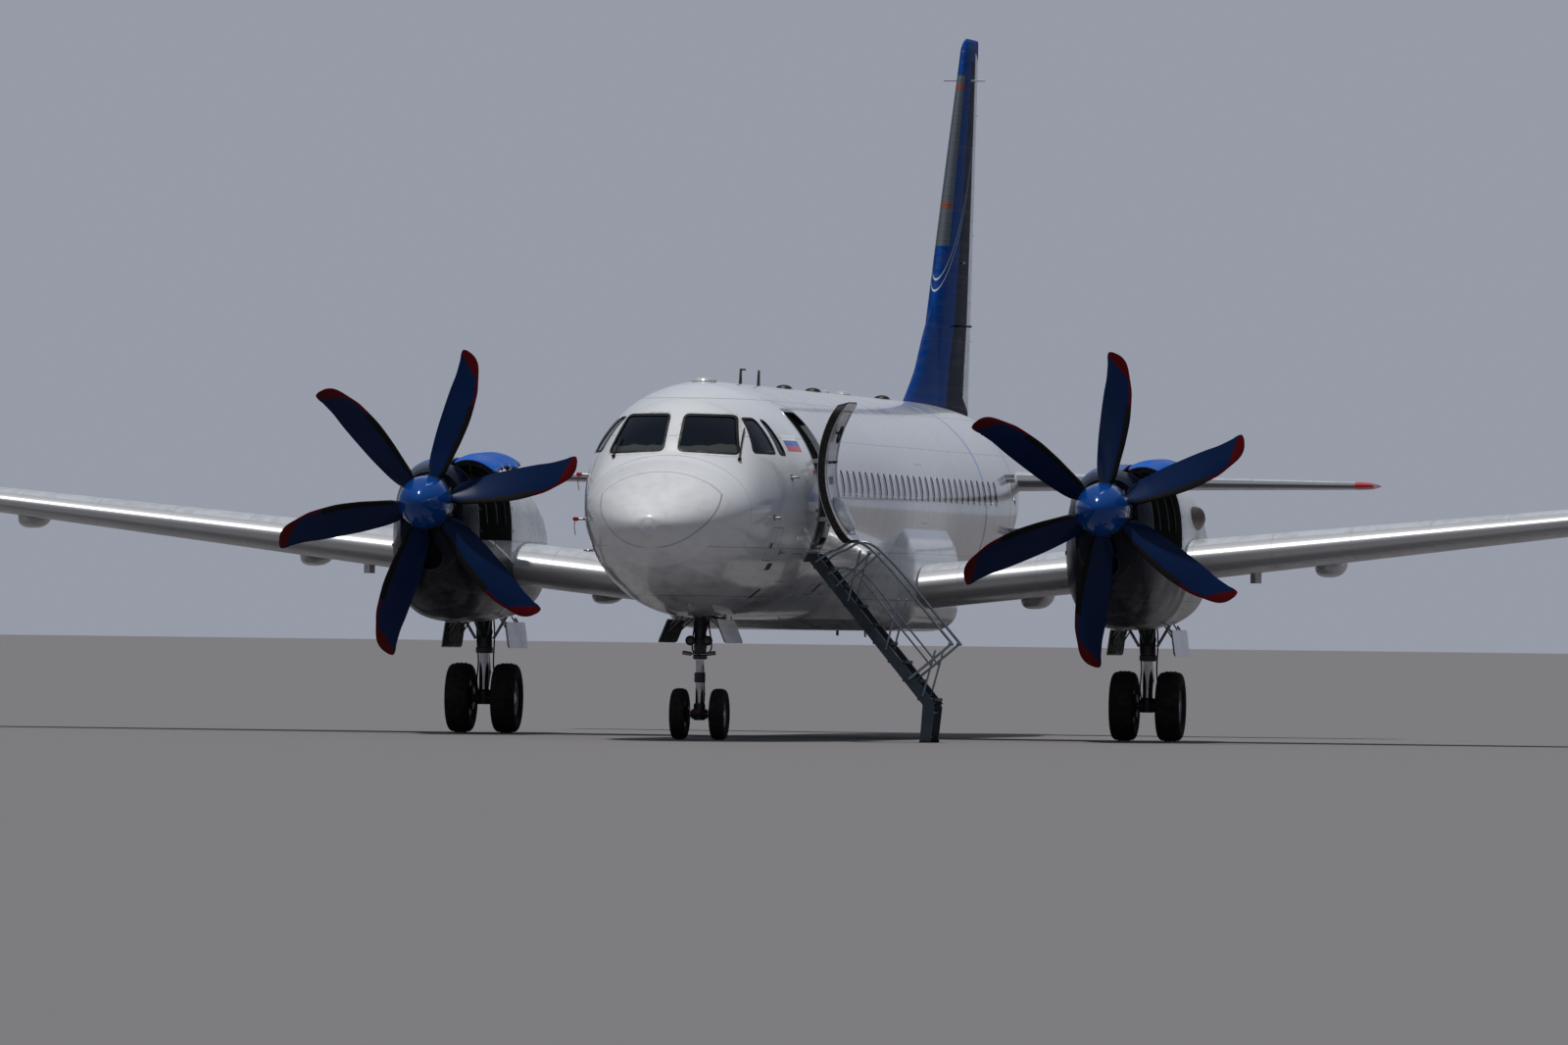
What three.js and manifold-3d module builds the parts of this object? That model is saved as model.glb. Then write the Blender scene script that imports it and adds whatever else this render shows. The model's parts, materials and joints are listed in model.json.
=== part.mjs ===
// A twin turboprop airliner parked on its gear, with its forward door and one upper cowl door of
// each engine open, and its own stairs let down. Millimetres, +Z up. The nose points to -Y and the
// port wing to +X. The origin is on the ground, midway between nose tip and tail end.
// Lengths along the aircraft are given as stations, measured aft from the nose tip.
import * as THREE from "three";
import { mergeVertices } from "three/addons/utils/BufferGeometryUtils.js";
import Module from "manifold-3d";

const wasm = await Module();
wasm.setup();

// Driving dimensions
const LENGTH = 26880;
const GAP = 0.3; // between pieces that touch in the real aircraft
const RUN = 8; // clearance round a piece that moves
const NACELLE_X = 4200; // engine and main gear, from the centre line
const PROP_STATION = 8900;
const HUB_Z = 2850;
const NOSE_GEAR_STATION = 4000;
const MAIN_GEAR_STATION = 13130;
const FLOOR_Z = 2270;
const NOSE_BAY = { half: 250, from: 3330, to: 4700, low: 1300, top: 1900 };
const PASSAGE = { half: 330, top: 4030 }; // doorway between flight deck and entrance

const station = (aft) => aft - LENGTH / 2;
const degrees = THREE.MathUtils.degToRad;

// Colours and finishes
const finish = (color, roughness, metalness = 0) =>
  new THREE.MeshStandardMaterial({ color, roughness, metalness });
const paint = {
  white: finish("#e9ecf0", 0.25),
  blue: finish("#1d62d6", 0.3),
  blade: finish("#0d1730", 0.4),
  metal: finish("#b9bec6", 0.35, 0.8),
  dark: finish("#3a3f47", 0.5, 0.6),
  engine: finish("#54585e", 0.6, 0.7),
  tyre: finish("#17181a", 0.85),
  glass: finish("#26323c", 0.08),
  cabin: finish("#7f8a92", 0.7),
  stair: finish("#4c5968", 0.5, 0.4),
};

// Solids: manifold-3d joins and cuts closed meshes
function solidOf(geometry) {
  const bare = new THREE.BufferGeometry();
  bare.setAttribute("position", geometry.getAttribute("position").clone());
  if (geometry.index) bare.setIndex(geometry.index.clone());
  const merged = mergeVertices(bare, 1e-3);
  const made = new wasm.Manifold(
    new wasm.Mesh({
      numProp: 3,
      vertProperties: new Float32Array(merged.attributes.position.array),
      triVerts: new Uint32Array(merged.index.array),
    }),
  );
  return made;
}

function geometryOf(solid) {
  const mesh = solid.getMesh();
  const geometry = new THREE.BufferGeometry();
  geometry.setAttribute("position", new THREE.BufferAttribute(mesh.vertProperties, 3));
  geometry.setIndex(new THREE.BufferAttribute(mesh.triVerts, 1));
  return geometry;
}

const join = (...pieces) => geometryOf(pieces.map(solidOf).reduce((a, b) => a.add(b)));
const cut = (piece, ...tools) =>
  geometryOf(tools.map(solidOf).reduce((a, b) => a.subtract(b), solidOf(piece)));
const common = (a, b) => geometryOf(solidOf(a).intersect(solidOf(b)));

// What is left of a cut piece once the offcuts inside its neighbour are dropped
function largest(geometry) {
  const bodies = solidOf(geometry).decompose();
  return geometryOf(bodies.reduce((a, b) => (b.volume() > a.volume() ? b : a)));
}

// A solid of its own for the far side: the piece mirrored in the plane of symmetry
function mirrored(geometry) {
  const copy = geometry.index ? geometry.clone() : mergeVertices(geometry.clone(), 1e-3);
  copy.scale(-1, 1, 1);
  const faces = copy.index.array;
  for (let i = 0; i < faces.length; i += 3) {
    [faces[i + 1], faces[i + 2]] = [faces[i + 2], faces[i + 1]];
  }
  return copy;
}

// A skin through rings of points, all with the same count, closed by a flat cap at each end
function loft(rings) {
  const size = rings[0].length;
  const points = rings.flat();
  const faces = [];
  for (let r = 0; r + 1 < rings.length; r++) {
    for (let i = 0; i < size; i++) {
      const a = r * size + i;
      const b = r * size + ((i + 1) % size);
      faces.push(a, b, b + size, a, b + size, a + size);
    }
  }
  const capFaces = flatFaces(rings[0]);
  const last = (rings.length - 1) * size;
  for (const [a, b, c] of capFaces) faces.push(a, c, b, last + a, last + b, last + c);
  let volume = 0;
  const corner = [new THREE.Vector3(), new THREE.Vector3(), new THREE.Vector3()];
  for (let i = 0; i < faces.length; i += 3) {
    corner.forEach((v, k) => v.fromArray(points[faces[i + k]]));
    volume += corner[0].dot(corner[1].clone().cross(corner[2]));
  }
  if (volume < 0) faces.reverse();
  const geometry = new THREE.BufferGeometry();
  geometry.setAttribute("position", new THREE.Float32BufferAttribute(points.flat(), 3));
  geometry.setIndex(faces);
  return geometry;
}

// Triangles of a flat ring, as indices into it, wound the way the ring runs
function flatFaces(ring) {
  const spread = [0, 1, 2].map((k) => {
    const values = ring.map((p) => p[k]);
    return Math.max(...values) - Math.min(...values);
  });
  const flat = spread.indexOf(Math.min(...spread));
  const [u, v] = [0, 1, 2].filter((k) => k !== flat);
  const outline = ring.map((p) => new THREE.Vector2(p[u], p[v]));
  const wound = THREE.ShapeUtils.isClockWise(outline) ? -1 : 1;
  return THREE.ShapeUtils.triangulateShape(outline, []).map(([a, b, c]) => {
    const [pa, pb, pc] = [outline[a], outline[b], outline[c]];
    const turn = (pb.x - pa.x) * (pc.y - pa.y) - (pb.y - pa.y) * (pc.x - pa.x);
    return turn * wound > 0 ? [a, b, c] : [a, c, b];
  });
}

// A box given by its two far corners
function box([x0, y0, z0], [x1, y1, z1]) {
  const geometry = new THREE.BoxGeometry(x1 - x0, y1 - y0, z1 - z0);
  return geometry.translate((x0 + x1) / 2, (y0 + y1) / 2, (z0 + z1) / 2);
}

// A round bar between two points, tapered where the second radius differs
function bar(from, to, radius, sides = 16, endRadius = radius) {
  const start = new THREE.Vector3(...from);
  const run = new THREE.Vector3(...to).sub(start);
  const geometry = new THREE.CylinderGeometry(endRadius, radius, run.length(), sides);
  geometry.translate(0, run.length() / 2, 0);
  const turn = new THREE.Quaternion().setFromUnitVectors(
    new THREE.Vector3(0, 1, 0),
    run.normalize(),
  );
  return geometry.applyQuaternion(turn).translate(start.x, start.y, start.z);
}

// An outline in the plane of two axes, drawn out along the third
function prism(plane, outline, from, to) {
  const shape = new THREE.Shape(outline.map(([u, v]) => new THREE.Vector2(u, v)));
  const geometry = new THREE.ExtrudeGeometry(shape, { depth: to - from, bevelEnabled: false });
  const axes = {
    xy: [[1, 0, 0], [0, 1, 0], [0, 0, 1], [0, 0, from]],
    yz: [[0, 1, 0], [0, 0, 1], [1, 0, 0], [from, 0, 0]],
    xz: [[1, 0, 0], [0, 0, 1], [0, -1, 0], [0, to, 0]],
  }[plane];
  const [u, v, w, at] = axes.map((axis) => new THREE.Vector3(...axis));
  const matrix = new THREE.Matrix4().makeBasis(u, v, w).setPosition(at);
  return geometry.applyMatrix4(matrix);
}

// A profile of [radius, length along the axis], turned about the X axis
function turnedAboutX(profile, sides) {
  const outline = profile.map(([r, x]) => new THREE.Vector2(r, x));
  return new THREE.LatheGeometry([...outline, outline[0]], sides).rotateZ(-Math.PI / 2);
}

const group = new THREE.Group();
function add(name, geometry, material, parent = group) {
  const bare = mergeVertices(
    new THREE.BufferGeometry().copy(geometry).deleteAttribute("normal").deleteAttribute("uv"),
    1e-3,
  );
  const shown = bare.toNonIndexed();
  shown.computeVertexNormals();
  const mesh = new THREE.Mesh(shown, material);
  mesh.name = name;
  parent.add(mesh);
  return mesh;
}

// One piece on each side: the port one as drawn, the starboard one mirrored
function addPair(name, geometry, material) {
  add(name + "_port", geometry, material);
  add(name + "_starboard", mirrored(geometry), material);
}

// Fuselage sections: station, half width, top, bottom, height of the widest line.
// Above and below the widest line each section is half an ellipse.
const SECTIONS = [
  [0, 60, 2610, 2490, 2550],
  [90, 235, 2705, 2355, 2550],
  [300, 420, 2830, 2180, 2560],
  [800, 730, 3090, 1900, 2620],
  [1300, 930, 3290, 1735, 2700],
  [1450, 975, 3345, 1700, 2720],
  [1750, 1045, 3600, 1640, 2750],
  [2050, 1105, 3840, 1590, 2780],
  [2500, 1180, 4060, 1520, 2820],
  [3000, 1260, 4190, 1482, 2842],
  [3600, 1345, 4275, 1457, 2860],
  [4300, 1408, 4308, 1450, 2875],
  [4800, 1430, 4310, 1450, 2880],
  [19600, 1430, 4310, 1450, 2880],
  [20400, 1418, 4308, 1515, 2905],
  [21200, 1370, 4300, 1685, 2965],
  [22500, 1230, 4270, 2010, 3080],
  [24000, 960, 4200, 2480, 3240],
  [25300, 640, 4080, 2900, 3400],
  [26300, 380, 3900, 3220, 3540],
  [LENGTH, 190, 3760, 3380, 3570],
].map(([at, half, top, bottom, widest]) => ({ at, half, top, bottom, widest }));
const FUSELAGE_SIDES = 32;

function sectionAt(at) {
  const next = Math.max(1, SECTIONS.findIndex((row) => row.at >= at));
  const [a, b] = [SECTIONS[next - 1], SECTIONS[next]];
  const t = (at - a.at) / (b.at - a.at);
  const mix = (key) => THREE.MathUtils.lerp(a[key], b[key], t);
  return { at, half: mix("half"), top: mix("top"), bottom: mix("bottom"), widest: mix("widest") };
}

function sectionRing({ at, half, top, bottom, widest }, inset) {
  return Array.from({ length: FUSELAGE_SIDES }, (_, i) => {
    const angle = (2 * Math.PI * i) / FUSELAGE_SIDES;
    const up = Math.cos(angle) > 0;
    const rise = up ? top - widest - inset : widest - bottom - inset;
    return [(half - inset) * Math.sin(angle), station(at), widest + rise * Math.cos(angle)];
  });
}

// The fuselage's outer form between two stations, drawn in by an inset
function hull(from, to, inset = 0) {
  const between = SECTIONS.filter((row) => row.at > from && row.at < to);
  const rows = [sectionAt(from), ...between, sectionAt(to)];
  return loft(rows.map((row) => sectionRing(row, inset)));
}

const skinX = (at, z) => {
  const { half, top, bottom, widest } = sectionAt(at);
  const reach = z > widest ? top - widest : widest - bottom;
  return half * Math.sqrt(Math.max(0, 1 - ((z - widest) / reach) ** 2));
};

// Where the fuselage is split, and the thickness of its walls
const COCKPIT_END = 3200;
const ENTRY_END = 5300;
const REAR_START = 19600;
const COCKPIT_WALL = 30;
const CABIN_WALL = 60;

// Radome seam: upright above, slanting forward below
const SEAM = { top: [1150, 3500], knee: [1150, 2850], low: [450, 2000], front: [-200, 2000] };
const radomeRegion = (shift) =>
  prism(
    "yz",
    [
      [station(-200), SEAM.top[1]],
      [station(SEAM.top[0] + shift), SEAM.top[1]],
      [station(SEAM.knee[0] + shift), SEAM.knee[1]],
      [station(SEAM.low[0] + shift), SEAM.low[1] - shift],
      [station(SEAM.front[0]), SEAM.front[1] - shift],
    ],
    -1500,
    1500,
  );

function addFuselage() {
  const nose = hull(0, COCKPIT_END - GAP);
  add("radome", common(nose, radomeRegion(0)), paint.white);
  add("cockpit_section", cockpitSection(nose), paint.white);
  add("entry_section", entrySection(), paint.white);
  add("centre_fuselage", hull(ENTRY_END, REAR_START - GAP), paint.white);
  add("rear_fuselage", rearFuselage(), paint.white);
}

// Cockpit windows: the two front panes are seen from ahead, as [x, z] of the port one, and the
// side panes from the side, as [station, z]
const FRONT_PANE = [[88, 3440], [785, 3405], [650, 3872], [85, 3880]];
const SIDE_PANES = [
  [[2130, 3430], [2740, 3425], [2840, 3845], [2560, 3845]],
  [[2850, 3420], [3080, 3410], [3080, 3830], [2960, 3830]],
];

function windowTools() {
  const front = (side) =>
    prism("xz", FRONT_PANE.map(([x, z]) => [side * x, z]), station(1200), station(2600));
  const sides = SIDE_PANES.map((pane) =>
    prism("yz", pane.map(([at, z]) => [station(at), z]), -1500, 1500),
  );
  return [front(1), front(-1), ...sides];
}

// The flight deck's doorway goes through the bulkheads on both sides of the section joint
function passage() {
  const reach = 110;
  return box(
    [-PASSAGE.half, station(COCKPIT_END - reach), FLOOR_Z],
    [PASSAGE.half, station(COCKPIT_END + reach), PASSAGE.top],
  );
}

function cockpitSection(nose) {
  const roomStart = 1500;
  const roomEnd = 3120;
  const room = common(
    hull(roomStart, roomEnd, COCKPIT_WALL),
    box([-1500, station(roomStart), FLOOR_Z], [1500, station(roomEnd), 4500]),
  );
  const shell = cut(nose, radomeRegion(GAP), room, passage(), ...windowTools());
  return join(shell, jackPad(0, 2650, 1480));
}

// A round pad with a flat foot, where a jack takes the weight
const JACK_PAD_RADIUS = 70;
function jackPad(x, at, footZ) {
  return bar([x, station(at), footZ + 160], [x, station(at), footZ], JACK_PAD_RADIUS, 24);
}

// Doors of the cabin. All are hung at their front edge, on an axis that stands off the skin and
// leans in at the top as the fuselage does, so that they lie flat along it when open.
const DOORS = {
  front: { from: 4170, to: 4980, low: 2300, high: 3945 },
  rear: { from: 20400, to: 21200, low: 2320, high: 3900 },
};
const HINGE_LEAN = -0.13; // x per unit of height
const HINGE_HEIGHT = 3100; // where the stand-off is given
const HINGE_STAND_OFF = 75;
const EDGE_GAP = { hinge: 6, free: 37, top: 15, bottom: 12 };

const hingeX = (door, z) =>
  skinX(door.from, HINGE_HEIGHT) + HINGE_STAND_OFF + HINGE_LEAN * (z - HINGE_HEIGHT);
const hingeStation = (door) => door.from - 20;

function doorway({ from, to, low, high }) {
  return box([500, station(from), low], [1600, station(to), high]);
}

// Knuckles stand on the axis: the door's own lie between those of the fuselage
const KNUCKLES = { radius: 18, length: 50, heights: [2600, 3300] };

function knuckle(door, z, arms) {
  const axisAt = (height) => [hingeX(door, height), station(hingeStation(door)), height];
  const half = KNUCKLES.length / 2;
  const barrel = bar(axisAt(z - half), axisAt(z + half), KNUCKLES.radius, 8);
  const boxes = arms.map(([x, from, to]) =>
    box([x, station(from), z - half], [hingeX(door, z) + 5, station(to), z + half]),
  );
  return join(barrel, ...boxes);
}

// The fuselage's knuckles stand just above the door's
function fixedKnuckles(door) {
  return KNUCKLES.heights.map((z) => {
    const height = z + KNUCKLES.length + 10;
    const root = skinX(door.from, height) - 30;
    return knuckle(door, height, [[root, door.from - 60, door.from - 8]]);
  });
}

// A door's own arm stays off the skin beside the doorway and then goes into the panel
function doorKnuckle(door, z) {
  const skin = skinX(door.from, z);
  const start = door.from + EDGE_GAP.hinge;
  const off = [skin + 20, hingeStation(door) - 12, start + 50];
  const inPanel = [skin - 25, start, start + 50];
  return knuckle(door, z, [off, inPanel]);
}

function doorPanel(door) {
  const { from, to, low, high } = door;
  const [start, end] = [from + EDGE_GAP.hinge, to - EDGE_GAP.free];
  const skin = cut(hull(from - 400, to + 400), hull(from - 500, to + 500, CABIN_WALL));
  const panel = common(
    skin,
    box([300, station(start), low + EDGE_GAP.bottom], [1600, station(end), high - EDGE_GAP.top]),
  );
  return join(panel, ...KNUCKLES.heights.map((z) => doorKnuckle(door, z)));
}

function entrySection() {
  const [roomStart, roomEnd] = [COCKPIT_END + CABIN_WALL, ENTRY_END - 100];
  const outer = hull(COCKPIT_END, ENTRY_END - GAP);
  const room = common(
    hull(roomStart, roomEnd, CABIN_WALL),
    box([-1500, station(roomStart), FLOOR_Z], [1500, station(roomEnd), 4500]),
  );
  const gearBay = box(
    [-NOSE_BAY.half, station(NOSE_BAY.from), NOSE_BAY.low],
    [NOSE_BAY.half, station(NOSE_BAY.to), NOSE_BAY.top],
  );
  const shell = cut(outer, room, passage(), gearBay, doorway(DOORS.front));
  return join(shell, ...fixedKnuckles(DOORS.front));
}

function rearFuselage() {
  const [roomStart, roomEnd] = [19900, 24200];
  const outer = hull(REAR_START, LENGTH);
  const room = common(
    hull(roomStart, roomEnd, CABIN_WALL),
    box([-1500, station(roomStart), FLOOR_Z + 20], [1500, station(roomEnd), 4500]),
  );
  const opening = doorway(DOORS.rear);
  const shell = cut(outer, room, opening, mirrored(opening));
  const knuckles = fixedKnuckles(DOORS.rear);
  return join(shell, ...knuckles, ...knuckles.map(mirrored));
}

// Glass of the cockpit: one band close inside the wall, behind all the panes
function cockpitGlazing() {
  const [outside, inside] = [COCKPIT_WALL + 5, COCKPIT_WALL + 19];
  const band = box([-1500, station(1350), 3370], [1500, station(3110), 3880]);
  return common(cut(hull(1300, 3110, outside), hull(1250, 3150, inside)), band);
}

// Flight deck, trimmed to fit inside the skin: middle and half width of each block, its stations,
// its heights above the floor
const SEAT_X = 430;
const FLIGHT_DECK = [
  { what: "floor plate", x: 0, half: 700, from: 1900, to: 3000, low: 5, high: 40 },
  { what: "instrument panel", x: 0, half: 760, from: 1900, to: 2150, low: 430, high: 1060 },
  { what: "pedestal", x: 0, half: 160, from: 1900, to: 2500, low: 10, high: 630 },
  ...[-SEAT_X, SEAT_X].flatMap((x) => [
    { what: "seat post", x, half: 90, from: 2500, to: 2720, low: 10, high: 370 },
    { what: "seat", x, half: 230, from: 2420, to: 2860, low: 350, high: 470 },
    { what: "seat back", x, half: 220, from: 2780, to: 2880, low: 430, high: 1150 },
  ]),
];

function flightDeck() {
  const blocks = FLIGHT_DECK.map(({ x, half, from, to, low, high }) =>
    box([x - half, station(from), FLOOR_Z + low], [x + half, station(to), FLOOR_Z + high]),
  );
  const inside = hull(1500, 3110, COCKPIT_WALL + 30);
  return largest(common(join(...blocks), inside));
}

// Passenger door at rest: turned forward about its leaning axis, right round to the skin
const FRONT_DOOR_OPEN = 180;
function hingeFrame(door) {
  const low = new THREE.Vector3(hingeX(door, 0), station(hingeStation(door)), 0);
  const axis = new THREE.Vector3(HINGE_LEAN, 0, 1).normalize();
  return { low, axis };
}

function turnedAbout(geometry, { low, axis }, angle) {
  const copy = geometry.clone().translate(-low.x, -low.y, -low.z);
  copy.applyQuaternion(new THREE.Quaternion().setFromAxisAngle(axis, degrees(angle)));
  return copy.translate(low.x, low.y, low.z);
}

// A housing inside the front door's foot, which stands outward while the door is open
const HOUSING = { x: 1150, from: 4330, to: 4840, low: 2420, high: 2850 };
function frontDoor() {
  const door = DOORS.front;
  const housing = common(
    box([HOUSING.x, station(HOUSING.from), HOUSING.low], [1500, station(HOUSING.to), HOUSING.high]),
    hull(door.from, door.to, CABIN_WALL - 5),
  );
  return join(doorPanel(door), housing);
}

function addDoors() {
  const open = turnedAbout(frontDoor(), hingeFrame(DOORS.front), -FRONT_DOOR_OPEN);
  add("passenger_door_front", open, paint.white);
  const rear = doorPanel(DOORS.rear);
  add("passenger_door_rear", rear, paint.white);
  add("service_door_rear", mirrored(rear), paint.white);
}

// Stairs: two stringers, treads and a tube rail on each side, hung on the sill. [x, z] of the run
const STAIR = {
  from: 4235,
  to: 4915,
  top: [1310, 2215],
  foot: [2770, 430],
  toe: [2705, 10],
  treads: 8,
  rail: [[1345, 2150], [1600, 2298], [2000, 2325], [2950, 1200], [2500, 760]],
  strut: [[2030, 2270], [1600, 1860]],
};

function airstair() {
  const { from, to, top, foot, toe } = STAIR;
  const at = ([x, z], side) => [x, station(side), z];
  const pieces = [];
  for (const side of [from, to]) {
    pieces.push(
      bar(at(top, side), at(foot, side), 34, 6),
      bar(at(foot, side), at(toe, side), 26, 6),
      bar(at(STAIR.strut[0], side), at(STAIR.strut[1], side), 15, 6),
      box([1150, station(side) - 30, 2150], [1340, station(side) + 30, 2250]),
    );
    for (let i = 0; i + 1 < STAIR.rail.length; i++) {
      pieces.push(bar(at(STAIR.rail[i], side), at(STAIR.rail[i + 1], side), 16, 6));
    }
  }
  for (let i = 0; i < STAIR.treads; i++) {
    const t = (i + 0.6) / STAIR.treads;
    const x = THREE.MathUtils.lerp(top[0], foot[0], t);
    const z = THREE.MathUtils.lerp(top[1], foot[1], t);
    pieces.push(box([x - 90, station(from), z - 14], [x + 110, station(to), z + 14]));
  }
  return largest(cut(join(...pieces), hull(3600, 6000, -GAP)));
}

// Aerofoils: half thickness of a section at a share of its chord, as a fraction of its thickness
const foilHalf = (c) =>
  5 * (0.2969 * Math.sqrt(c) - 0.126 * c - 0.3516 * c ** 2 + 0.2843 * c ** 3 - 0.1036 * c ** 4);
const FOIL_STEPS = 9;
const EDGE_HALF = 4; // half the thickness of a trailing edge

// Points round a section, from trailing edge over the top to the leading edge and back below
function foilRing(row, place, grow = 0) {
  const shares = Array.from({ length: FOIL_STEPS + 1 }, (_, i) =>
    (1 + Math.cos((Math.PI * i) / FOIL_STEPS)) / 2,
  );
  const skin = (c) => foilHalf(c) * row.chord * row.thick + EDGE_HALF * c;
  const half = (c) => (c > 0 ? skin(c) + grow : 0);
  const aft = (c) => row.lead + c * row.chord + grow * (5 * c - 4);
  const over = shares.map((c) => place(row.span, station(aft(c)), half(c)));
  const under = shares.slice(0, -1).reverse().map((c) => place(row.span, station(aft(c)), -half(c)));
  return [...over, ...under];
}

// Wing planform: distance out along the wing, station of the leading edge, chord, thickness
const WING = [
  { span: 1200, lead: 11200, chord: 3420, thick: 0.16 },
  { span: 4250, lead: 11200, chord: 3420, thick: 0.155 },
  { span: 14850, lead: 11950, chord: 1530, thick: 0.12 },
  { span: 15000, lead: 12010, chord: 1430, thick: 0.09 },
  { span: 15085, lead: 12150, chord: 1220, thick: 0.03 },
];
const WING_RISE = Math.atan(0.11);
const WING_ROOT_Z = 1726;
const WING_JOINT_X = 1550; // side of the belly fairing

// The wing is drawn flat, span along X, and then turned up by its dihedral
const raised = (geometry) =>
  geometry.clone().rotateY(-WING_RISE).translate(0, 0, WING_ROOT_Z);
const flatWing = (grow = 0) =>
  loft(WING.map((row) => foilRing(row, (span, y, up) => [span, y, up], grow)));

function wingLine(span, share) {
  const next = WING.findIndex((row) => row.span >= span);
  const [a, b] = [WING[next - 1], WING[next]];
  const t = (span - a.span) / (b.span - a.span);
  const lead = THREE.MathUtils.lerp(a.lead, b.lead, t);
  const chord = THREE.MathUtils.lerp(a.chord, b.chord, t);
  const thick = THREE.MathUtils.lerp(a.thick, b.thick, t);
  const half = foilHalf(share) * chord * thick + EDGE_HALF * share;
  return { point: [span, station(lead + share * chord)], half };
}

// How a point [along, y] of a hinge line reads in a wing, drawn level, and in the upright fin
const LEVEL = {
  plane: "xy",
  outline: ([along, y]) => [along, y],
  place: ([along, y]) => [along, y, 0],
};
const UPRIGHT = {
  plane: "yz",
  outline: ([along, y]) => [y, along],
  place: ([along, y]) => [0, y, along],
};

// A movable surface between two points of a hinge line, each { point: [along, y], half }.
// Gives the surface itself, with a round nose on the hinge, and the pocket that it moves in.
function movable(body, [inner, outer], endGap, lie) {
  const along = new THREE.Vector2(...outer.point).sub(new THREE.Vector2(...inner.point));
  along.normalize();
  const aft = new THREE.Vector2(-along.y, along.x);
  if (aft.y < 0) aft.negate();
  const reach = 2500;
  const at = ({ point }, alongBy, aftBy) => [
    point[0] + along.x * alongBy + aft.x * aftBy,
    point[1] + along.y * alongBy + aft.y * aftBy,
  ];
  const region = [at(inner, 0, 0), at(outer, 0, 0), at(outer, 0, reach), at(inner, 0, reach)];
  const pocket = [
    at(inner, -endGap, -inner.half - RUN),
    at(outer, endGap, -outer.half - RUN),
    at(outer, endGap, reach),
    at(inner, -endGap, reach),
  ];
  const depth = 1500;
  const draw = (outline) => prism(lie.plane, outline.map(lie.outline), -depth, depth);
  const [innerEnd, outerEnd] = [lie.place(inner.point), lie.place(outer.point)];
  const nose = bar(innerEnd, outerEnd, inner.half - 2, 16, outer.half - 2);
  return {
    surface: join(common(body, draw(region)), nose),
    pocket: draw(pocket),
  };
}

const AILERON = { from: 10330, to: 14300, share: 0.74, gap: 15 };
const FLAPS = [
  { name: "flap_inboard", from: 1640, to: 3380 },
  { name: "flap_outboard", from: 5080, to: 10230 },
];
const FLAP_SHARE = 0.7;
const FLAP_GAP = 14;
const WING_PAD = { x: 5600, at: 12700, foot: 1985 };

function addWings() {
  const body = flatWing();
  const ends = [wingLine(AILERON.from, AILERON.share), wingLine(AILERON.to, AILERON.share)];
  const aileron = movable(body, ends, AILERON.gap, LEVEL);
  const pockets = [aileron.pocket];
  for (const { name, from, to } of FLAPS) {
    const [a, b] = [wingLine(from, FLAP_SHARE).point, wingLine(to, FLAP_SHARE).point];
    const outline = (inset) => [
      [a[0] + inset, a[1] + inset],
      [b[0] - inset, b[1] + inset],
      [b[0] - inset, b[1] + 3000],
      [a[0] + inset, a[1] + 3000],
    ];
    pockets.push(prism("xy", outline(0), -900, 900));
    const flap = common(body, prism("xy", outline(FLAP_GAP), -900, 900));
    addPair(name, raised(flap), paint.white);
  }
  const outboard = box([WING_JOINT_X + GAP, -9000, -2000], [16000, 9000, 6000]);
  const panel = common(raised(cut(body, ...pockets)), outboard);
  const pad = jackPad(WING_PAD.x, WING_PAD.at, WING_PAD.foot);
  addPair("wing", join(panel, pad), paint.metal);
  addPair("aileron", raised(aileron.surface), paint.white);
}

// Belly fairing: station, half width, bottom. Its sides are flat where the wings join.
const BELLY = [
  [10200, 1150, 1480],
  [10700, 1420, 1400],
  [11150, WING_JOINT_X, 1345],
  [14700, WING_JOINT_X, 1345],
  [15300, 1440, 1400],
  [16000, 1150, 1480],
];

function bellyFairing() {
  const rings = BELLY.map(([at, half, low]) => {
    const side = [
      [half * 0.8, low],
      [half * 0.95, low + 90],
      [half, low + 250],
      [half, 2210],
      [half * 0.97, 2420],
      [half * 0.88, 2680],
    ];
    const starboard = side.map(([x, z]) => [-x, z]).reverse();
    return [...side, ...starboard].map(([x, z]) => [x, station(at), z]);
  });
  return largest(cut(loft(rings), hull(9000, 17000, -GAP)));
}

// Fin, from inside the fuselage up: height, leading edge, chord, thickness
const FIN = [
  { span: 3950, lead: 21900, chord: 4280, thick: 0.06 },
  { span: 4830, lead: 22350, chord: 3930, thick: 0.07 },
  { span: 5400, lead: 22760, chord: 3595, thick: 0.085 },
  { span: 9060, lead: 25430, chord: 1350, thick: 0.1 },
  { span: 9150, lead: 25560, chord: 1220, thick: 0.07 },
  { span: 9190, lead: 25700, chord: 1040, thick: 0.03 },
];
const RUDDER = { low: 4420, high: 9020, lowHinge: 25330, highHinge: 26200, gap: 15 };
// Dorsal fillet: station, height of its edge, half width at its foot
const DORSAL = [
  [20100, 4200, 30],
  [20900, 4480, 60],
  [21700, 4830, 75],
  [22300, 5250, 80],
  [22900, 5620, 85],
];

function lineAt(rows, span, key) {
  const next = Math.max(1, rows.findIndex((row) => row.span >= span));
  const [a, b] = [rows[next - 1], rows[next]];
  return THREE.MathUtils.lerp(a[key], b[key], (span - a.span) / (b.span - a.span));
}

// Half the thickness of an aerofoil at a station, for the round nose of what is hinged there
function halfAt(rows, span, at) {
  const chord = lineAt(rows, span, "chord");
  const share = (at - lineAt(rows, span, "lead")) / chord;
  return foilHalf(share) * chord * lineAt(rows, span, "thick") + EDGE_HALF * share;
}

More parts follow.
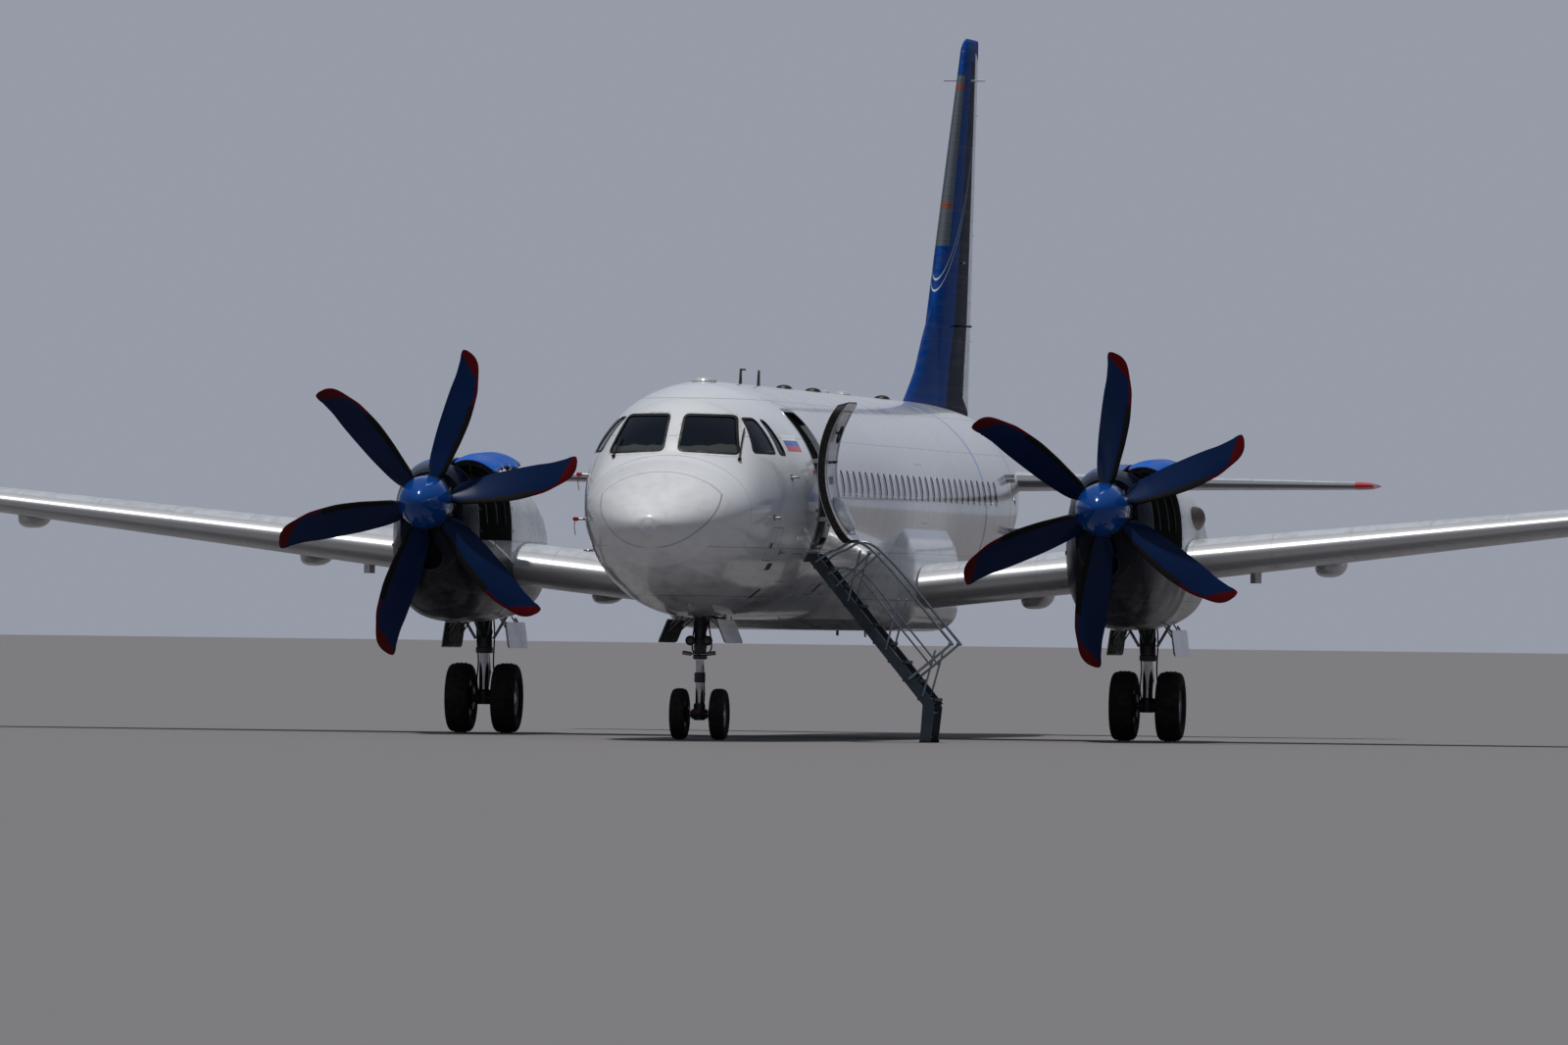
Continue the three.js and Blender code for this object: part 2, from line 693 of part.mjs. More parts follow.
function addFin() {
  const body = loft(FIN.map((row) => foilRing(row, (z, y, out) => [out, y, z])));
  const ends = [
    { point: [RUDDER.low, station(RUDDER.lowHinge)] },
    { point: [RUDDER.high, station(RUDDER.highHinge)] },
  ];
  ends[0].half = halfAt(FIN, RUDDER.low, RUDDER.lowHinge);
  ends[1].half = halfAt(FIN, RUDDER.high, RUDDER.highHinge);
  const rudder = movable(body, ends, RUDDER.gap, UPRIGHT);
  const dorsal = loft(
    DORSAL.map(([at, top, half]) => [
      [half, station(at), 4050],
      [half * 0.45, station(at), top - 60],
      [0, station(at), top],
      [-half * 0.45, station(at), top - 60],
      [-half, station(at), 4050],
    ]),
  );
  const fin = cut(join(body, dorsal), rudder.pocket, hull(REAR_START, LENGTH, -GAP));
  add("fin", largest(fin), paint.blue);
  add("rudder", largest(cut(rudder.surface, hull(REAR_START, LENGTH, -RUN))), paint.white);
}

const TAILPLANE = [
  { span: 300, lead: 23520, chord: 2530, thick: 0.11 },
  { span: 5400, lead: 24960, chord: 1130, thick: 0.09 },
  { span: 5520, lead: 25050, chord: 1020, thick: 0.08 },
  { span: 5560, lead: 25130, chord: 900, thick: 0.05 },
];
const TAILPLANE_Z = 3330;
const ELEVATOR = { from: 1000, to: 5250, share: 0.68, gap: 15 };

function addTailplanes() {
  const body = loft(TAILPLANE.map((row) => foilRing(row, (span, y, up) => [span, y, up])));
  const hingeAt = (span) => {
    const at = lineAt(TAILPLANE, span, "lead") + ELEVATOR.share * lineAt(TAILPLANE, span, "chord");
    return { point: [span, station(at)], half: halfAt(TAILPLANE, span, at) };
  };
  const ends = [hingeAt(ELEVATOR.from), hingeAt(ELEVATOR.to)];
  const elevator = movable(body, ends, ELEVATOR.gap, LEVEL);
  const lift = (geometry) => geometry.clone().translate(0, 0, TAILPLANE_Z);
  const plane = lift(cut(body, elevator.pocket));
  const tail = hull(REAR_START, LENGTH, -GAP);
  add("tailplane_port", largest(cut(plane, tail)), paint.metal);
  add("tailplane_starboard", largest(cut(mirrored(plane), tail)), paint.metal);
  addPair("elevator", lift(elevator.surface), paint.white);
}

// Nacelle: station, half width, top, bottom. Its sections are rectangles with very round corners.
const NACELLE = [
  [9180, 390, 3230, 1980],
  [9350, 470, 3290, 1700],
  [9700, 570, 3360, 1500],
  [10300, 640, 3420, 1410],
  [11200, 690, 3430, 1385],
  [12600, 700, 3330, 1400],
  [13900, 640, 3060, 1480],
  [15000, 430, 2760, 1780],
  [15800, 150, 2520, 2200],
].map(([at, half, top, bottom]) => ({ at, half, top, bottom }));
const NACELLE_SIDES = 20;
const ROUNDNESS = 2.7; // 2 is an ellipse, more is squarer

function nacelleForm(inset = 0, rows = NACELLE) {
  const power = 2 / ROUNDNESS;
  const bend = (v) => Math.sign(v) * Math.abs(v) ** power;
  return loft(
    rows.map(({ at, half, top, bottom }) =>
      Array.from({ length: NACELLE_SIDES }, (_, i) => {
        const angle = (2 * Math.PI * i) / NACELLE_SIDES;
        const [mid, rise] = [(top + bottom) / 2, (top - bottom) / 2];
        return [
          NACELLE_X + (half - inset) * bend(Math.sin(angle)),
          station(at),
          mid + (rise - inset) * bend(Math.cos(angle)),
        ];
      }),
    ),
  );
}

// The upper cowl doors meet at the top. The port one of each engine stands open, and the side
// panel below it is off.
const COWL = { from: 9560, to: 11050, low: 2400, doorLow: 2940, wall: 30, hingeX: 130, open: 36 };
const GEAR_BAY = { half: 330, from: 12350, to: 13950, top: 1780 };

const cowlRegion = (low, inset) =>
  box(
    [NACELLE_X + COWL.hingeX + inset, station(COWL.from + inset), low + inset],
    [NACELLE_X + 1200, station(COWL.to - inset), 3800],
  );

const INTAKE = { from: 9000, to: 9480, z: 2180, radius: 150 };

// What a nacelle is open for: engine bay, cowl door, air intake and gear bay
function nacelleOpenings() {
  const bay = common(
    nacelleForm(COWL.wall),
    box([NACELLE_X - 900, station(COWL.from), COWL.low], [NACELLE_X + 900, station(COWL.to), 3800]),
  );
  const intakeEnd = (at) => [NACELLE_X, station(at), INTAKE.z];
  const intake = bar(intakeEnd(INTAKE.from), intakeEnd(INTAKE.to), INTAKE.radius, 20);
  const gearBay = box(
    [NACELLE_X - GEAR_BAY.half, station(GEAR_BAY.from), 1200],
    [NACELLE_X + GEAR_BAY.half, station(GEAR_BAY.to), GEAR_BAY.top],
  );
  return [bay, cowlRegion(COWL.low, 0), intake, gearBay];
}

// Engine: one plain block in the bay, rounded above
const ENGINE = { half: 330, top: 3020, clear: 6, endGap: 60, round: 310 };
function engine() {
  const [front, back] = [station(COWL.from + ENGINE.endGap), station(COWL.to - ENGINE.endGap)];
  const block = box(
    [NACELLE_X - ENGINE.half, front, COWL.low + ENGINE.clear],
    [NACELLE_X + ENGINE.half, back, ENGINE.top],
  );
  const casing = bar([NACELLE_X, front + 40, HUB_Z], [NACELLE_X, back - 60, HUB_Z], ENGINE.round, 20);
  return join(block, casing);
}

// Hinge of the cowl door, just above the skin at the top of the nacelle
const cowlHinge = { x: NACELLE_X + COWL.hingeX + 20, z: 3440 };

function cowlDoor() {
  const shell = cut(nacelleForm(), nacelleForm(COWL.wall - 4));
  const closed = common(shell, cowlRegion(COWL.doorLow, 8));
  const turned = closed.clone().translate(-cowlHinge.x, 0, -cowlHinge.z);
  turned.rotateY(-degrees(COWL.open));
  return turned.translate(cowlHinge.x, 0, cowlHinge.z);
}

// Both engines have the same door open, so the starboard side is a shifted copy, not a mirror.
// Only its wing slot is mirrored, because the wing rises the other way.
function addNacelles() {
  const slot = raised(flatWing(GAP));
  for (const { side, shift, wing } of [
    { side: "port", shift: 0, wing: slot },
    { side: "starboard", shift: -2 * NACELLE_X, wing: mirrored(slot) },
  ]) {
    const move = (geometry) => geometry.clone().translate(shift, 0, 0);
    const body = cut(move(nacelleForm()), wing, ...nacelleOpenings().map(move));
    add("nacelle_" + side, largest(body), paint.white);
    add("engine_" + side, move(engine()), paint.engine);
    add("cowl_door_" + side, move(cowlDoor()), paint.blue);
  }
}

// Propeller blade as seen from ahead, pointing up: radius, trailing edge, leading edge,
// thickness, pitch in degrees. The leading edge is on the clockwise side.
const BLADE = [
  [230, -95, 95, 130, 38],
  [600, -150, 165, 70, 31],
  [850, -155, 210, 50, 26],
  [1160, -145, 240, 36, 21],
  [1420, -130, 232, 28, 18],
  [1640, -110, 185, 22, 16],
  [1790, -112, 138, 17, 15],
  [1865, -122, 82, 14, 14],
  [1905, -120, 22, 12, 14],
  [1930, -104, -52, 9, 14],
];
// Points round a blade's section: share of the chord, share of half the thickness
const BLADE_SECTION = [
  [1, 0],
  [0.7, 1],
  [0.25, 0.75],
  [0, 0],
  [0.25, -0.75],
  [0.7, -1],
];
const BLADES = 6;
const HUB = { radius: 330, front: -170, back: 250 };
const SPINNER = [
  [0, -760],
  [100, -715],
  [205, -580],
  [285, -390],
  [326, HUB.front - GAP],
  [0, HUB.front - GAP],
];
const PROP_ANGLES = { port: 4.2, starboard: 15.7 };

function blade() {
  return loft(
    BLADE.map(([radius, trail, lead, thick, pitch]) =>
      BLADE_SECTION.map(([share, depth]) => {
        const across = THREE.MathUtils.lerp(trail, lead, share);
        return [across, -across * Math.tan(degrees(pitch)) - (depth * thick) / 2, radius];
      }),
    ),
  );
}

function addPropellers() {
  const one = blade();
  const blades = Array.from({ length: BLADES }, (_, i) =>
    one.clone().rotateY((2 * Math.PI * i) / BLADES),
  );
  const hub = bar([0, HUB.front, 0], [0, HUB.back, 0], HUB.radius, 24);
  const propeller = join(hub, ...blades);
  const cone = new THREE.LatheGeometry(
    SPINNER.map(([r, y]) => new THREE.Vector2(r, y)),
    24,
  );
  for (const [side, sign] of [["port", 1], ["starboard", -1]]) {
    const hung = new THREE.Group();
    hung.position.set(sign * NACELLE_X, station(PROP_STATION), HUB_Z);
    hung.rotation.y = degrees(PROP_ANGLES[side]);
    add("propeller_" + side, propeller, paint.blade, hung);
    add("spinner_" + side, cone, paint.blue, hung);
    group.add(hung);
  }
}

// Wheels, turned about X: tyre radius and width, rim radius
const MAIN_WHEEL = { radius: 440, width: 305, rim: 225, spread: 290, sides: 24, axle: 50 };
const NOSE_WHEEL = { radius: 310, width: 180, rim: 155, spread: 240, sides: 24, axle: 38 };

// A flat of the tyre's outline rests on the ground, so its corners are a little further out
const onItsFlat = (geometry, sides) => {
  const stretch = 1 / Math.cos(Math.PI / sides);
  return geometry.rotateX(Math.PI / sides).scale(1, stretch, stretch);
};

function tyre({ radius, width, rim, sides }) {
  const half = width / 2;
  const shoulder = radius - half * 0.45;
  const profile = [
    [rim, -half * 0.7],
    [rim + (shoulder - rim) * 0.55, -half],
    [shoulder, -half * 0.93],
    [radius, -half * 0.45],
    [radius, half * 0.45],
    [shoulder, half * 0.93],
    [rim + (shoulder - rim) * 0.55, half],
    [rim, half * 0.7],
  ];
  return onItsFlat(turnedAboutX(profile, sides), sides);
}

function wheelPair({ width, rim, spread, axle, sides }) {
  const half = width * 0.35;
  const disc = [
    [0, -half + 40],
    [rim * 0.6, -half + 40],
    [rim - GAP, -half],
    [rim - GAP, half],
    [rim * 0.6, half - 40],
    [0, half - 40],
  ];
  const wheels = [-spread, spread].map((x) =>
    onItsFlat(turnedAboutX(disc, sides), sides).translate(x, 0, 0),
  );
  const spindle = bar([-spread, 0, 0], [spread, 0, 0], axle, 12);
  return join(spindle, ...wheels);
}

const AXLE_BORE_EXTRA = 4;
const axleBore = ({ axle, spread }, z) =>
  bar([-spread, 0, z], [spread, 0, z], axle + AXLE_BORE_EXTRA, 12);

// Upper and lower nose leg meet here, where the lower one turns for steering
const NOSE_SPLIT_Z = 960;
const TOW_LUG = { half: 45, front: -150, low: 300, high: 360 };

function noseGear() {
  const place = new THREE.Group();
  place.position.set(0, station(NOSE_GEAR_STATION), 0);
  const upper = join(
    bar([0, 0, NOSE_SPLIT_Z + 4], [0, 0, NOSE_BAY.top - GAP], 78, 12),
    bar([0, 0, 1150], [0, 520, NOSE_BAY.top - 30], 34, 8),
    box([-230, -50, 1640], [230, 50, 1740]),
    bar([-60, -70, 1180], [60, -70, 1180], 90, 8),
  );
  const tow = box(
    [-TOW_LUG.half, TOW_LUG.front, TOW_LUG.low],
    [TOW_LUG.half, 0, TOW_LUG.high],
  );
  const lower = join(
    bar([0, 0, NOSE_WHEEL.radius - 60], [0, 0, NOSE_SPLIT_Z], 56, 12),
    bar([-95, 0, NOSE_WHEEL.radius], [95, 0, NOSE_WHEEL.radius], 62, 12),
    box([-30, 40, 420], [30, 190, 480]),
    bar([0, 170, 450], [0, 110, 760], 22, 6),
    box([-40, 30, 730], [40, 130, 800]),
    tow,
  );
  const turned = cut(lower, axleBore(NOSE_WHEEL, NOSE_WHEEL.radius));
  add("nose_gear_leg", upper, paint.dark, place);
  add("nose_steering_leg", turned, paint.dark, place);
  const wheels = new THREE.Group();
  wheels.position.z = NOSE_WHEEL.radius;
  add("nose_wheels", wheelPair(NOSE_WHEEL), paint.metal, wheels);
  for (const [side, sign] of [["port", 1], ["starboard", -1]]) {
    const rubber = add("nose_tyre_" + side, tyre(NOSE_WHEEL), paint.tyre, wheels);
    rubber.position.x = sign * NOSE_WHEEL.spread;
  }
  place.add(wheels);
  group.add(place);
}

const MAIN_SPLIT_Z = 1010;
function mainGear(side, sign) {
  const place = new THREE.Group();
  place.position.set(sign * NACELLE_X, station(MAIN_GEAR_STATION), 0);
  const leg = join(
    bar([0, 0, MAIN_SPLIT_Z], [0, 0, GEAR_BAY.top - GAP], 98, 12),
    bar([0, 0, MAIN_WHEEL.radius - 70], [0, 0, MAIN_SPLIT_Z + 30], 68, 12),
    bar([-110, 0, MAIN_WHEEL.radius], [110, 0, MAIN_WHEEL.radius], 78, 12),
    bar([0, 0, 1150], [0, -620, GEAR_BAY.top - 40], 40, 8),
    box([-300, -50, 1560], [300, 50, 1660]),
    bar([0, 110, 470], [0, 200, 760], 26, 6),
    bar([0, 200, 760], [0, 60, 1080], 26, 6),
    box([-35, 40, 430], [35, 140, 500]),
  );
  const bored = cut(leg, axleBore(MAIN_WHEEL, MAIN_WHEEL.radius));
  add("main_gear_leg_" + side, bored, paint.dark, place);
  const wheels = new THREE.Group();
  wheels.position.z = MAIN_WHEEL.radius;
  add("main_wheels_" + side, wheelPair(MAIN_WHEEL), paint.metal, wheels);
  for (const [end, way] of [["outer", sign], ["inner", -sign]]) {
    const rubber = add(`main_tyre_${end}_${side}`, tyre(MAIN_WHEEL), paint.tyre, wheels);
    rubber.position.x = way * MAIN_WHEEL.spread;
  }
  place.add(wheels);
  group.add(place);
}

// Doors of the gear bays: flat panels that hang open on both sides of each leg
function gearDoor(x, from, to, high, depth, splay) {
  const panel = box([-14, station(from), -depth], [14, station(to), 0]);
  return panel.rotateY(degrees(-splay)).translate(x, 0, high);
}

function addGearDoors() {
  addPair("nose_gear_door", gearDoor(NOSE_BAY.half + 40, 3360, 4680, 1440, 300, 22), paint.white);
  for (const [side, sign] of [["port", 1], ["starboard", -1]]) {
    for (const [edge, way] of [["outer", 1], ["inner", -1]]) {
      const panel = gearDoor(GEAR_BAY.half + 45, 12450, 13850, 1392, 330, 8);
      const faced = sign * way > 0 ? panel : mirrored(panel);
      const placed = faced.translate(sign * NACELLE_X, 0, 0);
      add(`main_gear_door_${edge}_${side}`, placed, paint.white);
    }
  }
}

addFuselage();
add("cockpit_glazing", cockpitGlazing(), paint.glass);
add("flight_deck", flightDeck(), paint.cabin);
addDoors();
add("airstair", airstair(), paint.stair);
addWings();
add("belly_fairing", bellyFairing(), paint.white);
addFin();
addTailplanes();
addNacelles();
addPropellers();
noseGear();
for (const [side, sign] of [["port", 1], ["starboard", -1]]) mainGear(side, sign);
addGearDoors();

export default group;
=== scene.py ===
# The looks of a parked twin turboprop airliner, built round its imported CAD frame.
# Tables and shapes are in millimetres, as in the CAD, and become metres when a piece is made.
# Lengths along the aircraft are stations, measured aft from the nose tip. +X is the port side.
import json
import math

import bmesh
import bpy
import numpy as np
from mathutils import Matrix, Vector

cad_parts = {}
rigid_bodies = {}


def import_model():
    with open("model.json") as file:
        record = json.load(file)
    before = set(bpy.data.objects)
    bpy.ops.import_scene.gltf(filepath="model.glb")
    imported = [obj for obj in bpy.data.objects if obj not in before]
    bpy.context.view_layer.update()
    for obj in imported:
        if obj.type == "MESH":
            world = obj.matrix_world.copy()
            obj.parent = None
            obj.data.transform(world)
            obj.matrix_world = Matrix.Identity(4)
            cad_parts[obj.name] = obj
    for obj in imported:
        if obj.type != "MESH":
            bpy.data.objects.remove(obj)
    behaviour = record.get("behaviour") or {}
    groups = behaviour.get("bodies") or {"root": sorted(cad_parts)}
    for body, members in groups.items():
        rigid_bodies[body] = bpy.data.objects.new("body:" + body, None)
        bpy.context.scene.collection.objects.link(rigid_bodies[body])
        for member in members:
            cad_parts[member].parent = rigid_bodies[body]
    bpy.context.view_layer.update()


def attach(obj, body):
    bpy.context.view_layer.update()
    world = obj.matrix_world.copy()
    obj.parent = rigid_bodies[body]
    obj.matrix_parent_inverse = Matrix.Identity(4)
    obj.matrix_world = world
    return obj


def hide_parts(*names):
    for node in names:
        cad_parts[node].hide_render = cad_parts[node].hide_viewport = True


for leftover in list(bpy.data.objects):
    bpy.data.objects.remove(leftover)
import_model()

MM = 0.001
LENGTH = 26880
NACELLE_X = 4200
PROP_STATION = 8900
HUB_Z = 2850
NOSE_GEAR_STATION = 4000
MAIN_GEAR_STATION = 13130
FLOOR_Z = 2270
SIDES = (("port", 1), ("starboard", -1))


def station(at):
    """Where a station lies along Y."""
    return at - LENGTH / 2


# Shapes


class Shape:
    """Points in millimetres, faces as index tuples, and a material number for each face."""

    def __init__(self, points, faces, look=0):
        self.points = np.asarray(points, float).reshape(-1, 3)
        self.faces = faces
        self.looks = np.full(len(faces), look) if np.isscalar(look) else np.asarray(look)

    def painted(self, look):
        return Shape(self.points, self.faces, look)

    def moved(self, matrix):
        turn = np.array(matrix.to_3x3())
        points = self.points @ turn.T + np.array(matrix.translation)
        faces = self.faces
        if np.linalg.det(turn) < 0:
            faces = [tuple(reversed(face)) for face in faces]
        return Shape(points, faces, self.looks)

    def shifted(self, x=0.0, y=0.0, z=0.0):
        return Shape(self.points + np.array([x, y, z]), self.faces, self.looks)

    def mirrored(self):
        return self.moved(Matrix.Diagonal((-1, 1, 1, 1)))

    def sided(self, sign):
        return self if sign > 0 else self.mirrored()

    def centres(self):
        return np.array([self.points[list(face)].mean(0) for face in self.faces])

    def painted_where(self, test, look):
        """test takes the faces' middles as columns x, y, z and says which get the look."""
        looks = np.where(test(*self.centres().T), look, self.looks)
        return Shape(self.points, self.faces, looks)


def about(point, angle, axis):
    """A turn about an axis through a point."""
    return Matrix.Translation(point) @ Matrix.Rotation(angle, 4, axis) @ Matrix.Translation(-point)


def joined(*shapes):
    points, faces, looks, count = [], [], [], 0
    for shape in shapes:
        points.append(shape.points)
        faces += [tuple(i + count for i in face) for face in shape.faces]
        looks.append(shape.looks)
        count += len(shape.points)
    return Shape(np.concatenate(points), faces, np.concatenate(looks))


def loft(rings, look=0, wrap=False):
    """A skin through rings of points. Its ends are closed, or joined where it wraps round."""
    rings = np.asarray(rings, float)
    count, size = rings.shape[:2]
    steps = count if wrap else count - 1
    faces = []
    for r in range(steps):
        a, b = r * size, ((r + 1) % count) * size
        faces += [(a + i, a + (i + 1) % size, b + (i + 1) % size, b + i) for i in range(size)]
    if not wrap:
        last = (count - 1) * size
        faces.append(tuple(range(size - 1, -1, -1)))
        faces.append(tuple(range(last, last + size)))
    return outward(Shape(rings.reshape(-1, 3), faces, look))


def outward(shape):
    points = shape.points - shape.points.mean(0)
    volume = 0.0
    for face in shape.faces:
        corners = points[list(face)]
        fan = np.cross(corners[1:-1], corners[2:])
        volume += (corners[0] * fan).sum()
    if volume < 0:
        shape.faces = [tuple(reversed(face)) for face in shape.faces]
    return shape


def around(count):
    """Angles spread evenly over a full turn."""
    return 2 * np.pi * np.arange(count) / count


def slab(outer, inner):
    """A plate between two grids of points of the same size."""
    grids = np.asarray(outer, float), np.asarray(inner, float)
    return loft([np.concatenate([row, other[::-1]]) for row, other in zip(*grids)])


def turned(profile, sides, axis="y", look=0, wrap=False):
    """A profile of (radius, length along) turned about an axis through the origin."""
    angles = around(sides)
    rings = []
    for radius, along in profile:
        u, v = radius * np.cos(angles), radius * np.sin(angles)
        w = np.full(sides, float(along))
        columns = {"x": (w, u, v), "y": (v, w, u), "z": (u, v, w)}[axis]
        rings.append(np.stack(columns, -1))
    return loft(rings, look, wrap)


def smooth_path(points, steps=8):
    """Points along a smooth curve through the given ones."""
    p = np.asarray(points, float)
    padded = np.concatenate([[2 * p[0] - p[1]], p, [2 * p[-1] - p[-2]]])
    t = np.linspace(0, 1, steps, endpoint=False)[:, None]
    out = []
    for a, b, c, d in zip(padded, padded[1:], padded[2:], padded[3:]):
        out.append(
            0.5
            * (2 * b + (c - a) * t + (2 * a - 5 * b + 4 * c - d) * t**2 + (3 * b - a - 3 * c + d) * t**3)
        )
    return np.concatenate(out + [p[-1:]])


def tube(path, radius, sides, look=0, flat=1.0):
    """A round bar along a path. radius may be a list; flat squeezes its section."""
    path = np.asarray(path, float)
    radii = np.broadcast_to(np.asarray(radius, float), (len(path),))
    ahead = np.gradient(path, axis=0)
    ahead /= np.linalg.norm(ahead, axis=1)[:, None]
    side = np.cross(ahead[0], [0, 0, 1] if abs(ahead[0][2]) < 0.9 else [1, 0, 0])
    angles = around(sides)
    rings = []
    for point, forward, size in zip(path, ahead, radii):
        side = side - forward * side.dot(forward)
        side /= np.linalg.norm(side)
        up = np.cross(forward, side) * flat
        ring = point + size * (np.outer(np.cos(angles), side) + np.outer(np.sin(angles), up))
        rings.append(ring)
    return loft(rings, look)


def rod(start, end, radius, sides=12, look=0, end_radius=None):
    """A straight bar with softened rims."""
    start, end = np.asarray(start, float), np.asarray(end, float)
    run = end - start
    length = np.linalg.norm(run)
    rim = min(radius * 0.2, length * 0.2) / length
    far = radius if end_radius is None else end_radius
    path = [start + run * t for t in (0, rim, 1 - rim, 1)]
    return tube(path, [radius * 0.82, radius, far, far * 0.82], sides, look)


def ring(centre, radius, thick, axis, count, sides):
    """A round bar bent into a circle about an axis, closed by its ends."""
    rim = []
    for a in np.linspace(0, 2 * np.pi, count):
        u, v = radius * math.cos(a), radius * math.sin(a)
        rim.append({"y": (v, 0, u), "z": (u, v, 0)}[axis])
    return tube(np.array(rim) + np.array(centre), thick, sides)


def rounded(outline, radius, steps=5):
    """An outline of 2-D points with its corners rounded."""
    p = np.asarray(outline, float)
    radii = np.broadcast_to(np.asarray(radius, float), (len(p),))
    out = []
    for i, (corner, size) in enumerate(zip(p, radii)):
        before, after = p[i - 1] - corner, p[(i + 1) % len(p)] - corner
        reach_before, reach_after = np.linalg.norm(before), np.linalg.norm(after)
        reach = min(size, reach_before * 0.48, reach_after * 0.48)
        a, b = corner + before / reach_before * reach, corner + after / reach_after * reach
        for t in np.linspace(0, 1, steps):
            out.append((1 - t) ** 2 * a + 2 * t * (1 - t) * corner + t**2 * b)
    return np.array(out)


def rectangle(x0, x1, y0, y1):
    return [[x0, y0], [x1, y0], [x1, y1], [x0, y1]]


def prism(plane, outline, low, high, look=0):
    """An outline in the plane of two axes, drawn out along the third."""
    outline = np.asarray(outline, float)
    order = {"xy": (0, 1, 2), "yz": (1, 2, 0), "xz": (0, 2, 1)}[plane]
    rings = []
    for depth in (low, high):
        ring = np.zeros((len(outline), 3))
        ring[:, order[0]], ring[:, order[1]], ring[:, order[2]] = outline[:, 0], outline[:, 1], depth
        rings.append(ring)
    return loft(rings, look)


def block(low, high, bevel=0.0, segments=2):
    """A box given by its two far corners, with softened edges."""
    low, high = np.asarray(low, float), np.asarray(high, float)
    mesh = bmesh.new()
    bmesh.ops.create_cube(mesh, size=1.0)
    middle, size = (low + high) / 2, high - low
    for vertex in mesh.verts:
        vertex.co = Vector(middle + np.array(vertex.co) * size)
    if bevel:
        bmesh.ops.bevel(
            mesh, geom=mesh.edges[:], offset=bevel, segments=segments, affect="EDGES", profile=0.5
        )
    mesh.verts.index_update()
    points = [vertex.co[:] for vertex in mesh.verts]
    faces = [tuple(vertex.index for vertex in face.verts) for face in mesh.faces]
    mesh.free()
    return Shape(points, faces)


def mesh_of(shape, name):
    """A mesh in metres. That also keeps the boolean solver's tolerance small next to the shapes."""
    mesh = bpy.data.meshes.new(name)
    mesh.from_pydata((shape.points * MM).tolist(), [], shape.faces)
    mesh.polygons.foreach_set("material_index", shape.looks.astype(np.int32))
    return mesh


def combined(operation, base, *tools):
    """Boolean of shapes: DIFFERENCE or INTERSECT takes the tools in turn, UNION joins them."""
    scene = bpy.context.scene.collection
    for tool in tools:
        made = []
        for name, shape in (("base", base), ("tool", tool)):
            thing = bpy.data.objects.new(name, mesh_of(shape, name))
            scene.objects.link(thing)
            made.append(thing)
        modifier = made[0].modifiers.new("cut", "BOOLEAN")
        modifier.operation = operation
        modifier.object = made[1]
        for solver in ("MANIFOLD", "EXACT"):
            modifier.solver = solver
            view = bpy.context.evaluated_depsgraph_get()
            mesh = bpy.data.meshes.new_from_object(made[0].evaluated_get(view))
            if len(mesh.polygons):
                break
            print("boolean fell back", operation, len(base.faces), len(tool.faces))
        points = np.zeros(len(mesh.vertices) * 3)
        mesh.vertices.foreach_get("co", points)
        faces = [tuple(face.vertices) for face in mesh.polygons]
        base = Shape(points.reshape(-1, 3) / MM, faces, 0)
        bpy.data.meshes.remove(mesh)
        for thing in made:
            data = thing.data
            bpy.data.objects.remove(thing)
            bpy.data.meshes.remove(data)
    return base


def cut(base, *tools):
    return combined("DIFFERENCE", base, *tools)


def common(base, *tools):
    return combined("INTERSECT", base, *tools)


def bodies(shape):
    """The connected bodies of a shape, in the order of their first faces."""
    parent = list(range(len(shape.points)))

    def root(i):
        while parent[i] != i:
            parent[i] = parent[parent[i]]
            i = parent[i]
        return i

    for face in shape.faces:
        for i in face[1:]:
            parent[root(i)] = root(face[0])
    groups = {}
    for number, face in enumerate(shape.faces):
        groups.setdefault(root(face[0]), []).append(number)
    parts = []
    for numbers in groups.values():
        faces = [shape.faces[i] for i in numbers]
        used = sorted({i for face in faces for i in face})
        new = {old: i for i, old in enumerate(used)}
        faces = [tuple(new[i] for i in face) for face in faces]
        parts.append(Shape(shape.points[used], faces, shape.looks[numbers]))
    return parts


def largest(shape):
    """The connected body that takes up the most room."""
    return max(bodies(shape), key=lambda body: np.prod(np.ptp(body.points, axis=0) + 1.0))


def lower_bodies(shape, height):
    """The connected bodies whose points lie below a height on average."""
    return joined(*[body for body in bodies(shape) if body.points[:, 2].mean() < height])


class Piece:
    """Collects shapes into one object that rides on a body and stands for CAD nodes."""

    def __init__(self, name, body, slot, *looks):
        self.name, self.body, self.slot_name = name, body, slot
        self.materials = [look.material for look in looks]
        self.shapes = []

    def add(self, shape, look=None):
        self.shapes.append(shape if look is None else shape.painted(look))
        return self

    def done(self, *nodes, plan=None, normals=None, sharp=34):
        """plan stamps each point with three values that its materials read."""
        shape = joined(*self.shapes)
        mesh = mesh_of(shape, self.name)
        for material in self.materials:
            mesh.materials.append(material)
        mesh.validate(clean_customdata=False)
        if plan:
            values = np.asarray(plan(*shape.points.T)).T.astype(np.float32)
            attribute = mesh.attributes.new("plan", "FLOAT_VECTOR", "POINT")
            attribute.data.foreach_set("vector", values.ravel())
        mesh.shade_smooth()
        mesh.set_sharp_from_angle(angle=math.radians(sharp))
        if normals:
            set_skin_normals(mesh, normals)
        thing = bpy.data.objects.new(self.name, mesh)
        bpy.context.scene.collection.objects.link(thing)
        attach(thing, self.body)
        if nodes:
            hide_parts(*nodes)
        return thing


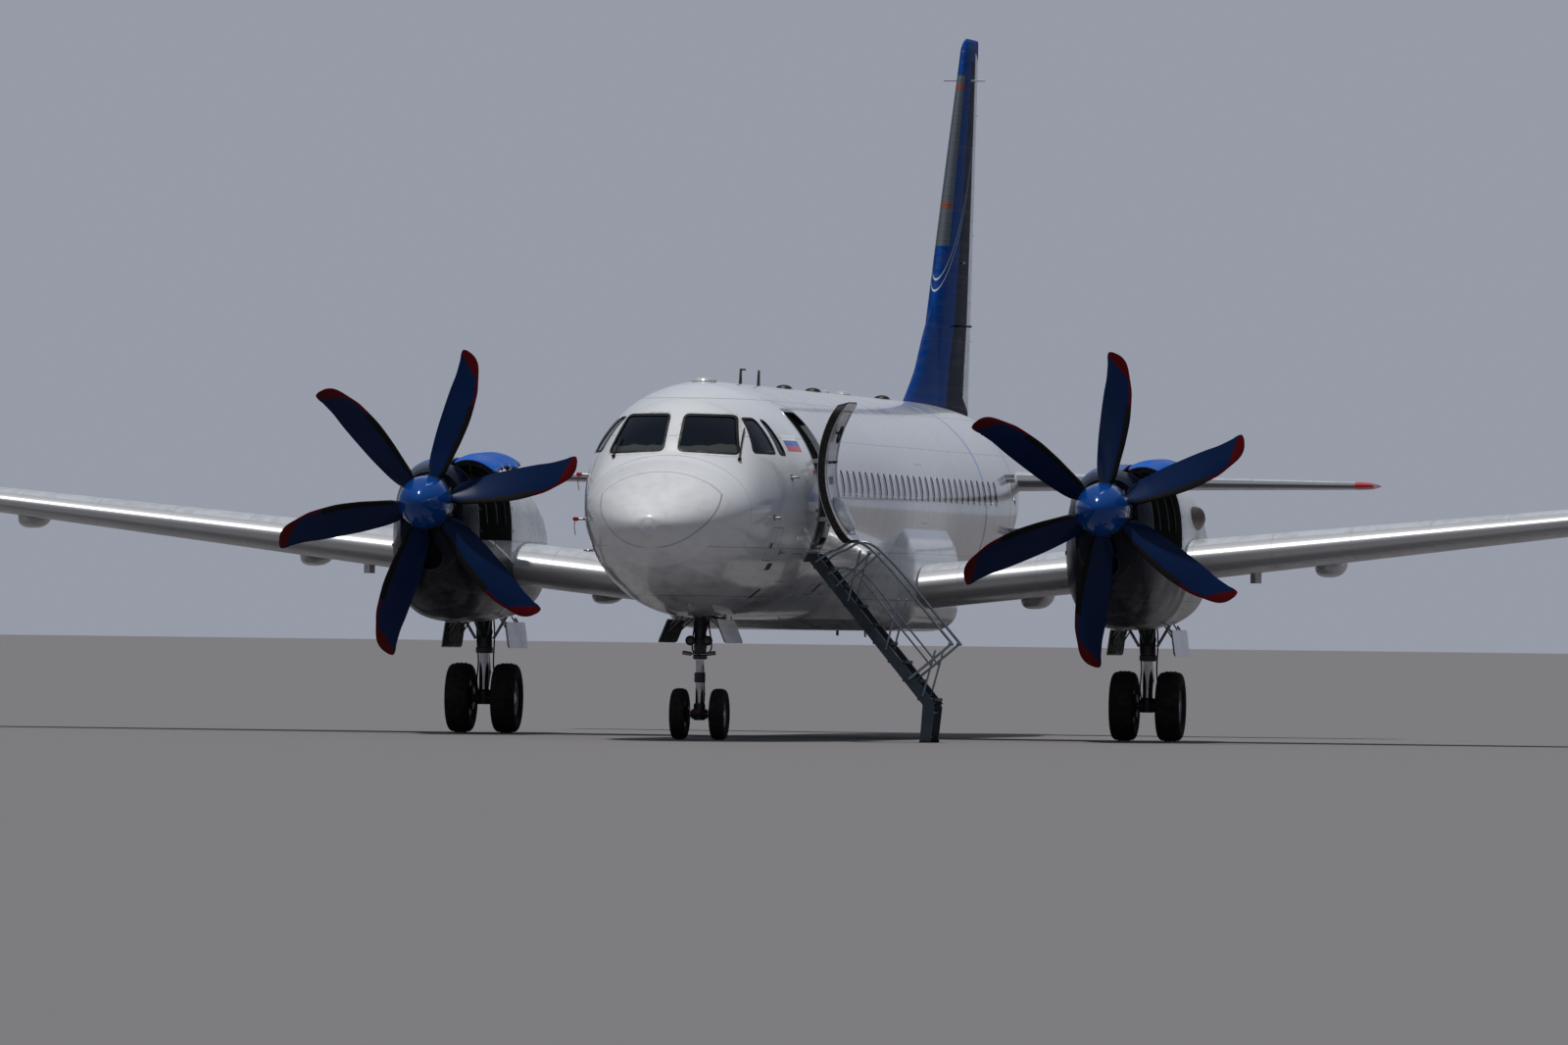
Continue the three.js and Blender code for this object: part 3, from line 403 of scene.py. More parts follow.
def set_skin_normals(mesh, normals):
    """Corners of faces that lie along the smooth skin get the skin's own normal."""
    count = len(mesh.loops)
    index = np.zeros(count, np.int32)
    mesh.loops.foreach_get("vertex_index", index)
    points = np.zeros(len(mesh.vertices) * 3)
    mesh.vertices.foreach_get("co", points)
    points = points.reshape(-1, 3)[index] / MM
    shaded = np.zeros(count * 3, np.float32)
    mesh.corner_normals.foreach_get("vector", shaded)
    shaded = shaded.reshape(-1, 3)
    sizes = np.zeros(len(mesh.polygons), np.int32)
    mesh.polygons.foreach_get("loop_total", sizes)
    flat = np.zeros(len(mesh.polygons) * 3, np.float32)
    mesh.polygons.foreach_get("normal", flat)
    flat = np.repeat(flat.reshape(-1, 3), sizes, axis=0)
    skin, near = normals(points)
    along = (flat * skin).sum(1) > math.cos(math.radians(22))
    use = along & near
    shaded[use] = skin[use]
    mesh.normals_split_custom_set(shaded.tolist())


# Smooth curves through table rows


def smooth_curve(xs, ys):
    """A cubic through the points that doesn't overshoot between them."""
    xs, ys = np.asarray(xs, float), np.asarray(ys, float)
    step = np.diff(xs)
    slope = np.diff(ys) / step
    tangent = np.zeros_like(xs)
    before, after = slope[:-1], slope[1:]
    w1, w2 = 2 * step[1:] + step[:-1], step[1:] + 2 * step[:-1]
    same = before * after > 0
    safe_before, safe_after = np.where(same, before, 1), np.where(same, after, 1)
    tangent[1:-1] = np.where(same, (w1 + w2) / (w1 / safe_before + w2 / safe_after), 0)
    tangent[0], tangent[-1] = slope[0], slope[-1]

    def at(x):
        x = np.clip(np.asarray(x, float), xs[0], xs[-1])
        i = np.clip(np.searchsorted(xs, x, side="right") - 1, 0, len(xs) - 2)
        t = (x - xs[i]) / step[i]
        return (
            (2 * t**3 - 3 * t**2 + 1) * ys[i]
            + (t**3 - 2 * t**2 + t) * step[i] * tangent[i]
            + (3 * t**2 - 2 * t**3) * ys[i + 1]
            + (t**3 - t**2) * step[i] * tangent[i + 1]
        )

    return at


def curves(table):
    """A smooth curve over the first column for each of the others."""
    return [smooth_curve(table[:, 0], column) for column in table.T[1:]]


# Fuselage: station, half width, top, bottom, height of the widest line
SECTIONS = np.array(
    [
        [0, 60, 2610, 2490, 2550],
        [90, 235, 2705, 2355, 2550],
        [300, 420, 2830, 2180, 2560],
        [800, 730, 3090, 1900, 2620],
        [1300, 930, 3290, 1735, 2700],
        [1450, 975, 3345, 1700, 2720],
        [1750, 1045, 3600, 1640, 2750],
        [2050, 1105, 3840, 1590, 2780],
        [2500, 1180, 4060, 1520, 2820],
        [3000, 1260, 4190, 1482, 2842],
        [3600, 1345, 4275, 1457, 2860],
        [4300, 1408, 4308, 1450, 2875],
        [4800, 1430, 4310, 1450, 2880],
        [19600, 1430, 4310, 1450, 2880],
        [20400, 1418, 4308, 1515, 2905],
        [21200, 1370, 4300, 1685, 2965],
        [22500, 1230, 4270, 2010, 3080],
        [24000, 960, 4200, 2480, 3240],
        [25300, 640, 4080, 2900, 3400],
        [26300, 380, 3900, 3220, 3540],
        [LENGTH, 190, 3760, 3380, 3570],
    ],
    float,
)
# Over the square root of the station the blunt nose is nearly straight
SECTION_LINES = curves(np.column_stack([np.sqrt(SECTIONS[:, 0]), SECTIONS[:, 1:]]))
HULL_SIDES = 144
SCREEN_STATIONS = (900, 3200)
HALVINGS = 40


def section(at):
    root = np.sqrt(np.clip(at, 0, LENGTH))
    return [line(root) for line in SECTION_LINES]


def hull_points(at, angle, inset):
    """Points of the hull at stations and angles, 0 at the top and growing to port."""
    half, top, bottom, widest = section(at)
    rise = np.where(np.cos(angle) > 0, top - widest, widest - bottom) - inset
    x = (half - inset) * np.sin(angle)
    return np.stack([x, station(at) + 0 * angle, widest + rise * np.cos(angle)], -1)


def hull_stations(start, end):
    count = max(3, int((end - start) / (60 if start < 3000 else 170)) + 2)
    return np.linspace(math.sqrt(start), math.sqrt(end), count) ** 2


def hull(start, end, inset=0.0):
    at = hull_stations(start, end)[:, None]
    angle = around(HULL_SIDES)[None, :]
    return loft(hull_points(at, angle, inset))


def skin_x(at, z, inset=0.0):
    half, top, bottom, widest = section(at)
    reach = np.where(z > widest, top - widest, widest - bottom) - inset
    return (half - inset) * np.sqrt(np.clip(1 - ((z - widest) / reach) ** 2, 0, None))


def skin_station(x, z, inset):
    """Station where the windscreen's part of the nose reaches a point given from ahead."""
    x, z = np.asarray(x, float), np.asarray(z, float)
    low, high = (np.full(x.shape, float(end)) for end in SCREEN_STATIONS)
    for _ in range(HALVINGS):
        middle = (low + high) / 2
        inside = skin_x(middle, z, inset) > np.abs(x)
        low, high = np.where(inside, low, middle), np.where(inside, middle, high)
    return high


def hull_share(points):
    """How far out a point lies: 1 on the skin, less inside."""
    x, y, z = np.asarray(points).T
    half, top, bottom, widest = section(y + LENGTH / 2)
    reach = np.where(z > widest, top - widest, widest - bottom)
    return np.sqrt((x / half) ** 2 + ((z - widest) / reach) ** 2)


def share_normals(share, points):
    """The direction in which a form's share grows at points, and where it grows at all."""
    grow = 2.0
    slope = np.stack([share(points + grow * axis) - share(points - grow * axis) for axis in np.eye(3)], -1)
    size = np.linalg.norm(slope, axis=1)
    return slope / np.where(size > 0, size, 1)[:, None], size > 0


def hull_normals(points):
    """The smooth hull's normal at points, and which of them lie on it."""
    normals, known = share_normals(hull_share, points)
    half = section(points[:, 1] + LENGTH / 2)[0]
    return normals, known & (np.abs(hull_share(points) - 1) * half < 9)


def depth_in_hull(x, y, z):
    half = section(y + LENGTH / 2)[0]
    return (1 - hull_share(np.stack([x, y, z], -1))) * half


def between_depths(x, y, z, low, high):
    depth = depth_in_hull(x, y, z)
    return (depth > low) & (depth < high)


# Materials, whose places and lengths are in metres


class Look:
    """One procedural material. Colour, roughness, metal and height grow layer by layer."""

    def __init__(self, name, color, rough=0.3, metal=0.0, coat=0.0, specular=0.5):
        self.material = bpy.data.materials.new(name)
        self.material.use_nodes = True
        self.tree = self.material.node_tree
        self.shader = self.tree.nodes["Principled BSDF"]
        self.shader.inputs["Coat Weight"].default_value = coat
        self.shader.inputs["Coat Roughness"].default_value = 0.06
        self.shader.inputs["Specular IOR Level"].default_value = specular
        self.where = self.tree.nodes.new("ShaderNodeTexCoord").outputs["Object"]
        split = self.tree.nodes.new("ShaderNodeSeparateXYZ")
        self.tree.links.new(self.where, split.inputs[0])
        self.x, self.y, self.z = split.outputs
        self.color = (*color, 1.0)
        self.rough = rough
        self.metal = metal
        self.height = None

    def node(self, kind, *values, **settings):
        made = self.tree.nodes.new(kind)
        for key, value in settings.items():
            setattr(made, key, value)
        for socket, value in zip(made.inputs, values):
            self.feed(socket, value)
        return made.outputs[0]

    def feed(self, socket, value):
        if isinstance(value, bpy.types.NodeSocket):
            self.tree.links.new(value, socket)
        elif value is not None:
            socket.default_value = value

    def calc(self, operation, a, b=None, c=None):
        return self.node("ShaderNodeMath", a, b, c, operation=operation)

    def plan(self):
        """The three values stamped on the points of a piece."""
        made = self.tree.nodes.new("ShaderNodeAttribute")
        made.attribute_name = "plan"
        split = self.tree.nodes.new("ShaderNodeSeparateXYZ")
        self.tree.links.new(made.outputs["Vector"], split.inputs[0])
        return split.outputs[0], split.outputs[1], split.outputs[2]

    def above(self, value, edge, soft=0.002):
        made = self.tree.nodes.new("ShaderNodeMapRange")
        made.interpolation_type = "SMOOTHSTEP"
        for socket, number in zip(made.inputs, (value, edge - soft, edge + soft, 0.0, 1.0)):
            self.feed(socket, number)
        return made.outputs[0]

    def below(self, value, edge, soft=0.002):
        return self.calc("SUBTRACT", 1.0, self.above(value, edge, soft))

    def between(self, value, low, high, soft=0.002):
        return self.calc("MULTIPLY", self.above(value, low, soft), self.below(value, high, soft))

    def both(self, *masks):
        result = masks[0]
        for mask in masks[1:]:
            result = self.calc("MULTIPLY", result, mask)
        return result

    def either(self, *masks):
        result = masks[0]
        for mask in masks[1:]:
            result = self.calc("MAXIMUM", result, mask)
        return result

    def repeated(self, value, pitch, width, offset=0.0, soft=0.0015):
        """Lines of a width at every multiple of a pitch."""
        shifted = self.calc("SUBTRACT", value, offset)
        away = self.calc("PINGPONG", shifted, pitch / 2)
        return self.below(away, width / 2, soft)

    def lines(self, value, places, width, soft=0.0015):
        """Lines of a width at listed places."""
        away = None
        for place in places:
            here = self.calc("ABSOLUTE", self.calc("SUBTRACT", value, place))
            away = here if away is None else self.calc("MINIMUM", away, here)
        return self.below(away, width / 2, soft)

    def noise(self, scale, detail, stretch=(1, 1, 1)):
        where = self.where
        if stretch != (1, 1, 1):
            where = self.node("ShaderNodeVectorMath", where, stretch, operation="MULTIPLY")
        made = self.tree.nodes.new("ShaderNodeTexNoise")
        made.inputs["Scale"].default_value = scale
        made.inputs["Detail"].default_value = detail
        self.tree.links.new(where, made.inputs["Vector"])
        return made.outputs[0]

    def tint(self, mask, color, blend="MIX"):
        """Lays a colour over what is there, where the mask says."""
        made = self.tree.nodes.new("ShaderNodeMix")
        made.data_type = "RGBA"
        made.blend_type = blend
        self.feed(made.inputs[0], mask)
        self.feed(made.inputs[6], self.color)
        self.feed(made.inputs[7], (*color, 1.0))
        self.color = made.outputs[2]
        return self

    def fade(self, kind, mask, value):
        """Moves roughness or metal towards a value, where the mask says."""
        made = self.node("ShaderNodeMix", mask)
        mix = made.node
        self.feed(mix.inputs[2], getattr(self, kind))
        self.feed(mix.inputs[3], value)
        setattr(self, kind, mix.outputs[0])
        return self

    def scaled(self, value, factor):
        return self.calc("MULTIPLY", value, factor)

    def lift(self, value, metres):
        """Adds relief: value from 0 to 1 over a height."""
        step = self.scaled(value, metres)
        self.height = step if self.height is None else self.calc("ADD", self.height, step)
        return self

    def made(self):
        self.feed(self.shader.inputs["Base Color"], self.color)
        self.feed(self.shader.inputs["Roughness"], self.rough)
        self.feed(self.shader.inputs["Metallic"], self.metal)
        if self.height is not None:
            bump = self.tree.nodes.new("ShaderNodeBump")
            bump.inputs["Distance"].default_value = 1.0
            self.tree.links.new(self.height, bump.inputs["Height"])
            self.tree.links.new(bump.outputs[0], self.shader.inputs["Normal"])
        return self


DARK_BROWN = (0.20, 0.17, 0.14)
SEAM = (0.16, 0.17, 0.19)


def weathered(look, amount, darker_below=None):
    """Tone, gloss and slight waviness of old paint, with streaks along the airflow. Given a band of heights,
    it is also darker towards the bottom.
    """
    tone = look.noise(0.55, 4.0)
    look.tint(look.scaled(look.above(tone, 0.5, 0.22), 0.13), (0.62, 0.64, 0.66), "MULTIPLY")
    streaks = look.noise(7.0, 5.0, stretch=(1.0, 0.07, 1.6))
    dirty = look.above(streaks, 0.55, 0.16)
    if darker_below is not None:
        low, high = darker_below
        # Darker towards the bottom: over the band the paint darkens evenly downwards, fully below its foot,
        # and the streaks fade out upwards.
        span = look.node("ShaderNodeMapRange", look.z, high, low, 0.0, 1.0)
        dirty = look.both(dirty, span)
        look.tint(look.scaled(span, amount * 0.5), DARK_BROWN)
    look.tint(look.scaled(dirty, amount), DARK_BROWN)
    gloss = look.noise(2.3, 6.0)
    look.rough = look.node("ShaderNodeMapRange", gloss, 0.3, 0.75, look.rough * 0.75, look.rough * 1.45)
    look.lift(look.noise(1.4, 1.0), 0.0022)
    look.lift(look.noise(55.0, 1.0), 0.00006)
    return look


def seams(look, mask, strength):
    """Dark sunk joints between panels."""
    look.tint(look.scaled(mask, strength), SEAM)
    return look.lift(mask, -0.0015)


def riveted(look, along, across, pitch, row_pitch, strength):
    """Rows of rivet heads: dots a pitch apart on lines a row pitch apart."""
    dots = look.both(
        look.repeated(along, pitch, 0.006, soft=0.002),
        look.repeated(across, row_pitch, 0.007, soft=0.002),
    )
    look.tint(look.scaled(dots, strength), SEAM)
    return look.lift(dots, 0.0006)


WHITE = (0.78, 0.80, 0.83)
BLUE = (0.006, 0.072, 0.30)
NAVY = (0.003, 0.007, 0.026)
RADOME_SEAM = {"top": (1150, 3500), "knee": (1150, 2850), "low": (450, 2000), "front": -200}
NOSE_JOINT = {"knee": (1020, 2920), "low": (250, 2330)}
STRIPES = {"low": 3.46, "high": 3.66, "from": station(3230) * MM, "to": station(3790) * MM}


def radome_joint(look):
    """The joint over the nose: upright above its knee, falling to the tip below."""
    (knee_at, knee_z), (low_at, low_z) = NOSE_JOINT["knee"], NOSE_JOINT["low"]
    run, fall = (knee_at - low_at) * MM, (knee_z - low_z) * MM
    size = math.hypot(run, fall)
    aft = look.calc("SUBTRACT", look.y, station(knee_at) * MM)
    under = look.calc("SUBTRACT", look.z, knee_z * MM)
    across = look.calc("SUBTRACT", look.scaled(aft, fall / size), look.scaled(under, run / size))
    upright = look.both(look.lines(aft, (0.0,), 0.016), look.above(under, 0.0))
    slanting = look.both(
        look.lines(across, (0.0,), 0.016), look.below(under, 0.0), look.above(under, -fall - 0.05)
    )
    return look.either(upright, slanting)


# Exits and hatches: first and last station, lower and upper edge, and whether only to port
HATCHES = (
    (12.46, 13.02, 2.68, 3.42, False),
    (16.9, 17.5, 1.72, 2.22, False),
    (6.1, 6.75, 1.75, 2.2, True),
    (2.35, 2.75, 2.15, 2.55, False),
    (3.45, 3.9, 1.9, 2.25, False),
)
HATCH_JOINT = 0.012


def fuselage_look():
    look = Look("fuselage_paint", WHITE, rough=0.2, coat=0.6)
    seams(look, radome_joint(look), strength=0.6)
    weathered(look, darker_below=(1.45, 2.5), amount=0.5)
    riveted(look, look.y, look.z, 0.045, 0.42, strength=0.2)
    frames = look.repeated(look.y, 1.02, 0.009, offset=0.31)
    laps = look.lines(look.z, (1.72, 2.3, 3.62, 4.08), 0.01)
    seams(look, look.either(frames, laps), strength=0.42)
    # A thin bright line runs under the cabin windows
    rail = look.both(look.lines(look.z, (2.985,), 0.022), look.between(look.y, -8.2, 6.3))
    look.tint(look.scaled(rail, 0.75), (0.93, 0.94, 0.96))
    for at0, at1, low, high, port_only in HATCHES:
        y0, y1 = at0 - LENGTH / 2 * MM, at1 - LENGTH / 2 * MM
        outer = look.both(look.between(look.y, y0, y1), look.between(look.z, low, high))
        y0, y1, low, high = y0 + HATCH_JOINT, y1 - HATCH_JOINT, low + HATCH_JOINT, high - HATCH_JOINT
        inner = look.both(look.between(look.y, y0, y1), look.between(look.z, low, high))
        joint = look.calc("SUBTRACT", outer, inner)
        if port_only:
            joint = look.both(joint, look.above(look.x, 0.0))
        seams(look, joint, strength=0.75)
    # A thin blue line follows the joint ahead of the rear doors. Below 3.1 m it is painted much darker, as
    # painted shade on the lower side.
    joint = look.lines(look.y, (station(18100) * MM,), 0.15)
    look.tint(look.both(joint, look.above(look.z, 3.1)), (0.10, 0.30, 0.75))
    look.tint(look.both(joint, look.below(look.z, 3.1)), (0.03, 0.05, 0.12))
    # Three plain stripes ahead of the entrance
    port = look.above(look.x, 0.0)
    along = look.between(look.y, STRIPES["from"], STRIPES["to"])
    third = (STRIPES["high"] - STRIPES["low"]) / 3
    for i, stripe in enumerate(((0.62, 0.02, 0.03), (0.02, 0.09, 0.52), (0.92, 0.93, 0.95))):
        low = STRIPES["low"] + i * third
        look.tint(look.both(port, along, look.between(look.z, low, low + third)), stripe)
    return look.made()


def gloss_paint(name, color, rough=0.22, seam_pitch=0.8, amount=0.2):
    look = Look(name, color, rough=rough, coat=0.5)
    seams(look, radome_joint(look), strength=0.6)
    weathered(look, amount=amount)
    riveted(look, look.y, look.z, 0.05, seam_pitch / 2, strength=0.18)
    seams(look, look.repeated(look.y, seam_pitch, 0.008), strength=0.45)
    return look.made()


def plain(name, color, rough, metal=0.0, coat=0.0, scale=6.0, bump=0.0004, grime=0.3):
    """A small part's finish: mottled tone, worn gloss, grime and fine relief."""
    look = Look(name, color, rough=rough, metal=metal, coat=coat)
    mottle = look.noise(scale, 5.0)
    look.tint(look.scaled(look.above(mottle, 0.5, 0.2), 0.35), tuple(c * 0.55 for c in color))
    specks = look.noise(scale * 9, 3.0)
    look.tint(look.scaled(look.above(specks, 0.6, 0.06), grime), DARK_BROWN)
    wear = look.noise(scale * 2.3, 6.0)
    look.rough = look.node("ShaderNodeMapRange", wear, 0.3, 0.7, rough * 0.75, min(1.0, rough * 1.35))
    look.lift(look.noise(scale * 14, 3.0), bump)
    return look.made()


def wing_look():
    """Wing skin from the stamped plan: span, share of the chord, upper side."""
    look = Look("wing_skin", (0.60, 0.62, 0.65), rough=0.3, coat=0.35)
    span, share, upper = look.plan()
    weathered(look, amount=0.28)
    # Painted shade: the underside of the wing is darkened
    look.tint(look.scaled(look.below(upper, 0.5, 0.01), 0.35), (0.45, 0.46, 0.48), "MULTIPLY")
    riveted(look, span, share, 0.05, 0.145, strength=0.22)
    ribs = look.repeated(span, 0.98, 0.009, offset=0.12)
    spars = look.lines(share, (0.16, 0.45, 0.66), 0.0034, 0.0006)
    seams(look, look.either(ribs, spars), strength=0.55)
    # Fuel caps and access panels in a row
    ovals = look.both(
        look.repeated(span, 1.96, 0.24, offset=0.6, soft=0.03), look.between(share, 0.27, 0.36, 0.01)
    )
    look.tint(look.scaled(ovals, 0.10), (0.3, 0.3, 0.32))
    # Bare polished leading edge
    edge = look.below(share, 0.055, 0.0015)
    look.tint(edge, (0.66, 0.67, 0.69))
    look.fade("metal", edge, 0.45)
    look.fade("rough", edge, 0.38)
    seams(look, look.lines(share, (0.0565,), 0.003, 0.0006), strength=0.8)
    return look.made()


RED_TIP = 5.33


def tailplane_look():
    look = Look("tailplane_skin", (0.58, 0.60, 0.64), rough=0.3, coat=0.35)
    span, share, _ = look.plan()
    weathered(look, amount=0.28)
    riveted(look, span, share, 0.05, 0.17, strength=0.22)
    ribs, spars = look.repeated(span, 0.8, 0.009), look.lines(share, (0.2, 0.62), 0.004)
    seams(look, look.either(ribs, spars), strength=0.55)
    # Painted reflection: a dark, rougher band along the leading edge stands in for the dark ground reflected
    # under the polished edge
    leading_band = look.both(look.below(share, 0.06, 0.002), look.between(span, 0.9, RED_TIP))
    look.tint(leading_band, (0.20, 0.21, 0.23))
    look.fade("rough", leading_band, 0.55)
    look.tint(look.above(span, RED_TIP, 0.002), (0.50, 0.02, 0.03))
    return look.made()


def fin_look():
    """Bright blue ahead, navy behind, with a grey ice boot on the leading edge."""
    look = Look("fin_paint", BLUE, rough=0.35, coat=0.12, specular=0.0)
    height, share, _ = look.plan()
    look.tint(look.both(look.above(share, 0.30, 0.004), look.below(height, 8.9)), (0.007, 0.016, 0.045))
    # Two thin lines rise aft from the leading edge
    rise = look.calc("SUBTRACT", height, look.scaled(share, 2.9))
    look.tint(look.both(look.lines(rise, (5.80, 5.95), 0.03), look.below(share, 0.62)), (0.6, 0.64, 0.7))
    weathered(look, amount=0.16)
    riveted(look, height, share, 0.05, 0.15, strength=0.2)
    ribs, spars = look.repeated(height, 0.86, 0.009), look.lines(share, (0.12, 0.5), 0.004)
    seams(look, look.either(ribs, spars), strength=0.5)
    leading_band = look.both(look.below(share, 0.075, 0.003), look.between(height, 6.40, 8.69))
    look.tint(leading_band, (0.135, 0.155, 0.18))
    look.fade("rough", leading_band, 0.5)
    look.lift(look.both(leading_band, look.repeated(height, 0.12, 0.012, soft=0.006)), 0.002)
    marks = look.both(leading_band, look.lines(height, (6.94, 8.54), 0.08), look.repeated(look.x, 0.05, 0.034))
    look.tint(marks, (0.33, 0.09, 0.05))
    return look.made()


def control_look(name, color=(0.70, 0.72, 0.75)):
    look = Look(name, color, rough=0.28, coat=0.4)
    span, share, _ = look.plan()
    weathered(look, amount=0.3)
    riveted(look, span, share, 0.045, 0.06, strength=0.2)
    seams(look, look.repeated(span, 0.55, 0.008, offset=0.2), strength=0.5)
    tab = look.both(look.lines(share, (0.93,), 0.004, 0.001), look.repeated(span, 2.6, 1.2, soft=0.002))
    seams(look, tab, strength=0.7)
    return look.made()


def nacelle_look(name, centre):
    """White nacelle with blue upper cowls and a navy chin round the air intake. The cowls' blue is darkened
    as painted shade, and the chin and front ring are blue paint painted navy-dark as painted shade.
    """
    look = Look(name, WHITE, rough=0.3, coat=0.15, specular=0.3)
    aft = look.calc("SUBTRACT", look.y, station(0) * MM)
    off = look.calc("ABSOLUTE", look.calc("SUBTRACT", look.x, centre * MM))
    # Upper cowls: blue, darker than the open cowl door's blue, as painted shade
    cowls = look.both(look.above(look.z, 2.93), look.below(aft, 11.055))
    look.tint(cowls, (0.005, 0.055, 0.27))
    # The chin's navy, painted shade over its blue, ends on a line that falls aft, with a slate panel above it
    over = look.calc("ADD", look.z, look.scaled(aft, 0.21))
    slate = look.both(look.between(over, 4.50, 4.80), look.between(aft, 9.6, 11.05), look.below(look.z, 2.47))
    look.tint(slate, (0.055, 0.068, 0.10))
    # Chin and front ring: their blue is painted navy-dark, as painted shade
    look.tint(look.both(look.below(over, 4.47), look.below(aft, 11.7)), NAVY)
    look.tint(look.below(aft, 9.62), NAVY)
    weathered(look, darker_below=(1.4, 2.2), amount=0.4)
    seams(look, look.lines(aft, (9.55, 10.3, 11.05, 11.62, 12.35, 13.95, 14.9), 0.01), strength=0.6)
    seams(look, look.both(look.lines(look.z, (1.75, 2.39), 0.009), look.above(aft, 9.5)), strength=0.55)
    riveted(look, look.y, look.z, 0.045, 0.3, strength=0.2)
    # Latches in a row along the cowl's lower edge and on the panel behind the bay
    row = look.both(look.between(look.z, 2.325, 2.375), look.repeated(aft, 0.36, 0.05, offset=0.1))
    panel = look.both(look.repeated(look.z, 0.28, 0.05), look.between(aft, 11.12, 11.17))
    look.tint(look.either(look.both(row, look.below(aft, 11.0)), panel), (0.03, 0.03, 0.035))
    # Soot behind the exhaust, high on the outer side
    soot = look.both(
        look.between(look.z, 2.45, 3.25, 0.25), look.between(aft, 12.4, 15.6, 0.9), look.above(off, 0.2, 0.15)
    )
    look.tint(look.scaled(look.both(soot, look.noise(3.0, 4.0, (1, 0.2, 1))), 0.6), (0.05, 0.045, 0.04))
    return look.made()


def blade_look():
    """Blade from the stamped plan: radius, share of the chord from the trailing edge."""
    look = Look("blade_paint", (0.006, 0.028, 0.100), rough=0.3, specular=0.25)
    radius, share, _ = look.plan()
    tone = look.noise(1.6, 5.0)
    look.tint(look.scaled(look.above(tone, 0.48, 0.2), 0.35), (0.004, 0.011, 0.055))
    leading_band = look.both(look.above(share, 0.80, 0.01), look.below(radius, 1.30))
    look.tint(leading_band, (0.010, 0.010, 0.011))
    look.fade("rough", leading_band, 0.6)
    grooves = look.both(leading_band, look.repeated(share, 0.03, 0.008, soft=0.003))
    look.lift(grooves, 0.001)
    line = look.calc("MULTIPLY_ADD", share, -0.30, 1.90)
    tip = look.above(look.calc("SUBTRACT", radius, line), 0.0, 0.004)
    shield = look.both(look.above(share, 0.90, 0.01), look.above(radius, 1.30))
    look.tint(look.either(tip, shield), (0.115, 0.004, 0.007))
    look.lift(look.noise(30.0, 2.0), 0.0002)
    return look.made()


def cowl_look():
    look = Look("cowl_paint", (0.008, 0.13, 0.56), rough=0.45, specular=0.1)
    weathered(look, amount=0.3)
    seams(look, look.repeated(look.y, 0.48, 0.006), strength=0.5)
    riveted(look, look.x, look.y, 0.05, 0.3, strength=0.2)
    return look.made()


def spinner_look():
    look = Look("spinner_paint", (0.003, 0.075, 0.30), rough=0.16, coat=0.4, specular=0.4)
    aft = look.calc("SUBTRACT", look.y, station(PROP_STATION) * MM)
    seams(look, look.lines(aft, (-0.245, -0.18), 0.009), strength=0.8)
    look.tint(look.scaled(look.noise(3.0, 4.0), 0.12), (0.004, 0.05, 0.4))
    look.rough = look.node("ShaderNodeMapRange", look.noise(8.0, 5.0), 0.3, 0.7, 0.1, 0.2)
    look.lift(look.noise(60.0, 1.0), 0.00005)
    return look.made()


def rubber_look():
    """Tyre from the stamped plan: across the tread, share of the radius, angle."""
    look = Look("tyre_rubber", (0.016, 0.016, 0.017), rough=0.82)
    _, out, angle = look.plan()
    tread = look.above(out, 0.93, 0.004)
    look.tint(look.scaled(tread, 0.5), (0.045, 0.043, 0.042))
    dust = look.noise(14.0, 5.0)
    look.tint(look.scaled(look.above(dust, 0.52, 0.14), 0.5), (0.075, 0.070, 0.064))
    ribs = look.both(look.repeated(out, 0.06, 0.012, soft=0.004), look.below(out, 0.9))
    look.lift(ribs, 0.002)
    scuffs = look.both(look.repeated(angle, 0.035, 0.007, soft=0.004), tread)
    look.lift(scuffs, -0.0015)
    look.lift(look.noise(90.0, 2.0), 0.0006)
    return look.made()


def glass_look(name, color, alpha, rough=0.04, hood=False):
    look = Look(name, color, rough=rough)
    streaks = look.noise(3.0, 4.0)
    look.tint(look.scaled(streaks, 0.35), tuple(c * 1.8 for c in color))
    if hood:
        # The pale shield over the panel shows through the foot of the front panes
        wave = look.scaled(look.noise(2.6, 2.0, (1, 0, 0)), 0.16)
        foot = look.below(look.calc("SUBTRACT", look.z, wave), 3.425, 0.008)
        look.tint(look.both(foot, look.below(look.y, station(2150) * MM)), (0.085, 0.095, 0.09))
    look.shader.inputs["Alpha"].default_value = alpha
    return look.made()


def ribbed(name, color, rough, pitch, metal=0.0):
    """Treads, grilles and hoses: fine ribs across the part."""
    look = Look(name, color, rough=rough, metal=metal)
    look.tint(look.scaled(look.above(look.noise(9.0, 5.0), 0.5, 0.18), 0.4), tuple(c * 0.5 for c in color))
    ribs = look.repeated(look.y, pitch, pitch * 0.45, soft=pitch * 0.12)
    look.tint(look.scaled(ribs, 0.4), tuple(c * 0.45 for c in color))
    look.lift(ribs, 0.003)
    return look.made()


def lining_look():
    """Cabin lining panels: pale plastic with joints and a fine grain."""
    look = Look("cabin_lining", (0.46, 0.49, 0.51), rough=0.55)
    look.tint(look.scaled(look.noise(1.2, 4.0), 0.25), (0.33, 0.35, 0.36))
    frames = look.repeated(look.y, 0.62, 0.008, offset=0.2)
    laps = look.repeated(look.z, 0.7, 0.008, offset=0.1)
    seams(look, look.either(frames, laps), strength=0.6)
    floor = look.below(look.z, 2.31, 0.004)
    look.tint(floor, (0.05, 0.055, 0.06))
    look.lift(look.noise(220.0, 2.0), 0.0003)
    return look.made()


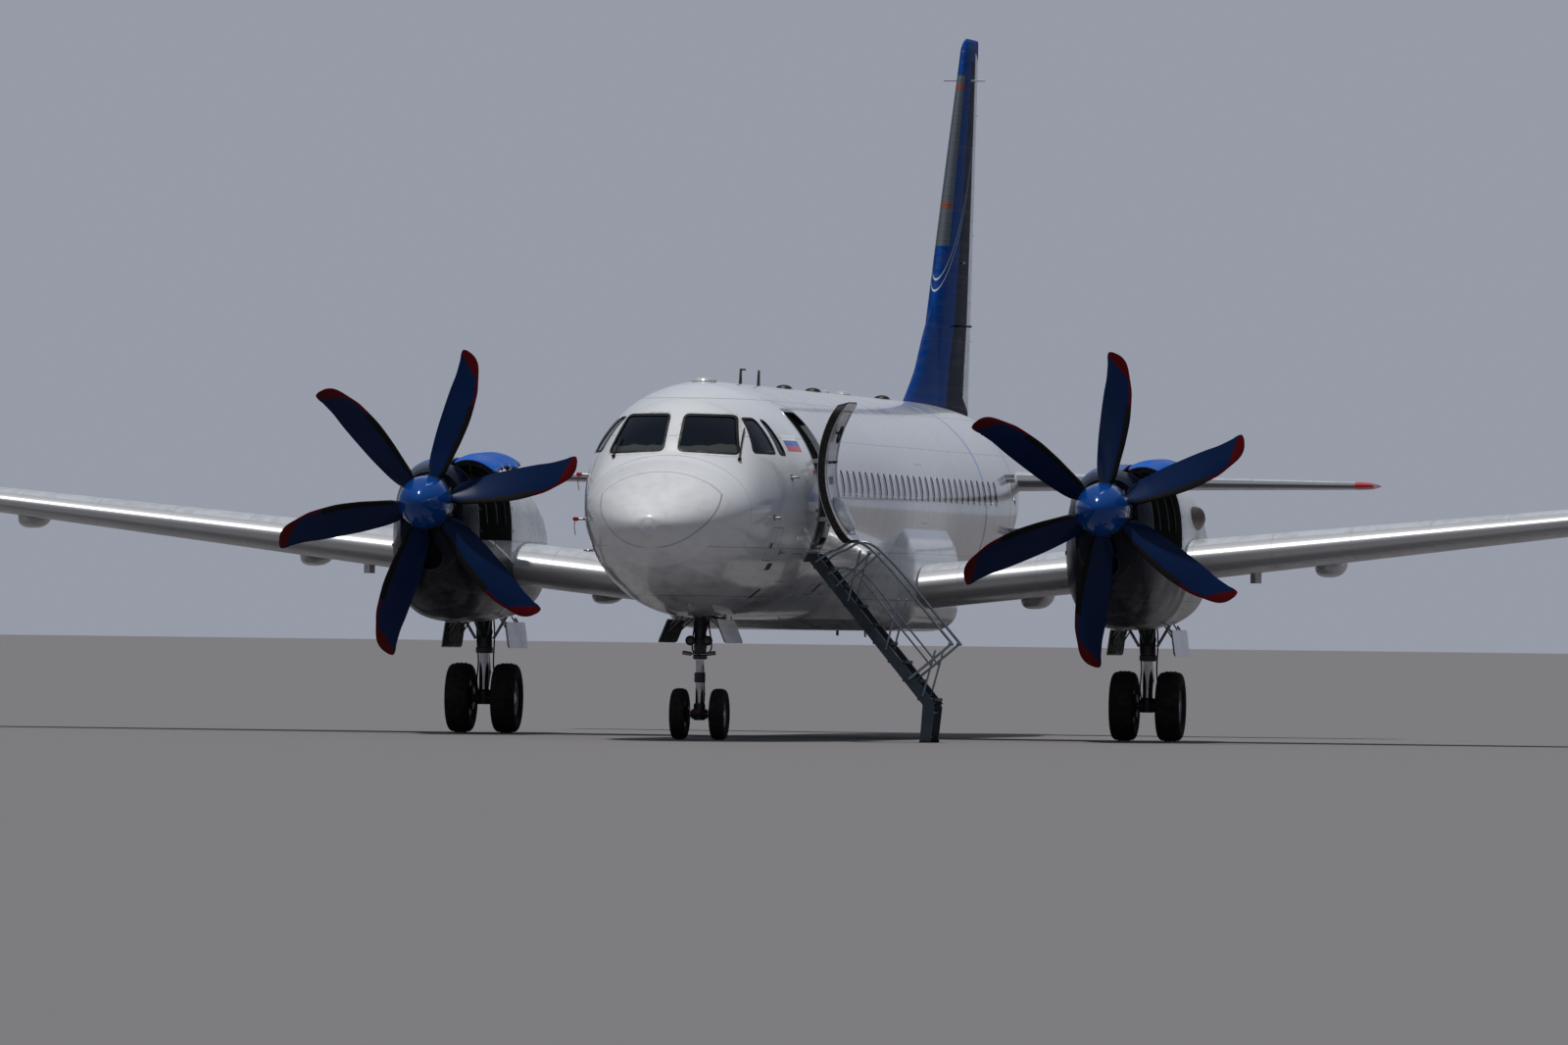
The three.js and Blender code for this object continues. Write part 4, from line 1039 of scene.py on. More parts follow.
LOOKS = {
    "fuselage": fuselage_look(),
    "radome": gloss_paint("radome_paint", (0.80, 0.81, 0.84), rough=0.28, seam_pitch=9.0, amount=0.1),
    "white": gloss_paint("white_paint", WHITE, amount=0.3),
    "cowl": cowl_look(),
    "navy": gloss_paint("navy_paint", NAVY),
    "wing": wing_look(),
    "tailplane": tailplane_look(),
    "fin": fin_look(),
    "control": control_look("control_skin"),
    "rudder": control_look("rudder_skin", (0.66, 0.68, 0.71)),
    "blade": blade_look(),
    "spinner": spinner_look(),
    "rubber": rubber_look(),
    "glass": glass_look("cockpit_glass", (0.004, 0.008, 0.016), 0.80, hood=True),
    "cabin_glass": glass_look("cabin_window_glass", (0.022, 0.026, 0.034), 1.0, 0.08),
    "lamp": glass_look("lamp_glass", (0.70, 0.72, 0.74), 1.0, 0.08),
    "headlamp": glass_look("headlamp_glass", (0.10, 0.105, 0.112), 1.0, 0.06),
    "red_lamp": glass_look("red_lamp", (0.55, 0.01, 0.01), 1.0, 0.1),
    "green_lamp": glass_look("green_lamp", (0.01, 0.35, 0.08), 1.0, 0.1),
    "seal": plain("seal_rubber", (0.012, 0.012, 0.013), 0.6, bump=0.0008, grime=0.2),
    "lining": lining_look(),
    "trim": plain("cockpit_trim", (0.22, 0.27, 0.26), 0.6, bump=0.0005),
    "hood": plain("glare_shield", (0.30, 0.34, 0.31), 0.7, bump=0.0006, grime=0.1),
    "fabric": plain("seat_fabric", (0.10, 0.13, 0.20), 0.85, scale=14.0, bump=0.0015),
    "steel": plain("polished_steel", (0.72, 0.73, 0.75), 0.22, metal=1.0, grime=0.12),
    "metal": plain("bare_metal", (0.50, 0.51, 0.53), 0.38, metal=0.85),
    "dark_metal": plain("dark_metal", (0.055, 0.060, 0.068), 0.45, metal=0.3),
    "gear": plain("gear_paint", (0.085, 0.095, 0.108), 0.42, metal=0.15, coat=0.2),
    "wheel": plain("wheel_metal", (0.42, 0.43, 0.45), 0.36, metal=0.6),
    "hot_metal": plain("exhaust_metal", (0.17, 0.13, 0.11), 0.42, metal=0.9),
    "engine": plain("engine_casing", (0.16, 0.165, 0.17), 0.42, metal=0.75),
    "primer": plain("bay_primer", (0.045, 0.055, 0.050), 0.6, bump=0.0008),
    "hose": ribbed("hose_rubber", (0.02, 0.02, 0.022), 0.6, 0.012),
    "stair": plain("stair_frame", (0.060, 0.085, 0.11), 0.4, metal=0.35, coat=0.2),
    "tread": ribbed("stair_tread", (0.20, 0.22, 0.24), 0.5, 0.04, metal=0.6),
    "rail": plain("stair_rail", (0.34, 0.38, 0.43), 0.32, metal=0.8, grime=0.1),
    "red": plain("red_cover", (0.50, 0.02, 0.02), 0.6, grime=0.15),
    "dark": plain("dark_plastic", (0.02, 0.021, 0.024), 0.45),
    "aerial": plain("aerial_white", (0.55, 0.57, 0.60), 0.4, coat=0.3),
}


def piece(name, body, slot, *looks):
    return Piece(name, body, slot, *[LOOKS[look] for look in looks])


# Fuselage pieces
GAP = 0.3
COCKPIT_END, ENTRY_END, REAR_START = 3200, 5300, 19600
COCKPIT_WALL, CABIN_WALL = 30, 60
SKIN_PITCH = 70
# Half width and height that any cutting box may reach to
WIDE, TALL = 1500, 4500
PASSAGE = {"half": 330, "from": 3090, "to": 3310, "high": 4030}


def radome_region(shift):
    front, (top_at, top), (knee_at, knee), (low_at, low) = (
        RADOME_SEAM[key] for key in ("front", "top", "knee", "low")
    )
    low -= shift
    outline = [
        (front, top), (top_at + shift, top), (knee_at + shift, knee), (low_at + shift, low), (front, low)
    ]
    return side_prism(outline, -WIDE, WIDE)


def lined(body, depth):
    """Gives a hull section's faces below a depth under the skin its second look."""
    return body.painted_where(lambda x, y, z: depth_in_hull(x, y, z) > depth, 1)


def passage():
    """The way between the flight deck and the entrance."""
    half = PASSAGE["half"]
    low, high = (-half, station(PASSAGE["from"]), FLOOR_Z), (half, station(PASSAGE["to"]), PASSAGE["high"])
    return block(low, high)


FRONT_PANE = [[88, 3440], [785, 3405], [650, 3872], [85, 3880]]
SIDE_PANES = [
    [[2130, 3430], [2740, 3425], [2840, 3845], [2560, 3845]],
    [[2850, 3420], [3080, 3410], [3080, 3830], [2960, 3830]],
]
PANE_CORNER = 60


def grown(outline, by):
    """An outline moved outward by a distance, or inward where it is negative."""
    p = np.asarray(outline, float)
    along = np.roll(p, -1, 0) - np.roll(p, 1, 0)
    along /= np.maximum(np.linalg.norm(along, axis=1), 1e-9)[:, None]
    area = (p[:, 0] * np.roll(p[:, 1], -1) - np.roll(p[:, 0], -1) * p[:, 1]).sum()
    return p + math.copysign(by, by * area) * np.stack([along[:, 1], -along[:, 0]], -1)


def on_side(outline, depth):
    """Points of a (station, height) outline on the port skin, or a depth inside it."""
    at, z = np.asarray(outline).T
    return np.stack([skin_x(at, z, depth), station(at), z], -1)


def on_front(outline, depth):
    """Points of an (x, height) outline on the windscreen, or a depth inside it."""
    x, z = np.asarray(outline).T
    return np.stack([x, station(skin_station(x, z, depth)), z], -1)


def stepped(outline):
    """The outline with points along its long edges too, so that it can follow a curved skin."""
    outline = np.asarray(outline, float)
    points = []
    for here, there in zip(outline, np.roll(outline, -1, 0)):
        count = max(1, math.ceil(np.linalg.norm(there - here) / SKIN_PITCH))
        points += [here + (there - here) * i / count for i in range(count)]
    return np.array(points)


def skin_panel(place, outline, outer, inner, steps=10, look=0):
    """A panel that follows the skin between two depths."""
    outline = stepped(outline)
    middle = outline.mean(0)
    shares = np.linspace(0.03, 1, steps)
    rings = [place(middle + (outline - middle) * t, outer) for t in shares]
    rings += [place(middle + (outline - middle) * t, inner) for t in shares[::-1]]
    return loft(rings, look)


def skin_band(place, outline, inside, outside, outer, inner, look=0):
    """A band round an outline, between two distances from it and two depths."""
    outline = stepped(outline)
    near, far = grown(outline, inside), grown(outline, outside)
    rings = [place(near, outer), place(far, outer), place(far, inner), place(near, inner)]
    return loft(rings, look, wrap=True)


def side_prism(outline, low=-1600, high=1600):
    at, z = np.asarray(outline).T
    return prism("yz", np.stack([station(at), z], -1), low, high)


def add_cockpit():
    nose = hull(0, COCKPIT_END - GAP)
    radome = piece("radome_shell", "airframe", "white_paint", "radome", "dark", "steel")
    radome.add(common(nose, radome_region(0)))
    radome.done("radome", normals=hull_normals)

    shell = piece("cockpit_shell", "airframe", "white_paint", "fuselage", "trim", "seal", "steel")
    room = common(
        hull(1500, 3120, COCKPIT_WALL),
        block((-WIDE, station(1400), FLOOR_Z), (WIDE, station(COCKPIT_END), TALL)),
    )
    panes = [rounded(FRONT_PANE, PANE_CORNER), rounded([(-x, z) for x, z in FRONT_PANE], PANE_CORNER)]
    tools = [prism("xz", pane, station(1200), station(2600)) for pane in panes]
    side_panes = [rounded(pane, PANE_CORNER) for pane in SIDE_PANES]
    tools += [side_prism(pane) for pane in side_panes]
    body = lined(cut(nose, radome_region(GAP), room, passage(), *tools), 26)
    body = body.painted_where(lambda x, y, z: between_depths(x, y, z, 3, 26) & (z > 3350), 2)
    shell.add(body)
    shell.add(turned([(60, 1490), (70, 1482), (70, 1640)], 32, "z", 3).shifted(y=station(2650)))
    shell.done("cockpit_section", normals=hull_normals)

    glass = piece("cockpit_panes", "airframe", "cockpit_glass", "glass")
    rims = piece("window_rims", "airframe", "gear_paint", "seal", "metal", "white")
    for pane in panes:
        glass.add(skin_panel(on_front, grown(pane, 4), 9, 15))
        rims.add(skin_band(on_front, pane, -16, 12, -2.0, 9), 0)
        rims.add(skin_band(on_front, pane, 12, 34, -3.0, 5), 2)
    for pane in side_panes:
        for side in (1, -1):
            glass.add(skin_panel(on_side, grown(pane, 4), 9, 15).sided(side))
            rims.add(skin_band(on_side, pane, -14, 10, -2.0, 9).sided(side), 0)
    # Wipers, standing off the outer ends of the front panes
    for side, foot, tip in ((1, (800, 3350), (770, 3720)), (-1, (705, 3370), (660, 3610))):
        heights = np.linspace(foot[1], tip[1], 9)
        spread = np.linspace(foot[0], tip[0], 9) * side
        path = on_front(np.stack([spread, heights], -1), -26)
        rims.add(tube(path, 9, 8), 0)
        rims.add(tube(path[2:] + np.array([0, 12, 0]), [5] * 7, 6), 0)
        rims.add(rod(path[0] + np.array([0, 45, 0]), path[0] - np.array([0, 12, 0]), 20), 0)
    glass.done("cockpit_glazing", normals=hull_normals)
    rims.done()


def add_flight_deck():
    """Hooded instrument panel, pedestal, control wheels and two seats."""
    deck = piece(
        "flight_deck_fittings", "airframe", "cabin_trim", "trim", "hood", "fabric", "dark", "metal", "lamp"
    )
    deck.add(block((-690, station(1900), FLOOR_Z + 6), (690, station(2995), FLOOR_Z + 40), 4))
    across = np.linspace(-740, 740, 40)
    # Two humps of the hood over the instruments show above the window sills
    top = 3395 + 165 * np.exp(-((np.abs(across) - 400) / 260.0) ** 4) + 12 * np.sin(across / 55)
    rows = []
    for at, drop in ((1830, 60), (1870, 12), (1960, 0), (2080, 4), (2120, 26)):
        reach = np.minimum(np.abs(across), skin_x(at, 3380, 70)) * np.sign(across)
        rows.append(np.stack([reach, np.full(40, station(at)), top - drop], -1))
    lower = [row - np.array([0, 0, 34]) for row in rows]
    deck.add(slab(rows, lower), 1)
    face = [[-735, 2700], [735, 2700], [735, 3380], [-735, 3380]]
    deck.add(prism("xz", rounded(face, 90), station(1985), station(2040)), 3)
    for x in (-520, -300, -110, 110, 300, 520):
        for low in (3110, 2900):
            screen = rectangle(x - 88, x + 88, low, low + 170)
            deck.add(prism("xz", rounded(screen, 16), station(2038), station(2050)), 5 if low > 3000 else 4)
    deck.add(block((-155, station(1990), FLOOR_Z + 12), (155, station(2500), 2880), 24), 0)
    for i, (x, at) in enumerate(((-80, 2120), (0, 2140), (80, 2120), (-40, 2330), (50, 2330))):
        deck.add(rod((x, station(at), 2870), (x, station(at) + 12, 2985 - 12 * i), 11), 3)
    for x in (-430, 430):
        deck.add(block((x - 88, station(2505), FLOOR_Z + 12), (x + 88, station(2715), 2640), 14), 4)
        deck.add(block((x - 225, station(2425), 2625), (x + 225, station(2855), 2745), 48, segments=4), 2)
        back = [[2785, 2715], [2862, 2700], [2885, 3380], [2820, 3420], [2780, 3380]]
        outline = rounded([(station(at), z) for at, z in back], 26)
        deck.add(prism("yz", outline, x - 205, x + 205), 2)
        deck.add(block((x - 105, station(2800), 3400), (x + 105, station(2880), 3560), 34, segments=4), 2)
        for arm in (x - 232, x + 232):
            deck.add(block((arm - 24, station(2600), 2850), (arm + 24, station(2830), 2900), 16), 3)
        column = smooth_path([(x, station(2130), 2480), (x, station(2180), 2800), (x, station(2270), 3040)])
        deck.add(tube(column, 19, 12), 3)
        half = ((-150, 2285, 3150), (-130, 2285, 3050))
        horns = [*half, (0, 2280, 3030), *[(-off, at, z) for off, at, z in half[::-1]]]
        deck.add(tube(smooth_path([(x + off, station(at), z) for off, at, z in horns]), 15, 10), 3)
    # Switch panel overhead
    panel = [
        [(x, station(at), section(at)[1] - 95 - abs(x) * 0.1) for x in (-260, -130, 130, 260)]
        for at in np.linspace(2450, 3000, 6)
    ]
    deck.add(slab(panel, np.array(panel) - np.array([0, 0, 45])), 3)
    deck.done("flight_deck")


# Doors: all hang at their front edge on a leaning axis
FRONT_DOOR = {"from": 4170, "to": 4980, "low": 2300, "high": 3945}
REAR_DOOR = {"from": 20400, "to": 21200, "low": 2320, "high": 3900}
DOOR_CORNER = 150
HINGE_LEAN, HINGE_HEIGHT, STAND_OFF = -0.13, 3100, 75
EDGE_GAP = {"hinge": 6, "free": 37, "top": 15, "bottom": 12}
KNUCKLE_HEIGHTS, KNUCKLE_LENGTH = (2600, 3300), 50


def doorway_outline(door):
    return rounded(rectangle(door["from"], door["to"], door["low"], door["high"]), DOOR_CORNER, 7)


def door_outline(door):
    panel = rectangle(
        door["from"] + EDGE_GAP["hinge"],
        door["to"] - EDGE_GAP["free"],
        door["low"] + EDGE_GAP["bottom"],
        door["high"] - EDGE_GAP["top"],
    )
    return rounded(panel, DOOR_CORNER - 15, 7)


def hinge_x(door, z):
    stand = float(skin_x(door["from"], HINGE_HEIGHT)) + STAND_OFF
    return stand + HINGE_LEAN * (z - HINGE_HEIGHT)


def knuckle(door, z, look, own):
    """One barrel on the axis with its arm: the door's own, or the fuselage's."""
    y = station(door["from"] - 20)
    half = KNUCKLE_LENGTH / 2
    barrel = rod((hinge_x(door, z - half), y, z - half), (hinge_x(door, z + half), y, z + half), 18, 16)
    skin = float(skin_x(door["from"], z))
    if own:
        arm = block((skin - 20, y + 8, z - half), (hinge_x(door, z) + 5, y + 76, z + half), 6)
        arm = cut(arm, block((skin - 40, y - 40, z - 60), (skin + 20, y + 26, z + 60)))
    else:
        arm = block((skin - 25, y - 40, z - half), (hinge_x(door, z) + 5, y + 12, z + half), 6)
    return joined(barrel, arm).painted(look)


def fixed_knuckles(door, look):
    return joined(*[knuckle(door, z + KNUCKLE_LENGTH + 10, look, False) for z in KNUCKLE_HEIGHTS])


def plain_door(door):
    """Skin 0, seal 1, lining 2, metal 3, dark 4."""
    outline = door_outline(door)
    parts = [
        skin_panel(on_side, outline, 0, CABIN_WALL - 6, 16, 0),
        skin_panel(on_side, grown(outline, -60), CABIN_WALL - 6, CABIN_WALL, 12, 2),
        skin_band(on_side, outline, -40, -2, CABIN_WALL - 8, CABIN_WALL - 1, 1),
    ]
    parts += [knuckle(door, z, 3, True) for z in KNUCKLE_HEIGHTS]
    middle = (door["from"] + door["to"]) / 2 - 15
    grip = rounded(rectangle(middle + 190, middle + 320, 3010, 3060), 14)
    parts.append(skin_panel(on_side, grip, -3, 4, 4, 4))
    parts.append(skin_band(on_side, grip, 0, 10, -2, 4, 3))
    return joined(*parts)


def add_rear_fuselage():
    shell = piece("rear_fuselage_shell", "airframe", "white_paint", "fuselage", "lining", "seal", "metal")
    doorway = doorway_outline(REAR_DOOR)
    room_from, room_to = 19900, 24200
    room = common(
        hull(room_from, room_to, CABIN_WALL),
        block((-WIDE, station(room_from) - 99, FLOOR_Z + 20), (WIDE, station(room_to) + 99, TALL)),
    )
    openings = [side_prism(doorway, 500, 1600), side_prism(doorway, -1600, -500)]
    body = lined(cut(hull(REAR_START, LENGTH), room, *openings), 56)
    body = body.painted_where(
        lambda x, y, z: between_depths(x, y, z, 4, 56) & (y < station(24000)), 2
    )
    shell.add(body)
    for side in (1, -1):
        shell.add(skin_band(on_side, doorway, -52, 8, 66, 78).sided(side), 2)
        shell.add(fixed_knuckles(REAR_DOOR, 3).sided(side))
    shell.done("rear_fuselage", normals=hull_normals)
    for node, body_name, side in (
        ("passenger_door_rear", "rear_passenger_door", 1),
        ("service_door_rear", "rear_service_door", -1),
    ):
        door = piece(node + "_panel", body_name, "white_paint", "fuselage", "seal", "lining", "metal", "dark")
        door.add(plain_door(REAR_DOOR).sided(side))
        window = cabin_window((REAR_DOOR["from"] + REAR_DOOR["to"]) / 2 - 15, 3180, 90, 130)
        glass = piece(node + "_window", body_name, "cockpit_glass", "cabin_glass", "white")
        glass.add(skin_panel(on_side, window, -1.5, 3, 5).sided(side), 0)
        glass.add(skin_band(on_side, window, 0, 16, -4, 3).sided(side), 1)
        door.done(node, normals=hull_normals)
        glass.done()


def cabin_window(at, z, half_width, half_height):
    outline = rectangle(at - half_width, at + half_width, z - half_height, z + half_height)
    return rounded(outline, half_width * 0.85, 5)


WINDOW_ROW = {"first": 5950, "pitch": 503, "count": 27, "height": 3115, "half_width": 112, "half_height": 155}


def add_centre_fuselage():
    tube_piece = piece("centre_fuselage_shell", "airframe", "white_paint", "fuselage", "seal")
    glass = piece("cabin_windows", "airframe", "cockpit_glass", "cabin_glass", "white", "seal")
    pockets = []
    row = WINDOW_ROW
    for i in range(row["count"]):
        at = row["first"] + row["pitch"] * i
        outline = cabin_window(at, row["height"], row["half_width"], row["half_height"])
        for side in (1, -1):
            pockets.append(side_prism(outline, 1345, 1500).sided(side))
            glass.add(skin_panel(on_side, grown(outline, 2), 4, 11, 4).sided(side), 0)
            glass.add(skin_band(on_side, outline, 0, 15, -1.2, 4).sided(side), 1)
            glass.add(skin_band(on_side, outline, -7, 1, 2, 6).sided(side), 2)
    tube_piece.add(lined(cut(hull(ENTRY_END, REAR_START - GAP), joined(*pockets)), 6))
    tube_piece.done("centre_fuselage", normals=hull_normals)
    glass.done(normals=hull_normals)


NOSE_BAY = {"half": 250, "from": 3330, "to": 4700, "low": 1300, "top": 1900}


def add_entry_section():
    shell = piece(
        "entry_section_shell", "airframe", "white_paint",
        "fuselage", "lining", "seal", "primer", "metal", "dark", "fabric", "lamp",
    )
    doorway = doorway_outline(FRONT_DOOR)
    room_from, room_to = COCKPIT_END + CABIN_WALL, ENTRY_END - 100
    room = common(
        hull(room_from, room_to, CABIN_WALL),
        block((-WIDE, station(room_from) - 99, FLOOR_Z), (WIDE, station(room_to) + 99, TALL)),
    )
    bay = block(
        (-NOSE_BAY["half"], station(NOSE_BAY["from"]), NOSE_BAY["low"]),
        (NOSE_BAY["half"], station(NOSE_BAY["to"]), NOSE_BAY["top"]),
    )
    openings = [passage(), bay, side_prism(doorway, 500, 1600)]
    body = lined(cut(hull(COCKPIT_END, ENTRY_END - GAP), room, *openings), 50)
    body = body.painted_where(
        lambda x, y, z: between_depths(x, y, z, 4, 57) & (z > 2200) & (x > 500), 2
    )
    body = body.painted_where(
        lambda x, y, z: (np.abs(x) < 251) & (z < 1901) & (depth_in_hull(x, y, z) > 2), 3
    )
    shell.add(body)
    shell.add(skin_band(on_side, doorway, -48, 6, 106, 116), 2)
    shell.add(skin_band(on_side, doorway, 4, 46, -2.5, 2), 4)
    shell.add(fixed_knuckles(FRONT_DOOR, 4))
    # Sill plate, curtain behind, folding seat and ceiling lamp in the entrance
    shell.add(block((1120, station(4200), 2266), (1372, station(4950), 2282), 4), 4)
    across = np.linspace(-330, 330, 45)
    wave = station(5172) + 22 * np.sin(across / 18)
    curtain = [np.stack([across, wave, np.full(45, z)], -1) for z in np.linspace(2290, 4040, 8)]
    behind = [row + np.array([0, 8, 0]) for row in curtain]
    shell.add(slab(curtain, behind), 6)
    for x in (-370, 370):
        shell.add(block((x - 30, station(5140), 2280), (x + 30, station(5190), 4080), 8), 1)
    shell.add(block((-380, station(5140), 4060), (380, station(5190), 4120), 8), 1)
    shell.add(block((-900, station(3262), 2700), (-480, station(3320), 3350), 20), 6)
    shell.add(block((-900, station(3270), 2690), (-480, station(3560), 2750), 20), 6)
    shell.add(block((-130, station(3900), 4195), (130, station(4500), 4215), 6), 7)
    shell.done("entry_section", normals=hull_normals)


def add_front_door():
    door = piece(
        "passenger_door_front_panel", "front_passenger_door", "white_paint",
        "white", "seal", "white", "metal", "dark",
    )
    outline = door_outline(FRONT_DOOR)
    middle = (FRONT_DOOR["from"] + FRONT_DOOR["to"]) / 2 - 15
    parts = [
        skin_panel(on_side, outline, 0, 5, 18, 0),
        skin_panel(on_side, grown(outline, -0.5), 5, 88, 18, 1),
        skin_panel(on_side, grown(outline, -14), 84, 100, 16, 2),
        skin_band(on_side, grown(outline, -95), -6, 6, 98, 104, 3),
    ]
    # Round housing at the foot of the inner face
    angles = around(40)
    disc = np.stack([middle + 215 * np.cos(angles), 2655 + 215 * np.sin(angles)], -1)
    rings = [on_side(disc, 96)]
    for share, depth in ((1.0, 150), (0.97, 172), (0.9, 186), (0.75, 194), (0.4, 196), (0.05, 196)):
        rings.append(on_side(disc.mean(0) + (disc - disc.mean(0)) * share, depth))
    parts.append(loft(rings, 2))
    parts.append(skin_band(on_side, disc, 0, 12, 96, 108, 3))
    # Ring handle, bar handle and a locking lever on the lining

    def on_ring(a, depth):
        return on_side([(middle + 70 * math.cos(a), 3590 + 85 * math.sin(a))], depth)[0]

    parts.append(tube([on_ring(a, 136) for a in np.linspace(0, 2 * np.pi, 25)], 11, 8, 4))
    for a in (0.3, math.pi - 0.3):
        parts.append(rod(on_ring(a, 96), on_ring(a, 136), 10, 8, 4))
    reach = 150
    grip = [
        on_side([(middle + s, 3290)], 98 + 60 * (1 - (s / reach) ** 4))[0]
        for s in np.linspace(-reach, reach, 15)
    ]
    parts.append(tube(grip, 12, 8, 4))
    lever = rounded(rectangle(middle - 60, middle + 60, 3040, 3130), 20)
    parts.append(skin_panel(on_side, lever, 116, 98, 5, 3))
    parts += [knuckle(FRONT_DOOR, z, 3, True) for z in KNUCKLE_HEIGHTS]
    low = Vector((hinge_x(FRONT_DOOR, 0), station(FRONT_DOOR["from"] - 20), 0))
    axis = Vector((HINGE_LEAN, 0, 1)).normalized()
    door.add(joined(*parts).moved(about(low, -math.pi, axis)))
    door.done("passenger_door_front", sharp=28)


STAIR = {
    "sides": (4235, 4915),
    "top": (1310, 2215),
    "foot": (2770, 430),
    "toe": (2705, 10),
    "treads": 8,
    "rail": [(1345, 2150), (1600, 2298), (2000, 2325), (2940, 1280), (2985, 1190), (2930, 1120), (2500, 760)],
    "lower_rail": [(1500, 2010), (1800, 2050), (2330, 1440), (2760, 930)],
    "strut": [(2030, 2270), (1600, 1860)],
    # Share of the way down and height of each post
    "posts": ((0.3, 620), (0.62, 610), (0.93, 560)),
}


def add_airstair():
    stair = piece("airstair_frame", "airframe", "stair_metal", "stair", "tread", "rail", "dark")
    top, foot, toe = (np.array(STAIR[key], float) for key in ("top", "foot", "toe"))
    run = (foot - top) / np.linalg.norm(foot - top)
    out = np.array([-run[1], run[0]])
    for y in (station(at) for at in STAIR["sides"]):
        # Stringers are channels: a web with two flanges
        web = [top + out * 62, foot + out * 62, foot - out * 62, top - out * 62]
        stair.add(prism("xz", rounded(web, 24), y - 7, y + 7), 0)
        inward = 1 if y < station(4500) else -1
        for flange in (58, -58):
            a, b = top + out * flange, foot + out * flange
            outline = [a + out * 5, b + out * 5, b - out * 5, a - out * 5]
            stair.add(prism("xz", outline, min(y, y + inward * 40), max(y, y + inward * 40)), 0)
        leg = [(foot[0] - 96, 470), (foot[0] + 40, 440), (toe[0] + 62, 28), (toe[0] - 62, 28)]
        stair.add(prism("xz", rounded(leg, 22), y - 16, y + 16), 0)
        stair.add(rod((toe[0] - 70, y, 18), (toe[0] + 70, y, 18), 17, 12), 3)
        for key, steps, radius, sides in (("rail", 7, 16, 12), ("lower_rail", 6, 11, 10)):
            path = smooth_path([(x, y, z) for x, z in STAIR[key]], steps)
            stair.add(tube(path, radius, sides), 2)
        (x0, z0), (x1, z1) = STAIR["strut"]
        stair.add(rod((x0, y, z0), (x1, y, z1), 14), 2)
        for share, height in STAIR["posts"]:
            base = top + (foot - top) * share
            stair.add(rod((base[0], y, base[1]), (base[0] + 150, y, base[1] + height), 12), 2)
        stair.add(block((1150, y - 30, 2150), (1340, y + 30, 2250), 8), 0)
    y0, y1 = (station(at) for at in STAIR["sides"])
    for i in range(STAIR["treads"]):
        x, z = top + (foot - top) * (i + 0.6) / STAIR["treads"]
        stair.add(block((x - 95, y0 + 6, z - 14), (x + 110, y1 - 6, z + 12), 5), 1)
        stair.add(block((x + 96, y0 + 6, z - 22), (x + 114, y1 - 6, z + 15), 4), 3)
    stair.add(rod((toe[0], y0, 60), (toe[0], y1, 60), 15), 0)
    stair.add(rod((foot[0] - 10, y0, foot[1] - 70), (foot[0] - 10, y1, foot[1] - 70), 15), 0)
    stair.done("airstair")


# Aerofoils: half the thickness of a trailing edge, and the gap ahead of a control surface's nose
EDGE_HALF, NOSE_GAP = 4, 8
# How far aft, and how far to both sides, a cut for a control surface reaches
POCKET_AFT, POCKET_HALF = 2500, 1500
CHORD_STEPS = 34
SPAN_PITCH = 420
SURFACE_STEPS = 40


def foil_half(c):
    return 5 * (0.2969 * np.sqrt(c) - 0.126 * c - 0.3516 * c**2 + 0.2843 * c**3 - 0.1036 * c**4)


class Foil:
    """A wing-like surface from rows of span, leading edge, chord and thickness."""

    def __init__(self, rows, tip_from):
        self.rows = np.array(rows, float)
        self.tip_from = tip_from
        self.tip = curves(self.rows[self.rows[:, 0] >= tip_from])

    def row(self, span):
        """Leading edge, chord and thickness at a span: straight, then smooth round the tip."""
        span = np.asarray(span, float)
        straight = [np.interp(span, self.rows[:, 0], self.rows[:, k]) for k in (1, 2, 3)]
        return [np.where(span > self.tip_from, tip(span), line) for tip, line in zip(self.tip, straight)]

    def half(self, span, y):
        lead, chord, thick = self.row(span)
        share = np.clip((y - station(lead)) / chord, 0, 1)
        return foil_half(share) * chord * thick + EDGE_HALF * share

    def share(self, span, y):
        lead, chord, _ = self.row(span)
        return (y - station(lead)) / chord

    def spans(self):
        first, last = self.rows[0, 0], self.rows[-1, 0]
        even = np.arange(first, self.tip_from, SPAN_PITCH)
        return np.concatenate([even, np.linspace(self.tip_from, last, 9), self.rows[1:-1, 0]])

    def body(self, place, grow=0.0):
        shares = (1 + np.cos(np.pi * np.arange(CHORD_STEPS + 1) / CHORD_STEPS)) / 2
        rings = []
        for span in np.unique(self.spans()):
            lead, chord, thick = self.row(span)
            half = foil_half(shares) * chord * thick + EDGE_HALF * shares
            half = np.where(shares > 0, half + grow, 0)
            y = station(lead + shares * chord) + grow * (5 * shares - 4)
            over = [place(span, v, h) for v, h in zip(y, half)]
            under = [place(span, v, -h) for v, h in zip(y[:-1][::-1], half[:-1][::-1])]
            rings.append(over + under)
        return loft(rings)

    def hinge(self, span, share):
        """Span and place along the aircraft of a share of the chord."""
        lead, chord, _ = self.row(span)
        return np.array([span, float(station(lead + share * chord))])

    def trailing(self, span):
        return float(self.hinge(span, 1)[1])


def level(span, y, up):
    """Places a foil as a wing."""
    return (span, y, up)


def upright(z, y, out):
    """Places a foil as a fin."""
    return (out, y, z)


